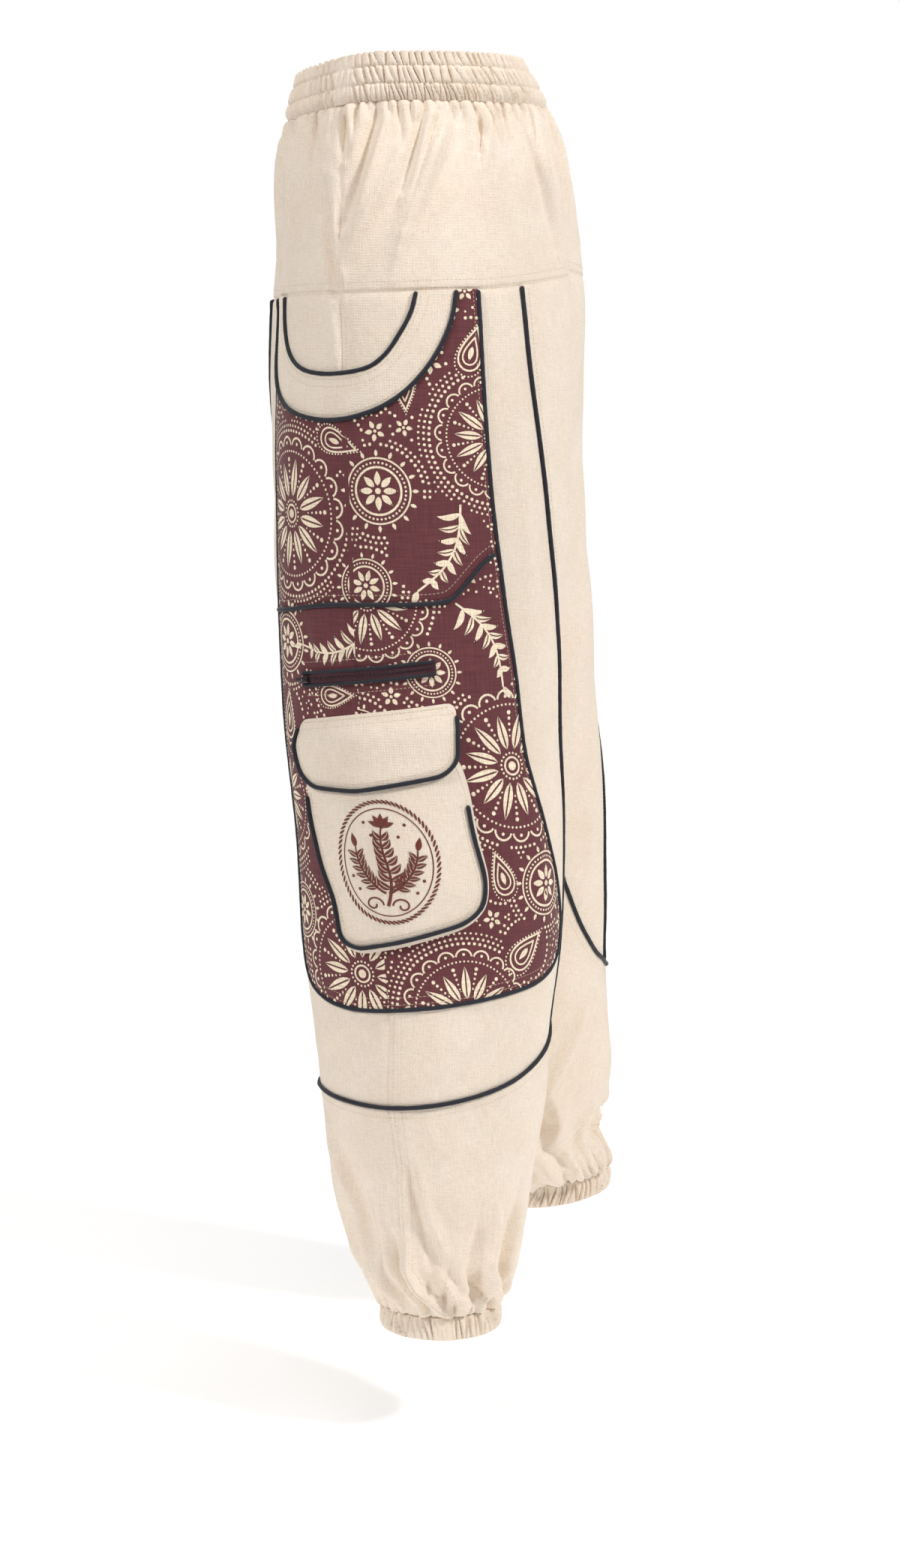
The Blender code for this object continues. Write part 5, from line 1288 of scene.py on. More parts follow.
def paint(tree, shader, grain, colour, stops, values, relief=None, veils=()):
    """Give a shader the tones of a colour that a grain picks, with veils of another pattern's
    colours multiplied over them, its plain values, and its relief: height, strength, depth."""
    first, second, mixed = MIX_COLOURS
    tones = [(position, tone(colour, factor)) for position, factor in stops]
    made = add_node(tree, "ValToRGB", {"Fac": grain}, tones)[0]
    for share, veil, ends in veils:
        ends = [(position, linear(shade)) for position, shade in ends]
        over = add_node(tree, "ValToRGB", {"Fac": veil}, ends)[0]
        made = add_node(
            tree, "Mix", {"Factor": share, first: made, second: over}, data_type="RGBA",
            blend_type="MULTIPLY",
        )[mixed]
    tree.links.new(made, shader.inputs["Base Color"])
    if relief:
        bump = add_node(tree, "Bump", dict(zip(("Height", "Strength", "Distance"), relief)))[0]
        tree.links.new(bump, shader.inputs["Normal"])
    for name, value in values.items():
        shader.inputs[name].default_value = value


def linen_finish(tree, shader):
    """Washed cotton and linen in its own colour, loosely woven from slubbed yarn: it reads as
    a matt cream heathered with short level and upright streaks and a few darker flecks."""
    cut = add_node(tree, "UVMap", uv_map="cut")["UV"]
    weft = stretched(tree, cut, 9.0, 1.0, 3.0, 0.65)
    warp = stretched(tree, cut, 1.0, 13.0, 3.0, 0.65)
    streaks = layered(tree, (weft, 0.5), (warp, 0.5))
    flecks = stretched(tree, cut, 1.5, 0.8, 1.0)
    mottle = stretched(tree, cut, 38.0, 46.0)
    # The yarns lie 0.5 mm apart, drawn 1.0 mm apart so that they show
    weave = weave_height(tree, cut, 1.0, 1.6)
    crinkle = stretched(tree, cut, 11.0, 15.0, 3.0)
    height = layered(tree, (weave, 1.0), (streaks, 1.6), (crinkle, 5.0))
    paint(
        tree, shader, streaks, colours().linen,
        ((0.30, 0.90), (0.46, 0.98), (0.54, 1.02), (0.70, 1.08)),
        {
            "Roughness": 0.92, "Sheen Weight": 0.18, "Sheen Roughness": 0.6,
            "Specular IOR Level": 0.2,
        },
        (height, 0.5, 0.0003),
        (
            (0.5, flecks, ((0.24, "#D8C6B0"), (0.36, "#FFFFFF"))),
            (0.3, mottle, ((0.35, "#F6F0E8"), (0.65, "#FFFFFF"))),
        ),
    )


def printed_finish(tree, shader, dye):
    """Fine plain-woven cotton dyed through one print colour: flat and matt, with faint streaks
    where the thread takes the dye unevenly."""
    cut = add_node(tree, "UVMap", uv_map="cut")["UV"]
    weft, warp = stretched(tree, cut, 26.0, 0.9), stretched(tree, cut, 0.9, 26.0)
    streaks = layered(tree, (weft, 0.5), (warp, 0.5))
    # The threads lie 0.35 mm apart, drawn 0.8 mm apart so that they show
    weave = weave_height(tree, cut, 0.8, 1.0)
    crinkle = stretched(tree, cut, 15.0, 19.0, 3.0)
    height = layered(tree, (weave, 1.0), (streaks, 1.0), (crinkle, 4.0))
    paint(
        tree, shader, streaks, dye, ((0.38, 0.80), (0.50, 1.0), (0.64, 1.22)),
        {"Roughness": 0.88, "Sheen Weight": 0.12, "Specular IOR Level": 0.25},
        (height, 0.4, 0.0003),
    )


def plum_cotton_finish(tree, shader):
    """Plum ground of the printed cotton."""
    printed_finish(tree, shader, colours().plum)


def cream_ink_finish(tree, shader):
    """Undyed cream figures of the printed cotton, the colour of the cloth before dyeing."""
    printed_finish(tree, shader, colours().cream)


def twill_finish(tree, shader):
    """Navy cotton twill folded over a cord: nearly black, with a fine slanting rib."""
    cut = add_node(tree, "UVMap", uv_map="cut")["UV"]
    turned = add_node(tree, "Mapping", {"Vector": cut, "Rotation": (0.0, 0.0, radians(58))})[0]
    # The twill line is 0.6 mm apart, drawn 1.1 mm apart so that it shows
    ribs = {"Vector": turned, "Scale": RIB_SCALE / 1.1}
    rib = add_node(tree, "TexWave", ribs, bands_direction="X")["Fac"]
    paint(
        tree, shader, stretched(tree, cut, 0.8, 2.4), colours().piping,
        ((0.35, 0.6), (0.6, 1.0), (0.8, 2.0)),
        {"Roughness": 0.8, "Sheen Weight": 0.1}, (rib, 0.5, 0.0002),
    )


def thread_look(tree, shader, strand, change, per_metre, roughness):
    """Spun thread: a soft satin strand whose colour breaks up where its plies turn over."""
    grain = grained(tree, per_metre, 1.0)
    paint(
        tree, shader, grain, strand, ((0.35, 1 - change), (0.65, 1 + change)),
        {"Roughness": roughness, "Sheen Weight": 0.2}, (grain, 0.4, 0.0001),
    )


def sewing_thread_finish(tree, shader):
    """Cream polyester sewing thread of the topstitching, its plies 1.2 mm apart."""
    thread_look(tree, shader, colours().thread, 0.12, 1000 / 1.2, 0.62)


def embroidery_thread_finish(tree, shader):
    """Brown-red rayon embroidery thread, laid close in satin stitch, with a low gloss."""
    thread_look(tree, shader, colours().embroidery, 0.32, 1000, 0.45)


def zip_tape_finish(tree, shader):
    """Plum polyester zip tape, closely woven: flat, matt and darker than the print."""
    cut = add_node(tree, "UVMap", uv_map="cut")["UV"]
    paint(
        tree, shader, stretched(tree, cut, 0.7, 2.0), colours().tape,
        ((0.35, 0.7), (0.65, 1.3)), {"Roughness": 0.8},
        (weave_height(tree, cut, 0.7, 0.3), 0.4, 0.0002),
    )


def nylon_finish(tree, shader):
    """Moulded nylon zip coil: dark plum with a small soft gloss on each turn."""
    paint(
        tree, shader, grained(tree, 700), colours().tape, ((0.35, 0.5), (0.65, 1.0)),
        {"Roughness": 0.38},
    )


def enamel_finish(tree, shader):
    """Die-cast zinc slider under baked dark enamel: smooth, with worn brighter spots."""
    paint(
        tree, shader, grained(tree, 900, 3.0), colours().slider, ((0.55, 1.0), (0.75, 5.0)),
        {"Roughness": 0.32, "Coat Weight": 0.3},
    )


def floor_finish(tree, shader):
    """White opal acrylic sheet lit from below, so that it stays pale under the garment."""
    paint(
        tree, shader, grained(tree, 3), linear("#FFFFFF"), ((0.3, 0.965), (0.7, 0.982)),
        {
            "Roughness": 0.95, "Emission Color": linear("#FFFFFF"), "Emission Strength": 0.2,
        },
    )


FINISHES = {
    "washed cotton linen": linen_finish,
    "plum printed cotton": plum_cotton_finish,
    "cream figures of the printed cotton": cream_ink_finish,
    "navy twill piping": twill_finish,
    "cream sewing thread": sewing_thread_finish,
    "brown embroidery thread": embroidery_thread_finish,
    "woven zip tape": zip_tape_finish,
    "nylon zip coil": nylon_finish,
    "dark enamel": enamel_finish,
    "opal acrylic": floor_finish,
}
LINEN, PRINT = "washed cotton linen", "plum printed cotton"


def material(name):
    """The finish of that name, made the first time it is asked for."""
    found = bpy.data.materials.get(name)
    if found is None:
        found = bpy.data.materials.new(name)
        found.use_nodes = True
        FINISHES[name](found.node_tree, found.node_tree.nodes["Principled BSDF"])
    return found


# ---------------------------------------------------------------- panels and pockets
def build_panels(leg):
    """The five panels of one leg, between the yoke and the cuff."""
    behind_side, behind_seat = leg.pattern.behind("side"), leg.pattern.behind("seat")
    lower = leg.pattern.below("lower")
    rolled = ("yoke", "side", "lower", "seat", "cuff")
    for name, mask, held, above in (
        ("front_panel", ~behind_side & ~lower, "hung", "yoke_front"),
        ("back_panel", behind_side & ~behind_seat & ~lower, "hung", "yoke_back"),
        ("seat_panel", behind_seat & ~lower, "hung", "yoke_back"),
        ("lower_front", ~behind_side & lower, "gathered", f"{leg.side}_front_panel"),
        ("lower_back", behind_side & lower, "gathered", f"{leg.side}_back_panel"),
    ):
        leg.sew(name, mask, LINEN, rolled, held, above)


def build_side_panel(leg):
    """The print in its two halves, the patch pocket and its band, laid on the panels."""
    pattern = leg.pattern
    behind_side, low = pattern.behind("side"), pattern.below("pocket")
    printed, band = pattern.inside("print"), pattern.inside("band")
    for name, mask, finish, rolled, under, strip in (
        ("print_front", printed & low & ~behind_side, PRINT, ("print", "pocket", "side"),
         "front_panel", None),
        ("print_back", printed & low & behind_side, PRINT, ("print", "pocket", "side"),
         "back_panel", None),
        ("upper_pocket", printed & ~low & ~band, PRINT, ("print", "pocket", "band"),
         "front_panel", None),
        ("pocket_band", band & ~pattern.inside("mouth"), LINEN, ("band", "mouth"),
         "upper_pocket", BAND_WIDTH),
    ):
        leg.sew(name, mask, finish, rolled, "laid", f"{leg.side}_{under}", PRINT_LIFT, strip)


def crown(leg, flat):
    """How far the filled pocket's face stands out, from nothing at its rim."""
    depth = distance_to_line(flat, leg.pattern.lines["cargo"])
    return BAG_CROWN * np.sin(np.clip(depth / BAG_REACH, 0, 1) * pi / 2) ** 1.3


def open_run(ring, chosen):
    """The chosen points of a closed ring, from the first of their run to the last."""
    start = int(np.argmax(chosen & ~np.roll(chosen, 1)))
    return np.roll(ring, -start, axis=0)[:int(chosen.sum())]


def build_cargo_pocket(leg):
    """The bellows pocket: a filled face held off the leg by a folded gusset."""
    pattern, node = leg.pattern, f"{leg.side}_cargo_pocket"
    face, normals, faces, indices = leg.chosen(pattern.inside("cargo"), ("cargo",), *RIM_ROLL)
    inner = face + normals * (BAG_LIFT + crown(leg, pattern.points[indices]))[:, None]
    uv = leg.uv[indices]
    piece = dress(f"{node}_face", node, LINEN, inner + normals * PATCH, inner, faces, uv)
    declare_cut(piece, uv, faces, "hung", f"{leg.side}_print_front")

    rim = resample(pattern.lines["cargo"], RIM_STEP)[:-1]
    top = np.interp(rim[:, 0], *pattern.flat(CARGO_OUTLINE[:3]).T)
    ring = open_run(rim, rim[:, 1] > top + MOUTH_ROOM)[::-1]
    walls = np.array([
        leg.on_cloth(pattern.shifted(ring, spread) if spread else ring, lift)
        for spread, lift in GUSSET_ROWS
    ])
    rows, columns = walls.shape[:2]
    facing = np.cross(np.gradient(walls, axis=1), np.gradient(walls, axis=0))
    facing /= np.maximum(np.linalg.norm(facing, axis=2, keepdims=True), 1e-12)
    facing *= np.sign((facing * (walls - face.mean(axis=0))).sum(axis=2).mean() or 1.0)
    length = line_length(walls[0])[-1]
    walls, facing = walls.reshape(-1, 3), facing.reshape(-1, 3)
    quads = turned_out(walls, facing, grid_faces(rows, columns, False))
    across, along = (np.linspace(0, size, n) for size, n in zip(GUSSET_CUT, (rows, columns)))
    uv = np.column_stack([np.tile(along, rows), np.repeat(across, columns)])
    thin = walls - facing * PATCH * GUSSET_CLOTH
    gusset = dress(f"{leg.side}_cargo_gusset", node, LINEN, walls, thin, quads, uv)
    area = sheet_area(walls, quads)
    declare_sheet(
        gusset, length, max(area / length, GUSSET_WIDTH), area, "folded",
        rests_on=[f"{leg.side}_print_front_cloth"],
    )


def flap_drop(leg, flat):
    """How far points lie below the flap's sewn top edge."""
    return flat[:, 1] - np.interp(flat[:, 0], *leg.pattern.flat(FLAP_OUTLINE[:FLAP_TOP]).T)


def flap_lift(leg, flat):
    """Height of the flap: sewn to the print at its top, over the pocket's face below."""
    share = np.clip(flap_drop(leg, flat) / FLAP_HINGE, 0, 1)
    share = share * share * (3 - 2 * share)
    over = np.where(leg.pattern.inside("cargo", flat), crown(leg, flat), 0.0)
    return ON_PRINT + (FLAP_LIFT - ON_PRINT) * share + over


def hanging_edge(leg):
    """The flap's free edge, from one end of its sewn top to the other."""
    flap = leg.pattern.lines["flap"][:-1]
    return open_run(flap, flap_drop(leg, flap) > PIPING_ROOM)


def build_flap(leg):
    """The pocket flap, hinged on its seam and lying over the pocket's mouth."""
    leg.sew(
        "cargo_flap", leg.pattern.inside("flap"), LINEN, ("flap",), "hung",
        f"{leg.side}_print_front", lambda flat: flap_lift(leg, flat),
    )


def build_piping(leg):
    """The corded piping in the seams, round the side panel and on the pockets."""
    lines = leg.pattern.lines
    cargo = lines["cargo"][lines["cargo"][:, 1] > CARGO_PIPING_TOP]
    # Each: its name, line, height over the leg's cloth, and how far its two ends stop short
    for name, line, lift, trim in (
        ("seat_piping", lines["seat"], 0, (0.001, 0.004)),
        ("lower_piping", lines["lower"], 0, (0.001, CROTCH_ROOM)),
        ("print_piping", lines["print"], 0, (0.001, 0.001)),
        ("mouth_piping", lines["mouth"], 0, (0.001, 0.001)),
        ("band_piping", lines["band"], PRINT_LIFT + PATCH, (0.001, 0.001)),
        ("pocket_piping", lines["pocket"], PRINT_LIFT + PATCH, (0.004, 0.004)),
        ("cargo_piping", cargo, BAG_LIFT + PATCH, (0.003, 0.003)),
        ("flap_piping", hanging_edge(leg), lambda at: flap_lift(leg, at) + PATCH, (0.003, 0.003)),
    ):
        leg.cord(name, line, lift, trim)


# ---------------------------------------------------------------- gathered bands and yoke
def grid_faces(rows, columns, closed=True):
    """Faces of a grid of points given in rows, closed on itself or open."""
    index = np.arange(rows * columns).reshape(rows, columns)
    if closed:
        index = np.column_stack([index, index[:, :1]])
    corners = (index[:-1, :-1], index[:-1, 1:], index[1:, 1:], index[1:, :-1])
    return np.stack(corners, axis=-1).reshape(-1, 4)


def scatter_folds(length, casing, chance):
    """Narrow folds of a gathered casing: place, depth, half-width and slant of each."""
    _, _, _, depth, rooms = casing
    places = [0.0]
    while places[-1] < length - rooms[0]:
        places.append(places[-1] + chance.uniform(*rooms))
    count = len(places)
    return (
        np.array(places),
        depth * (FOLD_LEAST + (1 - FOLD_LEAST) * chance.random(count)),
        chance.uniform(*FOLD_WIDTHS, count),
        FOLD_SLANT + chance.uniform(-FOLD_SLANT, FOLD_SLANT, count) * 1.6,
    )


def band_rows(casings):
    """Shares down a band at which its rows of points lie, closer at each line of stitches."""
    share = (1 - np.cos(pi * np.linspace(0, 1, BAND_STEPS))) / 2
    rows = [casing[0] + (casing[1] - casing[0]) * share for casing in casings]
    return sorted(set(np.round(np.concatenate(rows), 6)))


def gathered_band(half, fractions, top, foot, casings, proud, seed):
    """Outer points, normals and cut coordinates of a band gathered in stitched casings; its
    sewn edge is the foot of a band with an open top, or else the top."""
    chance = np.random.default_rng(seed)
    girth = float(half.girth((top + foot) / 2))
    folds = [scatter_folds(girth, casing, chance) for casing in casings]
    along = fractions * girth
    open_top = len(casings) > 1
    stitched = [casing[1] for casing in casings] + ([] if open_top else [0.0])
    ripple = PUCKER[1] * np.cos(2 * pi * along / PUCKER[0] + PUCKER[2] * np.sin(along * PUCKER[3]))
    rows = []
    for share in band_rows(casings):
        down = top + share * (foot - top)
        base, up = half.place(fractions, down)
        height = np.full(len(fractions), 1.0)
        for order, (start, end, bulge, _, _) in enumerate(casings):
            inside = (share - start) / (end - start)
            if not -1e-9 <= inside <= 1 + 1e-9:
                continue
            inside = min(max(inside, 0.0), 1.0)
            swell = cos(pi / 2 * inside) if open_top and order == 0 else sin(pi * inside)
            swell = max(swell, 0.0) ** 0.4
            places, depths, widths, slants = folds[order]
            shift = (inside - 0.5) * (end - start) * (foot - top) * slants
            gap = (along[:, None] - places - shift + girth / 2) % girth - girth / 2
            dips = (depths * np.exp(-np.abs(gap / widths) ** FOLD_SHAPE)).max(axis=1)
            height = np.minimum(height, bulge * swell - dips * (PINCHED + (1 - PINCHED) * swell))
        for row in stitched:
            sunk = exp(-(((share - row) * (foot - top) / STITCH_SINK[1]) ** 2))
            height -= sunk * (STITCH_SINK[0] + ripple)
        around = half.around(fractions, down)
        plain = np.clip((np.abs(around) - BAND_PLAIN[0]) / BAND_PLAIN[1], 0, 1)
        from_sewn = ((1 - share) if open_top else share) * (foot - top)
        low, reach = SEWN_EDGE
        stand = proud * (low + (1 - low) * min(from_sewn / reach, 1.0))
        deep = BAND_PLAIN[2] + (1 - BAND_PLAIN[2]) * plain
        height = stand + np.where(height < 0, height * deep, height)
        flat = np.column_stack([around * GATHER_FULLNESS, np.full(len(fractions), down)])
        rows.append((base + up * height[:, None], up, flat))
    return [np.array(column) for column in zip(*rows)]


def build_facing(node, halves, root):
    """The folded-in allowance behind a gathered band's seam, a plain ring inside the garment."""
    whole = len(halves) == 1
    share = np.linspace(0, 1, FACING_COLUMNS, endpoint=False)
    share = share if whole else share + 0.5 / FACING_COLUMNS
    rings = []
    for half in halves:
        rows = []
        for drop, lift in FACING_ROWS:
            down = root + (drop if whole else -drop)
            points, normals = half.place(share, down)
            rows.append((points + normals * lift, normals, half.around(share, down)))
        rings.append([np.array(column) for column in zip(*rows)])
    outer, normals, around = rings[0] if whole else joined(*rings)
    downs = np.repeat([drop for drop, _ in FACING_ROWS], outer.shape[1])
    points, ups = outer.reshape(-1, 3), normals.reshape(-1, 3)
    faces = turned_out(points, ups, grid_faces(*outer.shape[:2]))
    uv = np.column_stack([around.ravel(), downs])
    return dress(f"{node}_facing", node, LINEN, points, points - ups * PATCH, faces, uv)


def joined(near, far):
    """Rows of points of both halves as whole rings."""
    return [np.concatenate([one, two[:, ::-1]], axis=1) for one, two in zip(near, far)]


def ring_piece(node, outer, normals, uv, flat, facing):
    """A gathered ring of cloth from rows of points."""
    points, ups = outer.reshape(-1, 3), normals.reshape(-1, 3)
    faces = turned_out(points, ups, grid_faces(*outer.shape[:2]))
    inner = points - ups * sizes().cloth
    piece = dress(f"{node}_cloth", node, LINEN, points, inner, faces, uv.reshape(-1, 2))
    declare_sheet(piece, *flat, sheet_area(points, faces), "gathered", with_pieces=[facing])


def build_waistband(left, right):
    """The waistband: a gathered top ruffle over two gathered elastic casings, in one ring."""
    share = (np.arange(BAND_HALF_COLUMNS) + 0.5) / BAND_HALF_COLUMNS
    bands = [
        gathered_band(side.half, share, 0.0, BAND_BOTTOM, BAND_CASINGS, BAND_PROUD, seed)
        for side, seed in ((left, 11), (right, 12))
    ]
    facing = build_facing("waistband", (left.half, right.half), BAND_BOTTOM)
    ring_piece("waistband", *joined(*bands), BAND_FLAT, facing)


def build_cuff(leg):
    """The gathered elastic cuff of one leg."""
    share = np.arange(CUFF_COLUMNS) / CUFF_COLUMNS
    top, foot = CUFF[leg.side]
    seed = leg.half.seed + 20
    band = gathered_band(leg.half, share, top + 0.0002, foot, CUFF_CASINGS, CUFF_PROUD, seed)
    node = f"{leg.side}_cuff"
    ring_piece(node, *band, CUFF_FLAT, build_facing(node, (leg.half,), top))


def yoke_half(leg, name, share):
    """Points, normals and cut coordinates of one side of the yoke, from its centre line."""
    half, lines, width = leg.half, leg.pattern.lines, leg.pattern.width
    centre, count = (0.0 if name == "front" else 1.0), YOKE_COLUMNS[name] + 1
    edge = lines["yoke"] / (width, 1)
    low = np.linspace(centre, lines["side"][0, 0] / width, count)
    high = np.linspace(centre, half.side_seam(BAND_BOTTOM), count)
    around = high * (1 - share) + low * share
    down = BAND_BOTTOM + share * (np.interp(low, edge[:, 0], edge[:, 1]) - BAND_BOTTOM)
    foot = np.exp(-(((1 - share) * YOKE_LENGTH / EDGE_REACH) ** 2)) * np.ones_like(around)
    side = np.exp(-((half.around(around, down) / EDGE_REACH) ** 2))
    roll = np.maximum(SEAM_DROPS["yoke"] * foot, SEAM_DROPS["side"] * side)
    points, normals = half.lifted(around, down, -roll)
    return points, normals, np.dstack([half.around(around, down) * half.mirror, down])


def build_yoke(left, right):
    """The hip yoke: a front and a back, gathered into the band and joined at the sides."""
    even = np.linspace(0, 1, YOKE_ROWS + 1)[:, None]
    share = (even + (1 - np.cos(pi * even)) / 2) / 2
    for name in ("front", "back"):
        (near, near_ups, near_flat), (far, far_ups, far_flat) = (
            yoke_half(leg, name, share) for leg in (left, right)
        )
        centre_ups = near_ups[:, :1] + far_ups[:, :1]
        centre_ups /= np.linalg.norm(centre_ups, axis=2, keepdims=True)
        points = [far[:, :0:-1], (near[:, :1] + far[:, :1]) / 2, near[:, 1:]]
        ups = [far_ups[:, :0:-1], centre_ups, near_ups[:, 1:]]
        shift = near_flat[:, :1] - far_flat[:, :1]
        shift[..., 1] = 0
        uv = np.concatenate([far_flat[:, :0:-1] + shift, near_flat], axis=1)
        points, ups = (np.concatenate(parts, axis=1).reshape(-1, 3) for parts in (points, ups))
        uv, open_grid = uv.reshape(-1, 2), grid_faces(*uv.shape[:2], False)
        faces = turned_out(points, ups, open_grid)
        inner = points - ups * sizes().cloth
        piece = dress(f"yoke_{name}_cloth", f"yoke_{name}", LINEN, points, inner, faces, uv)
        declare_sheet(
            piece, *np.ptp(uv, axis=0), sheet_area(points, faces), "gathered",
            rests_on=["waistband_cloth"],
        )


# ---------------------------------------------------------------- topstitching
def stitch_shapes(points, normals):
    """Corners and faces of a row of raised stitches along a path over the cloth."""
    length, width, height = sizes().stitch, sizes().thread, STITCH_HEIGHT
    total = line_length(points)
    start, end = STITCH_ROOM[0], total[-1] - length - STITCH_ROOM[1]
    firsts = np.arange(start, end, sizes().stitch_pitch)
    if not len(firsts):
        return np.zeros((0, 3)), []
    shares = np.array([0.0, *(share for share, _ in STITCH_RINGS), 1.0])
    spots = firsts[:, None] + shares * length
    place, up = (values_along(total, values, spots) for values in (points, normals))
    run = place[:, -1:] - place[:, :1]
    run = run / np.maximum(np.linalg.norm(run, axis=2, keepdims=True), 1e-9)
    side = np.cross(run, up)
    corners = [place[:, 0] - up[:, 0] * height * STITCH_DIP]
    for ring, (_, full) in enumerate(STITCH_RINGS, 1):
        for across, out in STITCH_CORNERS:
            corners.append(
                place[:, ring] + side[:, ring] * across * width / 2 * full
                + up[:, ring] * out * height * full
            )
    corners.append(place[:, 4] - up[:, 4] * height * STITCH_DIP)
    corners = np.stack(corners, axis=1)
    count = corners.shape[1]
    faces = []
    for turn in range(4):
        after = (turn + 1) % 4
        faces += [[0, 1 + turn, 1 + after], [13, 9 + after, 9 + turn]]
        for ring in (1, 5):
            faces.append([ring + turn, ring + 4 + turn, ring + 4 + after, ring + after])
    every = []
    for first in range(0, len(firsts) * count, count):
        every.extend([first + corner for corner in face] for face in faces)
    return corners.reshape(-1, 3), every


def stitch_piece(name, rows):
    """One piece of topstitching from several rows of points and normals."""
    points, faces = [], []
    for path, normals in rows:
        corners, made = stitch_shapes(path, normals)
        faces.extend([corner + len(points) for corner in face] for face in made)
        points.extend(corners)
    new_mesh(name, points, faces, [material("cream sewing thread")])


def beside(leg, line, shift):
    """A line of the pattern moved sideways, with points close enough to sew along."""
    coarse, fine = SEWING_STEPS
    return resample(leg.pattern.shifted(resample(line, coarse), shift), fine)


def panel_row(leg, line, shift, height, where):
    """Rows of stitching beside a line of the pattern, where it lies on what it is sewn to."""
    path = beside(leg, line, shift)
    path = path[(path[:, 0] > CENTRE_ROOM) & (path[:, 0] < leg.pattern.width - CENTRE_ROOM)]
    path = path[where(path)]
    if len(path) < ROW_LEAST:
        return []
    points, normals = leg.on_mesh(path, height)
    gaps = np.linalg.norm(np.diff(points, axis=0), axis=1)
    breaks = np.flatnonzero(gaps > STITCH_BREAK) + 1
    parts = zip(np.split(points, breaks), np.split(normals, breaks))
    return [part for part in parts if len(part[0]) >= ROW_LEAST]


def build_topstitching(leg):
    """Rows of stitching beside the seams of one leg."""
    pattern, lines = leg.pattern, leg.pattern.lines
    on_print = PRINT_LIFT + PATCH
    on_bag = BAG_LIFT + PATCH + crown(leg, pattern.points)
    on_flap = flap_lift(leg, pattern.points) + PATCH
    printed, on_band = pattern.test(("print",), ("band",)), pattern.test(("band",), ("mouth",))
    clear = pattern.test(("print",), ("band", "flap", "cargo"))
    free, on_flap_cloth = pattern.test((), ("print",)), pattern.test(("flap",))
    low, high = YOKE_EDGE[-1][1] + 0.004, lines["cuff"][0, 1] - 0.001

    def bare(flat):
        cloth = free(flat) | pattern.inside("mouth", flat)
        return cloth & (flat[:, 1] < high) & (flat[:, 1] > low)

    foot = lines["print"][lines["print"][:, 1] > PRINT_FOOT]
    cargo = lines["cargo"][lines["cargo"][:, 1] > CARGO_PIPING_TOP]
    flap_top, zip_edges = pattern.flat(FLAP_OUTLINE[:FLAP_TOP]), pattern.flat(ZIP_OUTLINE)
    # Each: its line, the rows' distances beside it, what they lie on, and where they show
    for name, table in (
        ("seam", (
            (lines["side"], (0.0037, 0.0100), 0.0, bare),
            (lines["seat"], (0.0080,), 0.0, bare),
            (lines["lower"], (-0.0085,), 0.0, free),
            (lines["print"], (-0.0042,), on_print, clear),
            (foot, (-0.0098,), on_print, clear),
            (lines["pocket"], (0.0072,), on_print, printed),
            (lines["mouth"], (-0.0045, -0.0100), on_print, on_band),
            (lines["band"], (0.0040,), on_print, on_band),
        )),
        ("pocket", (
            (flap_top, (-0.0026, -0.0078), on_flap, on_flap_cloth),
            (hanging_edge(leg), (-0.0050,), on_flap, on_flap_cloth),
            (cargo, (-0.0052,), on_bag, pattern.test(("cargo",), ("flap",))),
            (zip_edges[:2], (0.0080,), on_print, printed),
            (zip_edges[2:], (0.0080,), on_print, printed),
        )),
    ):
        rows = []
        for line, shifts, height, where in table:
            for shift in shifts:
                rows += panel_row(leg, line, shift, height, where)
        stitch_piece(f"{leg.side}_{name}_stitching", rows)


def build_yoke_stitching(left, right):
    """The rows of stitching just above the yoke seam, all the way round."""
    rows = []
    for leg in (left, right):
        side = leg.pattern.lines["side"][0, 0]
        for shift in YOKE_STITCHES:
            line = beside(leg, leg.pattern.lines["yoke"], shift)
            lift = -SEAM_DROPS["yoke"] * np.exp(-((shift / EDGE_REACH) ** 2))
            for part in (line[line[:, 0] < side], line[line[:, 0] > side]):
                rows.append(leg.half.lifted(part[:, 0] / leg.pattern.width, part[:, 1], lift))
    stitch_piece("yoke_stitching", rows)


# ---------------------------------------------------------------- flat figures
def towards(heading):
    """One unit in a direction of the plane."""
    return np.array([cos(heading), sin(heading)])


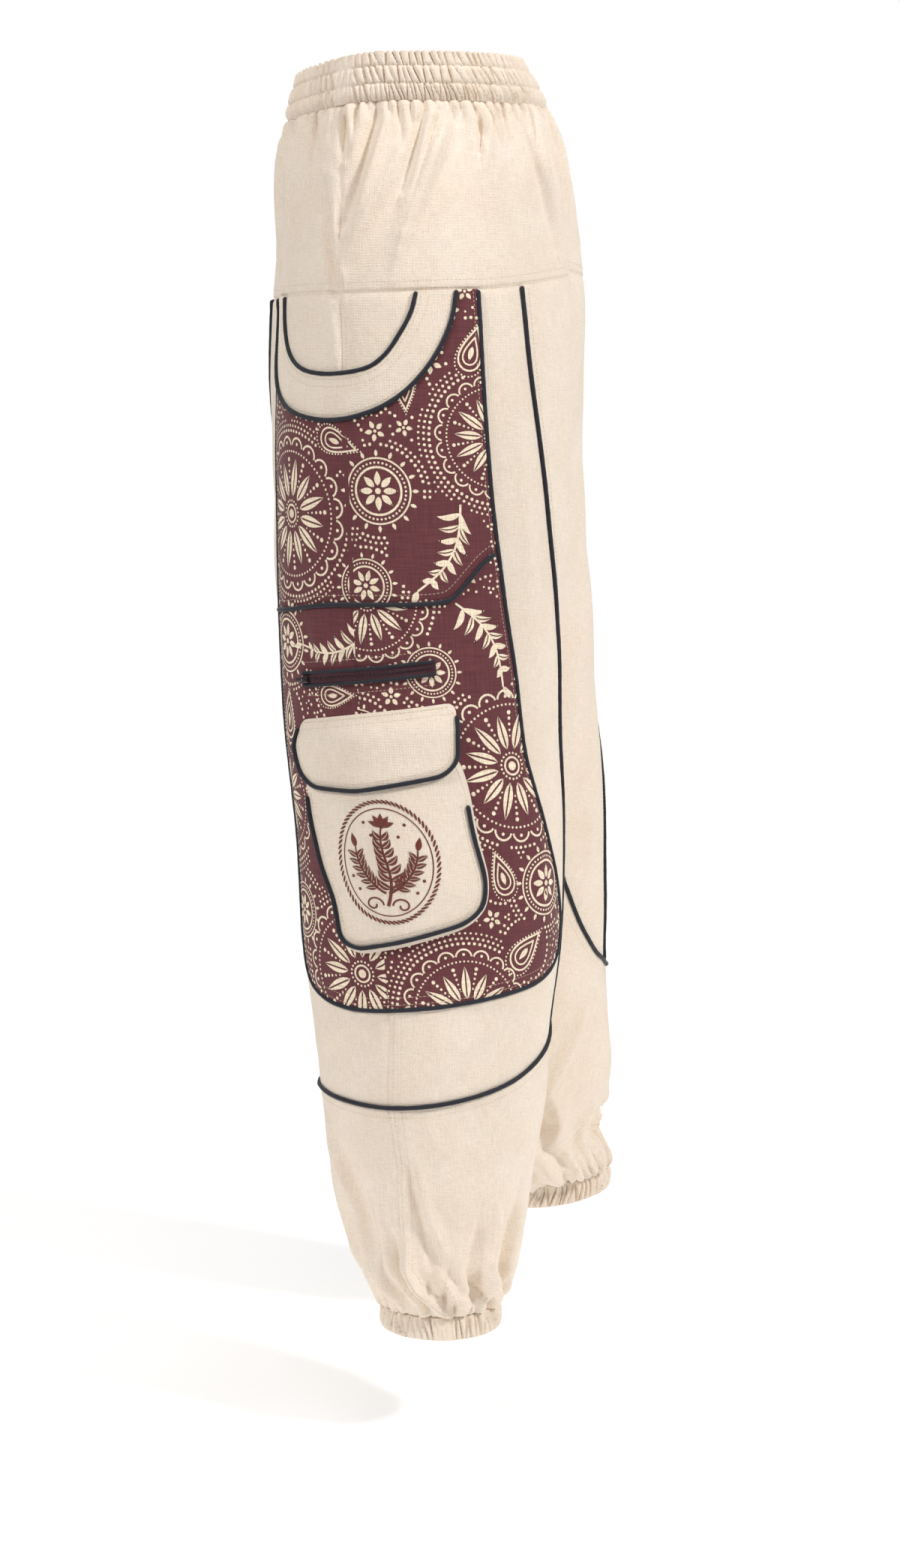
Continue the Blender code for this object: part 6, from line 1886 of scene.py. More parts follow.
class Figures:
    """Flat figures drawn in the plane of the cut, as points, faces and their raised height."""

    def __init__(self):
        self.points, self.heights, self.faces = [], [], []

    def add(self, points, faces, heights=None):
        """Add one shape."""
        first = len(self.points)
        points = np.asarray(points, float)
        self.points.extend(points.tolist())
        self.heights.extend([0.0] * len(points) if heights is None else list(heights))
        self.faces.extend([first + int(corner) for corner in face] for face in faces)

    def disc(self, centre, radius, sides=10, dome=0.0):
        """A round spot."""
        turn = np.linspace(0, 2 * pi, sides, endpoint=False)
        rim = np.array(centre) + radius * np.column_stack([np.cos(turn), np.sin(turn)])
        faces = [[0, 1 + side, 1 + (side + 1) % sides] for side in range(sides)]
        self.add(np.vstack([[centre], rim]), faces, [dome] + [0.0] * sides)

    def strip(self, path, widths, dome=0.0, closed=False):
        """A line of even or changing width."""
        path = np.asarray(path, float)
        if closed:
            run = np.roll(path, -1, axis=0) - np.roll(path, 1, axis=0)
        else:
            run = np.gradient(path, axis=0)
        run /= np.maximum(np.linalg.norm(run, axis=1, keepdims=True), 1e-12)
        side = np.column_stack([-run[:, 1], run[:, 0]])
        half = np.broadcast_to(widths, len(path))[:, None] / 2
        rows = [(path - side * half, 0.0), (path + side * half, 0.0)]
        if dome:
            rows.insert(1, (path, dome))
        count = len(path)
        faces = [
            [low + k, low + (k + 1) % count, low + count + (k + 1) % count, low + count + k]
            for low in range(0, (len(rows) - 1) * count, count)
            for k in range(count if closed else count - 1)
        ]
        heights = np.repeat([height for _, height in rows], count)
        self.add(np.vstack([row for row, _ in rows]), faces, heights)

    def dots(self, path, radius, pitch, sides=7, closed=False):
        """Round spots spaced evenly along a path."""
        path = np.asarray(path, float)
        if closed:
            path = np.vstack([path, path[:1]])
        total = line_length(path)[-1]
        count = max(1, int(round(total / pitch)))
        spots = (np.arange(count) + (0.0 if closed else 0.5)) * total / count
        for spot in along_line(path, spots):
            self.disc(spot, radius, sides)

    def leaf(self, root, heading, length, width, slit=0.0, dome=0.0, bend=0.0):
        """A pointed leaf, whole or parted along its middle."""
        share = np.linspace(0, 1, 9)
        along = share * length
        sag = bend * length * share * (1 - share) * 4
        half = width / 2 * np.sin(pi * share ** 0.8) ** 0.9
        across = towards(heading + pi / 2)
        ahead = towards(heading)
        middle = np.array(root) + along[:, None] * ahead + sag[:, None] * across
        if not slit:
            self.strip(middle, 2 * half, dome)
            return
        for sign in (1, -1):
            inner = np.minimum(slit / 2, half * 0.6)
            centre = middle + sign * ((half + inner) / 2)[:, None] * across
            self.strip(centre, np.maximum(half - inner, 1e-5), dome)

    def moved(self, shift, turn=0.0, size=1.0, mirror=False):
        """The same figures, turned, scaled and moved."""
        copy = Figures()
        points = np.array(self.points) * size
        if mirror:
            points[:, 0] *= -1
        spin = np.array([[cos(turn), sin(turn)], [-sin(turn), cos(turn)]])
        copy.points = (points @ spin + np.array(shift)).tolist()
        copy.heights = list(self.heights)
        copy.faces = [face[::-1] for face in self.faces] if mirror else list(self.faces)
        return copy

    def take(self, other):
        """Add all the shapes of other figures."""
        self.add(other.points, other.faces, other.heights)


def circle(radius, steps, centre=(0.0, 0.0), start=0.0, end=2 * pi, closed=True):
    """Points round a circle or an arc."""
    turn = start + (end - start) * np.arange(steps) / (steps if closed else steps - 1)
    return np.array(centre) + radius * np.column_stack([np.cos(turn), np.sin(turn)])


def drop_outline(length, steps=26):
    """A teardrop with its point at the origin, pointing down the way it grows."""
    turn = np.linspace(0, 2 * pi, steps, endpoint=False)
    x = 0.36 * length * np.sin(turn) * np.sin(turn / 2) ** 1.4
    y = length / 2 * (1 - np.cos(turn))
    return np.column_stack([x, y])


def wheel_flower():
    """A wide flower: an eye, twelve parted petals, rays of spots and a scalloped rim."""
    figure = Figures()
    figure.disc((0, 0), 0.0036, 14)
    figure.strip(circle(0.0068, 36), 0.0016, closed=True)
    figure.dots(circle(0.0102, 44), 0.0010, 0.0034, closed=True)
    for petal in range(12):
        heading = 2 * pi * petal / 12
        ahead = towards(heading)
        figure.leaf(ahead * 0.0135, heading, 0.0300 if petal % 2 else 0.0270, 0.0084, slit=0.0014)
        between = heading + pi / 12
        ray = towards(between)
        for step, radius in enumerate((0.0008, 0.0010, 0.0012, 0.0014, 0.0018)):
            figure.disc(ray * (0.0235 + 0.0046 * step), radius, 8)
    figure.dots(circle(0.0482, 90), 0.0010, 0.0038, closed=True)
    for scallop in range(20):
        heading = 2 * pi * scallop / 20
        centre = 0.0520 * towards(heading)
        figure.strip(circle(0.0074, 9, centre, heading - 1.5, heading + 1.5, False), 0.0017)
        figure.disc(centre + 0.0026 * towards(heading), 0.0014, 8)
    return figure


def roundel():
    """A small round figure: an eye, eight drops and two rings."""
    figure = Figures()
    figure.disc((0, 0), 0.0022, 12)
    for petal in range(8):
        heading = 2 * pi * petal / 8
        figure.leaf(0.0040 * towards(heading), heading, 0.0105, 0.0048)
    figure.strip(circle(0.0172, 48), 0.0017, closed=True)
    figure.dots(circle(0.0205, 60), 0.0009, 0.0031, closed=True)
    figure.strip(circle(0.0238, 60), 0.0013, closed=True)
    for spike in range(16):
        heading = 2 * pi * spike / 16
        figure.leaf(0.0250 * towards(heading), heading, 0.0052, 0.0026)
    return figure


def filled_drop():
    """A teardrop with a smaller one in it and spots round it."""
    figure = Figures()
    outer = drop_outline(0.038) - (0, 0.019)
    figure.strip(outer, 0.0016, closed=True)
    figure.strip(drop_outline(0.024) - (0, 0.010), 0.0014, closed=True)
    figure.leaf((0, -0.0015), pi / 2, 0.0125, 0.0046)
    figure.dots(outer * 1.24 + (0, 0.0006), 0.0008, 0.0031, closed=True)
    return figure


def feather():
    """A curved stem with paired leaves that shorten towards its tip."""
    figure = Figures()
    share = np.linspace(0, 1, 22)
    stem = np.column_stack([0.010 * np.sin(pi * share), 0.068 * share - 0.034])
    figure.strip(stem, 0.0015)
    for pair in range(7):
        spot = along_line(stem, [0.006 + 0.0086 * pair])[0]
        for sign in (1, -1):
            figure.leaf(
                spot, pi / 2 - sign * 0.95, 0.0165 - 0.0014 * pair, 0.0044,
                slit=0.0009 if pair % 2 else 0.0, bend=0.12 * sign,
            )
    figure.leaf(stem[-1], pi / 2 - 0.1, 0.0110, 0.0046)
    return figure


def bud():
    """A five-petalled bud."""
    figure = Figures()
    figure.disc((0, 0), 0.0013, 8)
    for petal in range(5):
        heading = 2 * pi * petal / 5 + 0.3
        figure.leaf(0.0022 * towards(heading), heading, 0.0060, 0.0036)
    return figure


def trio():
    """Three spots."""
    figure = Figures()
    for petal in range(3):
        heading = 2 * pi * petal / 3
        figure.disc(0.0021 * towards(heading), 0.0011, 8)
    return figure


FIGURES = {
    "flower": (wheel_flower, 0.0600, 3),
    "roundel": (roundel, 0.0300, 2),
    "feather": (feather, 0.0330, 0),
    "drop": (filled_drop, 0.0215, 1),
    "bud": (bud, 0.0080, 0),
    "trio": (trio, 0.0034, 0),
}
# Large figures listed for each cut piece: kind, around, down, turn, size
PLACED = {
    "left_upper_pocket": (
        ("flower", -0.064, 0.352, 0.20, 1.00), ("roundel", 0.026, 0.332, 0.0, 1.05),
        ("feather", 0.070, 0.375, 0.5, 1.1), ("flower", 0.118, 0.292, 0.1, 0.78),
        ("roundel", 0.012, 0.404, 0.3, 0.85), ("drop", -0.006, 0.296, 1.9, 0.9),
        ("drop", 0.103, 0.225, 0.3, 0.9), ("roundel", -0.122, 0.262, 0.3, 0.9),
    ),
    "left_print_front": (
        ("flower", -0.020, 0.706, 0.10, 0.95), ("flower", -0.112, 0.575, 0.0, 0.85),
        ("roundel", -0.078, 0.452, 0.2, 1.0), ("feather", -0.022, 0.447, 1.4, 1.0),
        ("drop", -0.085, 0.510, 0.2, 1.0), ("roundel", -0.088, 0.665, 0.2, 0.9),
        ("drop", -0.020, 0.490, 1.5, 0.8),
    ),
    "left_print_back": (
        ("flower", 0.118, 0.545, 0.30, 1.00), ("flower", 0.062, 0.735, 0.0, 0.85),
        ("roundel", 0.142, 0.640, 0.1, 1.05), ("flower", 0.012, 0.415, 0.2, 0.80),
        ("feather", 0.098, 0.450, -0.5, 1.1), ("drop", 0.118, 0.690, 0.9, 1.0),
        ("roundel", 0.058, 0.470, 0.0, 0.8), ("drop", 0.098, 0.628, -0.3, 0.9),
    ),
    "right_upper_pocket": (
        ("flower", 0.040, 0.345, 0.05, 1.00), ("feather", -0.048, 0.360, -0.3, 1.1),
        ("roundel", -0.096, 0.330, 0.4, 1.0), ("roundel", 0.108, 0.268, 0.0, 0.9),
        ("drop", -0.092, 0.395, 0.6, 1.0), ("drop", -0.010, 0.402, 2.1, 0.9),
    ),
    "right_print_front": (
        ("flower", -0.098, 0.635, 0.25, 0.95), ("flower", -0.045, 0.430, 0.0, 0.85),
        ("roundel", -0.020, 0.715, 0.3, 1.0), ("drop", -0.088, 0.535, 0.4, 1.0),
        ("roundel", -0.098, 0.480, 0.1, 0.85), ("drop", -0.010, 0.492, 1.2, 0.8),
    ),
    "right_print_back": (
        ("flower", 0.112, 0.475, 0.00, 0.90), ("flower", 0.132, 0.640, 0.20, 1.00),
        ("roundel", 0.100, 0.560, 0.1, 0.9), ("feather", 0.050, 0.705, 1.3, 1.1),
        ("drop", 0.020, 0.448, 1.2, 1.0), ("roundel", 0.040, 0.480, 0.0, 0.7),
    ),
}
FIGURE_ROOM = 0.0024       # least gap between two figures
SPOT_PITCH = 0.0044
FILL_ROOM = 0.003          # more room, round a figure that fills a gap
FILL_LARGEST = 1.1         # size of the largest of them
DOT_ROOM = 0.0006          # room round a loose spot
DOT_SIZES = (0.7, 1.1)     # of loose spots, as shares of the spots' size
MOST_FIGURES = 20000
LEAST_INK = (2e-8, 0.02)   # what a clipped face must pass: least area, and greatest side
HALO_ROOM = 0.0040         # from one ring of spots round a figure to the next
# Smaller figures that fill the room left: kind, tries and least size; then spots and trios
FILLERS = (("roundel", 60, 0.75), ("drop", 160, 0.7), ("bud", 500, 0.8))
SPOTS = ((1500, "trio", 0.0034), (7000, None, 0.0010))


class Layout:
    """Figures set out over one cut piece so that none runs into another."""

    def __init__(self, box, seed):
        self.low, self.high = np.array(box[0]), np.array(box[1])
        self.chance = np.random.default_rng(seed)
        self.figures = Figures()
        self.halo_spots = []
        self.taken = np.zeros((MOST_FIGURES, 3))
        self.count = 0

    def free(self, spot, radius):
        """Whether a circle lies clear of all that is there."""
        taken = self.taken[:self.count]
        gap = np.hypot(taken[:, 0] - spot[0], taken[:, 1] - spot[1])
        return bool((gap > taken[:, 2] + radius + FIGURE_ROOM * 0.5).all())

    def claim(self, spot, radius):
        """Keep a circle for a figure."""
        self.taken[self.count] = (*spot, radius)
        self.count += 1

    def put(self, kind, spot, turn, size):
        """Set down one figure with its halos of spots."""
        draw, radius, halos = FIGURES[kind]
        self.claim(spot, radius * size)
        self.figures.take(draw().moved(spot, turn, size))
        for halo in range(halos):
            reach = radius * size + HALO_ROOM * (halo + 1)
            ring = circle(reach, 200, spot)
            for point in along_line(ring, np.arange(0, 2 * pi * reach, SPOT_PITCH)):
                self.halo_spots.append((point, sizes().spot * (1.15 - 0.15 * halo)))

    def fill(self, placed):
        """Set out the large figures, then smaller ones wherever there is room."""
        for kind, around, down, turn, size in placed:
            self.put(kind, (around, down), turn, size)
        for kind, tries, smallest in FILLERS:
            for _ in range(tries):
                spot = self.chance.uniform(self.low, self.high)
                size = self.chance.uniform(smallest, FILL_LARGEST)
                turn = self.chance.uniform(0, 2 * pi)
                if self.free(spot, FIGURES[kind][1] * size + FILL_ROOM):
                    self.put(kind, spot, turn, size)
        for spot, radius in self.halo_spots:
            if self.free(spot, radius):
                self.claim(spot, radius)
                self.figures.disc(spot, radius, 7)
        for tries, kind, radius in SPOTS:
            for _ in range(tries):
                spot = self.chance.uniform(self.low, self.high)
                if not self.free(spot, radius + DOT_ROOM):
                    continue
                self.claim(spot, radius)
                if kind:
                    self.figures.take(trio().moved(spot, self.chance.uniform(0, 2)))
                else:
                    self.figures.disc(spot, sizes().spot * self.chance.uniform(*DOT_SIZES), 7)
        return self.figures


def clipped(leg, figures, limits, covers):
    """Figures cut off along the edges of their cut piece, as flat points, heights and faces.

    Each limit is a test that points pass inside and the line that bounds it.
    """
    flat = leg.pattern.flat(np.array(figures.points))
    faces = np.array([(face + face[-1:])[:4] for face in figures.faces])
    outside = np.zeros(len(flat), bool)
    for test, _ in limits:
        outside |= ~test(flat)
    hidden = np.zeros(len(flat), bool)
    for name in covers:
        hidden |= leg.pattern.inside(name, flat)
    faces = faces[~outside[faces].all(axis=1) & ~hidden[faces].all(axis=1)]
    used, faces = np.unique(faces, return_inverse=True)
    faces = faces.reshape(-1, 4)
    flat = flat[used]
    for test, line in limits:
        wrong = ~test(flat)
        if wrong.any():
            flat[wrong] = nearest_points(flat[wrong], line)
    corners = flat[faces]
    x, y = corners[..., 0], corners[..., 1]
    area = np.abs((x * np.roll(y, -1, axis=1) - np.roll(x, -1, axis=1) * y).sum(axis=1)) / 2
    side = np.linalg.norm(corners - np.roll(corners, 1, axis=1), axis=2).max(axis=1)
    whole = (area > LEAST_INK[0]) & (side < LEAST_INK[1])
    return flat, np.array(figures.heights)[used], faces[whole]


def lay_figures(name, leg, flat, heights, faces, base, finish, rolled=()):
    """Thin figures lying on the leg's cloth, facing out."""
    points, normals = leg.on_mesh(flat, base)
    lift = INK_REST + heights
    for line in rolled:
        gap = distance_to_line(flat, leg.pattern.lines[line])
        lift = lift - EDGE_DROP * np.exp(-((gap / EDGE_REACH) ** 2))
    points = points + normals * lift[:, None]
    faces = turned_out(points, normals, np.asarray(faces))
    uv = leg.pattern.real(flat)
    every = [list(dict.fromkeys(face)) for face in faces.tolist()]
    new_mesh(name, points, every, [material(finish)], uv)


def build_figures(leg):
    """The cream figures of the print, cut off at the edges of each piece."""
    pattern, lines = leg.pattern, leg.pattern.lines
    printed = (pattern.test(("print",)), lines["print"])
    above = (lambda flat: ~pattern.below("pocket", flat), lines["pocket"])
    below = (lambda flat: pattern.below("pocket", flat), lines["pocket"])
    front = (lambda flat: ~pattern.behind("side", flat), lines["side"])
    back = (lambda flat: pattern.behind("side", flat), lines["side"])
    clear_band = (pattern.test((), ("band",)), lines["band"])
    under_yoke = (lambda flat: pattern.below("yoke", flat), lines["yoke"])
    for order, (name, box, limits) in enumerate((
        ("upper_pocket", ((-0.14, 0.176), (0.13, 0.436)), (under_yoke, printed, above, clear_band)),
        ("print_front", ((-0.12, 0.410), (0.006, 0.742)), (printed, below, front)),
        ("print_back", ((-0.006, 0.370), (0.185, 0.742)), (printed, below, back)),
    )):
        name = f"{leg.side}_{name}"
        figures = Layout(box, leg.half.seed * 10 + order).fill(PLACED[name])
        flat, heights, faces = clipped(leg, figures, limits, ("flap", "cargo", "zip"))
        lay_figures(
            f"{name}_figures", leg, flat, heights, faces, PRINT_LIFT + PATCH,
            "cream figures of the printed cotton", ("print", "pocket", "side"),
        )


def sprig_emblem():
    """A leafy sprig in an oval of rope stitch, for embroidery."""
    figure = Figures()
    oval = circle(1.0, 70) * EMBLEM_OVAL
    for step, spot in enumerate(oval):
        ahead = oval[(step + 1) % len(oval)] - oval[step - 1]
        heading = atan2(ahead[1], ahead[0]) + 0.55
        away = towards(heading) * 0.0026
        figure.strip([spot - away, spot, spot + away], [0.0010, 0.0019, 0.0010], 0.0006)
    figure.strip(oval * 0.89, 0.0009, 0.0004, closed=True)
    share = np.linspace(0, 1, 30)
    stem = np.column_stack([0.0030 * np.sin(2 * pi * share * 0.9), 0.034 - 0.062 * share])
    figure.strip(stem, 0.0026 - 0.0014 * share, 0.0006)
    for pair in range(7):
        spot = along_line(stem, [0.014 + 0.0064 * pair])[0]
        for sign in (1, -1):
            figure.leaf(
                spot, -pi / 2 + sign * (0.95 - 0.05 * pair), 0.0125 - 0.0006 * pair, 0.0052,
                slit=0.0006, dome=0.0006, bend=0.14 * sign,
            )
    for petal in range(5):
        heading = -pi / 2 + (petal - 2) * 0.62
        figure.leaf(stem[-1], heading, 0.0100, 0.0044, dome=0.0007)
    figure.disc(stem[-1], 0.0020, 10, 0.0009)
    for sign in (1, -1):
        branch = np.column_stack([
            sign * (0.001 + 0.0220 * np.sin(pi / 2 * share)), 0.0240 - 0.0340 * share ** 1.3
        ])
        figure.strip(branch, 0.0021 - 0.0010 * share, 0.0005)
        for order in range(6):
            spot, ahead = along_line(branch, [0.0080 + 0.0054 * order, 0.0086 + 0.0054 * order])
            heading = atan2(ahead[1] - spot[1], ahead[0] - spot[0])
            for turn in (0.85, -0.85):
                figure.leaf(spot, heading + turn, 0.0088, 0.0042, slit=0.0005, dome=0.0006)
        figure.leaf(branch[-1], -pi / 2 + sign * 0.2, 0.0110, 0.0046, dome=0.0006)
        turn = np.linspace(0, 2.1 * pi, 26)
        curl = 0.0072 * (1 - turn / (2.6 * pi))
        tendril = np.column_stack([
            sign * (0.0105 - curl * np.cos(turn)), 0.0335 - curl * np.sin(turn) * 0.9
        ])
        figure.strip(tendril, 0.0014, 0.0005)
        for spot in ((0.0265, 0.0130), (0.0215, 0.0225), (0.0150, -0.0300), (0.0100, -0.0205)):
            figure.disc((sign * spot[0], spot[1]), 0.0013, 8, 0.0007)
    return figure


def build_emblem(leg):
    """The embroidered emblem on the face of the cargo pocket."""
    figures = sprig_emblem().moved(EMBLEM_PLACE, 0.03)
    flat = leg.pattern.flat(np.array(figures.points))
    base = BAG_LIFT + PATCH + crown(leg, leg.pattern.points)
    faces = [(face + face[-1:])[:4] for face in figures.faces]
    lay_figures(
        f"{leg.side}_emblem", leg, flat, np.array(figures.heights), faces, base,
        "brown embroidery thread",
    )


# ---------------------------------------------------------------- zip
def build_coil(leg, line, on_tape):
    """The zip's coil: rounded turns along a line of the tape, set to one side and the other."""
    path, normals = leg.on_mesh(line, on_tape)
    length = line_length(path)
    points, faces = [], []
    start, end = COIL_ROOM[0], length[-1] - COIL_ROOM[1]
    for order, spot in enumerate(np.arange(start, end, TOOTH_PITCH)):
        place, further = values_along(length, path, (spot, spot + 0.001))
        up = values_along(length, normals, spot)
        ahead = (further - place) / np.linalg.norm(further - place)
        across = np.cross(up, ahead)
        place = place + across * (TOOTH_STAGGER if order % 2 else -TOOTH_STAGGER)
        first = len(points)
        for out, full in TOOTH_RINGS:
            for a, b in ((-1, -1), (1, -1), (1, 1), (-1, 1)):
                sideways = ahead * a * TOOTH_HALF[0] * full + across * b * TOOTH_HALF[1] * full
                points.append(place + up * out + sideways)
        for low in (first, first + 4):
            for turn in range(4):
                after = (turn + 1) % 4
                faces.append([low + turn, low + after, low + 4 + after, low + 4 + turn])
        faces.append([first + 8, first + 9, first + 10, first + 11])
    new_mesh(f"{leg.side}_zip_coil", points, faces, [material("nylon zip coil")])


def build_slider(leg, on_tape):
    """The zip's slider: bevelled plates, a post and a bridge, and the pull that hangs on it."""
    spots, ups = leg.on_mesh(leg.pattern.flat([SLIDER_PLACE, SLIDER_FACES]), on_tape)
    out = Vector(ups[0])
    across = out.cross(Vector(spots[1] - spots[0])).normalized()
    axes = Matrix((across.cross(out), across, out)).transposed().to_4x4()
    shape = bmesh.new()
    for centre, size, bevel in SLIDER_BLOCKS:
        place = Matrix.Translation(centre) @ Matrix.Diagonal((*size, 1))
        made = bmesh.ops.create_cube(shape, size=1, matrix=place)
        edges = {edge for vertex in made["verts"] for edge in vertex.link_edges}
        bmesh.ops.bevel(
            shape, geom=list(edges), offset=bevel, segments=3, affect="EDGES", profile=0.6
        )
    pull, middle = np.array(PULL_OUTLINE), np.array(PULL_MIDDLE)
    outline = np.vstack([pull, pull[-2:0:-1] * (1, -1)])
    rows = []
    for height, shrink in PULL_ROWS:
        flat = middle + (outline - middle) * shrink
        rows.append([
            shape.verts.new((-x - PULL_HINGE[0], y, PULL_HINGE[1] + height - PULL_FALL * x))
            for x, y in flat
        ])
    for low, high in zip(rows, rows[1:]):
        for turn in range(len(low)):
            after = (turn + 1) % len(low)
            shape.faces.new([low[turn], low[after], high[after], high[turn]])
    shape.faces.new(rows[0][::-1])
    shape.faces.new(rows[-1])
    bmesh.ops.recalc_face_normals(shape, faces=shape.faces)
    shape.transform(Matrix.Translation(Vector(spots[0])) @ axes)
    mesh = bpy.data.meshes.new(f"{leg.side}_zip_slider_body")
    shape.to_mesh(mesh)
    shape.free()
    mesh.materials.append(material("dark enamel"))
    mesh.shade_smooth()
    mesh.set_sharp_from_angle(angle=radians(40))
    slider = new_object(mesh.name, mesh)
    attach(slider, BODY)
    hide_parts(f"{leg.side}_zip_slider")


def build_zip(leg):
    """The zip pocket: a tape between two piped lips, its coil, slider and pull."""
    pattern, on_tape = leg.pattern, ON_PRINT + PATCH
    leg.sew(
        "zip_tape", pattern.inside("zip"), "woven zip tape", (), "laid",
        f"{leg.side}_print_front", ON_PRINT,
    )
    corners = pattern.flat(ZIP_OUTLINE)
    for name, edge in (("zip_welt_top", corners[:2]), ("zip_welt_foot", corners[2:])):
        leg.cord(name, edge, on_tape, (0.0, 0.0), sizes().welt)
    build_coil(leg, resample((corners[[0, 1]] + corners[[3, 2]]) / 2, 0.0005), on_tape)
    build_slider(leg, on_tape)


# ---------------------------------------------------------------- stage
def build_stage():
    """The pale floor, soft studio light and the camera."""
    scene = bpy.context.scene
    studio = scene.pants_studio
    floor = bpy.data.meshes.new("floor")
    shape = bmesh.new()
    bmesh.ops.create_circle(shape, cap_ends=True, segments=FLOOR_SIDES, radius=FLOOR_REACH)
    shape.to_mesh(floor)
    shape.free()
    floor.materials.append(material("opal acrylic"))
    ground = new_object("studio_floor", floor)
    ground.location.z = FLOOR_LEVEL

    scene.world = bpy.data.worlds.new("studio")
    scene.world.use_nodes = True
    tree = scene.world.node_tree
    soft = tree.nodes["Background"]
    soft.inputs["Color"].default_value = linear("#FFFFFF")
    soft.inputs["Strength"].default_value = studio.ambient
    paper = add_node(tree, "Background", {"Color": linear("#FFFFFF"), "Strength": 1.0})[0]
    seen = add_node(tree, "LightPath")["Is Camera Ray"]
    both = add_node(tree, "MixShader", {0: seen, 1: soft.outputs[0], 2: paper})[0]
    tree.links.new(both, tree.nodes["World Output"].inputs["Surface"])
    for name, place, size, power in LIGHTS:
        lamp = bpy.data.lights.new(name, "AREA")
        lamp.shape = "RECTANGLE"
        lamp.size = lamp.size_y = size
        lamp.energy = power * studio.power
        light = new_object(name, lamp)
        light.location = place
        aim = Vector(LIGHT_AIM) - Vector(place)
        light.rotation_euler = aim.to_track_quat("-Z", "Y").to_euler()

    lens = bpy.data.cameras.new("camera")
    lens.lens = CAMERA_LENS
    lens.sensor_width = 36.0
    lens.sensor_fit = "AUTO"
    camera = new_object("camera", lens)
    camera.location = CAMERA_PLACE
    look = Vector((-cos(CAMERA_PITCH), 0, -sin(CAMERA_PITCH)))
    camera.rotation_euler = look.to_track_quat("-Z", "Y").to_euler()
    scene.camera = camera
    scene.view_settings.view_transform = "Standard"


# ---------------------------------------------------------------- operators
LEGS = {}


def leg(side):
    """One leg's cut and surface, worked out the first time it is asked for."""
    if side not in LEGS:
        LEGS[side] = Leg(side)
    return LEGS[side]


def both_legs(build):
    """Run one builder on each leg."""
    for side in ("left", "right"):
        build(leg(side))
    return {"FINISHED"}


class PANTS_OT_waistband(bpy.types.Operator):
    """Build the gathered waistband"""

    bl_idname = "pants.waistband"
    bl_label = "Waistband"

    def execute(self, context):
        build_waistband(leg("left"), leg("right"))
        return {"FINISHED"}


class PANTS_OT_yoke(bpy.types.Operator):
    """Build the front and back of the hip yoke"""

    bl_idname = "pants.yoke"
    bl_label = "Yoke"

    def execute(self, context):
        build_yoke(leg("left"), leg("right"))
        return {"FINISHED"}


class PANTS_OT_panels(bpy.types.Operator):
    """Build the plain panels of both legs"""

    bl_idname = "pants.panels"
    bl_label = "Panels"

    def execute(self, context):
        return both_legs(build_panels)


class PANTS_OT_side_panels(bpy.types.Operator):
    """Build the printed side panels, patch pockets and their bands"""

    bl_idname = "pants.side_panels"
    bl_label = "Side panels"

    def execute(self, context):
        return both_legs(build_side_panel)


class PANTS_OT_cargo_pockets(bpy.types.Operator):
    """Build the bellows pockets"""

    bl_idname = "pants.cargo_pockets"
    bl_label = "Cargo pockets"

    def execute(self, context):
        return both_legs(build_cargo_pocket)


class PANTS_OT_flaps(bpy.types.Operator):
    """Build the flaps of the bellows pockets"""

    bl_idname = "pants.flaps"
    bl_label = "Pocket flaps"

    def execute(self, context):
        return both_legs(build_flap)


class PANTS_OT_piping(bpy.types.Operator):
    """Build the corded piping of the seams and pockets"""

    bl_idname = "pants.piping"
    bl_label = "Piping"

    def execute(self, context):
        return both_legs(build_piping)


class PANTS_OT_cuffs(bpy.types.Operator):
    """Build the gathered elastic cuffs"""

    bl_idname = "pants.cuffs"
    bl_label = "Cuffs"

    def execute(self, context):
        return both_legs(build_cuff)


class PANTS_OT_print_figures(bpy.types.Operator):
    """Lay the cream figures on the printed cotton"""

    bl_idname = "pants.print_figures"
    bl_label = "Print figures"

    def execute(self, context):
        return both_legs(build_figures)


class PANTS_OT_emblems(bpy.types.Operator):
    """Embroider the sprig on both cargo pockets"""

    bl_idname = "pants.emblems"
    bl_label = "Emblems"

    def execute(self, context):
        return both_legs(build_emblem)


class PANTS_OT_zips(bpy.types.Operator):
    """Build the tapes, coils and sliders of the zip pockets"""

    bl_idname = "pants.zips"
    bl_label = "Zips"

    def execute(self, context):
        return both_legs(build_zip)


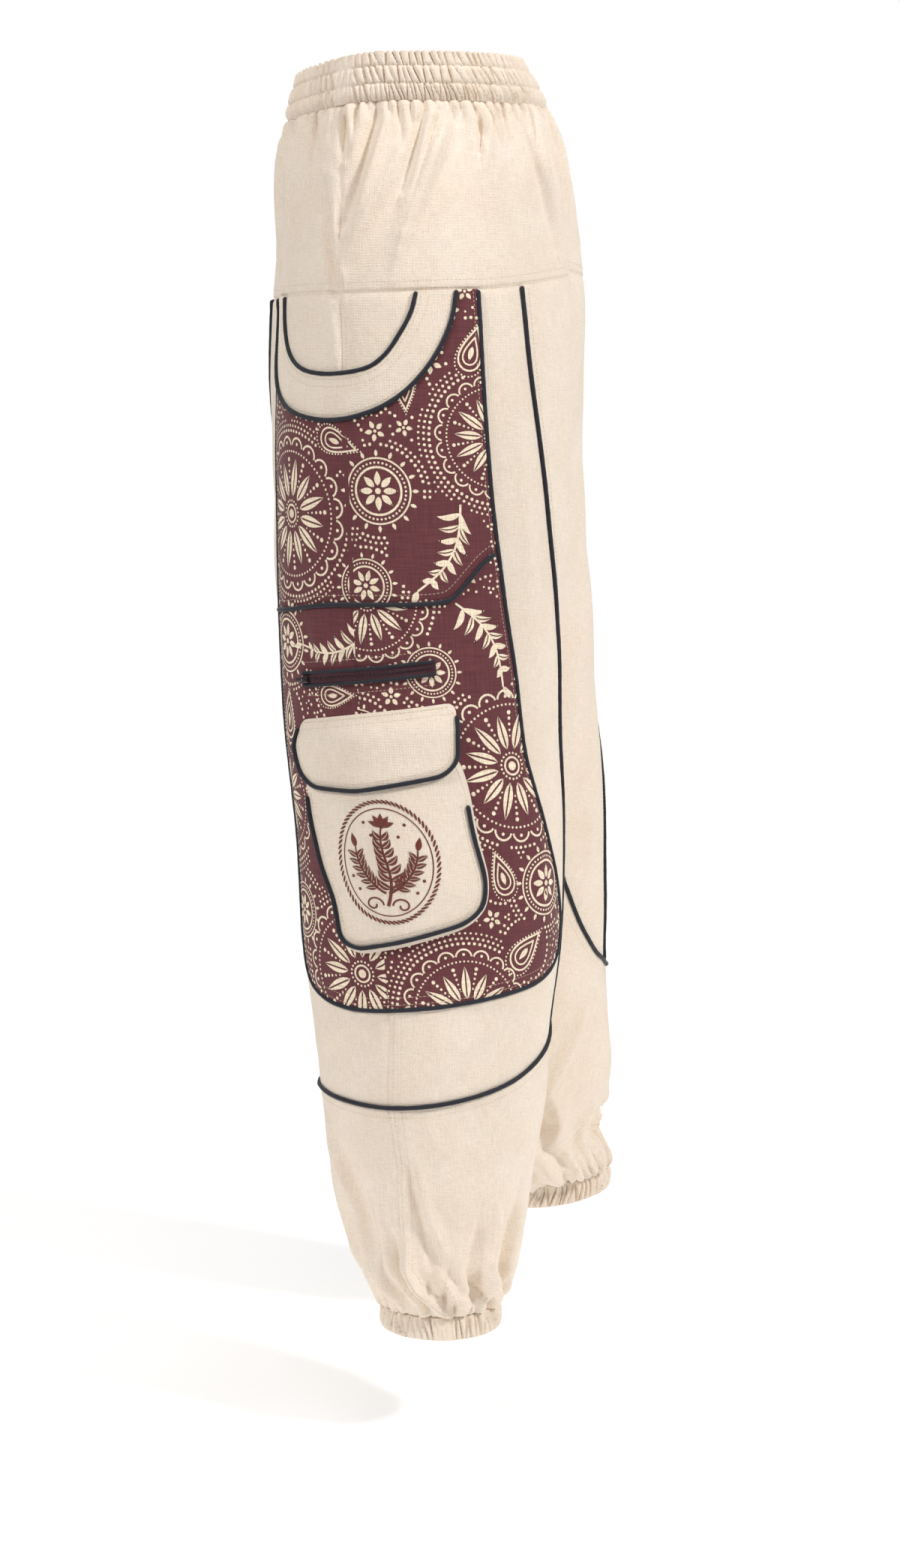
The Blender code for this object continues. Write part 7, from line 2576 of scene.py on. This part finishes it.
class PANTS_OT_stitching(bpy.types.Operator):
    """Sew the rows of topstitching"""

    bl_idname = "pants.stitching"
    bl_label = "Topstitching"

    def execute(self, context):
        build_yoke_stitching(leg("left"), leg("right"))
        return both_legs(build_topstitching)


class PANTS_OT_stage(bpy.types.Operator):
    """Set up the floor, light and camera"""

    bl_idname = "pants.stage"
    bl_label = "Stage"

    def execute(self, context):
        build_stage()
        return {"FINISHED"}


OPERATORS = (
    PANTS_OT_waistband,
    PANTS_OT_yoke,
    PANTS_OT_panels,
    PANTS_OT_side_panels,
    PANTS_OT_cargo_pockets,
    PANTS_OT_flaps,
    PANTS_OT_piping,
    PANTS_OT_cuffs,
    PANTS_OT_print_figures,
    PANTS_OT_emblems,
    PANTS_OT_zips,
    PANTS_OT_stitching,
    PANTS_OT_stage,
)


class PANTS_PT_garment(bpy.types.Panel):
    """Sizes, colours and pieces of the garment"""

    bl_idname = "PANTS_PT_garment"
    bl_label = "Harem pants"
    bl_space_type = "VIEW_3D"
    bl_region_type = "UI"
    bl_category = "Garment"

    def draw(self, context):
        scene = context.scene
        for group in (scene.pants_sizes, scene.pants_colours, scene.pants_studio):
            column = self.layout.column()
            for name in type(group).__annotations__:
                column.prop(group, name)
        for operator in OPERATORS:
            self.layout.operator(operator.bl_idname)


GROUPS = {"pants_sizes": PantsSizes, "pants_colours": PantsColours, "pants_studio": PantsStudio}


def register():
    """Make the properties, operators and panel known."""
    for item in (*GROUPS.values(), *OPERATORS, PANTS_PT_garment):
        bpy.utils.register_class(item)
    for name, group in GROUPS.items():
        setattr(bpy.types.Scene, name, PointerProperty(type=group))


def unregister():
    """Take them away again."""
    for name in GROUPS:
        delattr(bpy.types.Scene, name)
    for item in reversed((*GROUPS.values(), *OPERATORS, PANTS_PT_garment)):
        bpy.utils.unregister_class(item)


def main():
    """Build every piece in order."""
    register()
    for operator in OPERATORS:
        family, name = operator.bl_idname.split(".")
        getattr(getattr(bpy.ops, family), name)()


if __name__ == "__main__":
    main()
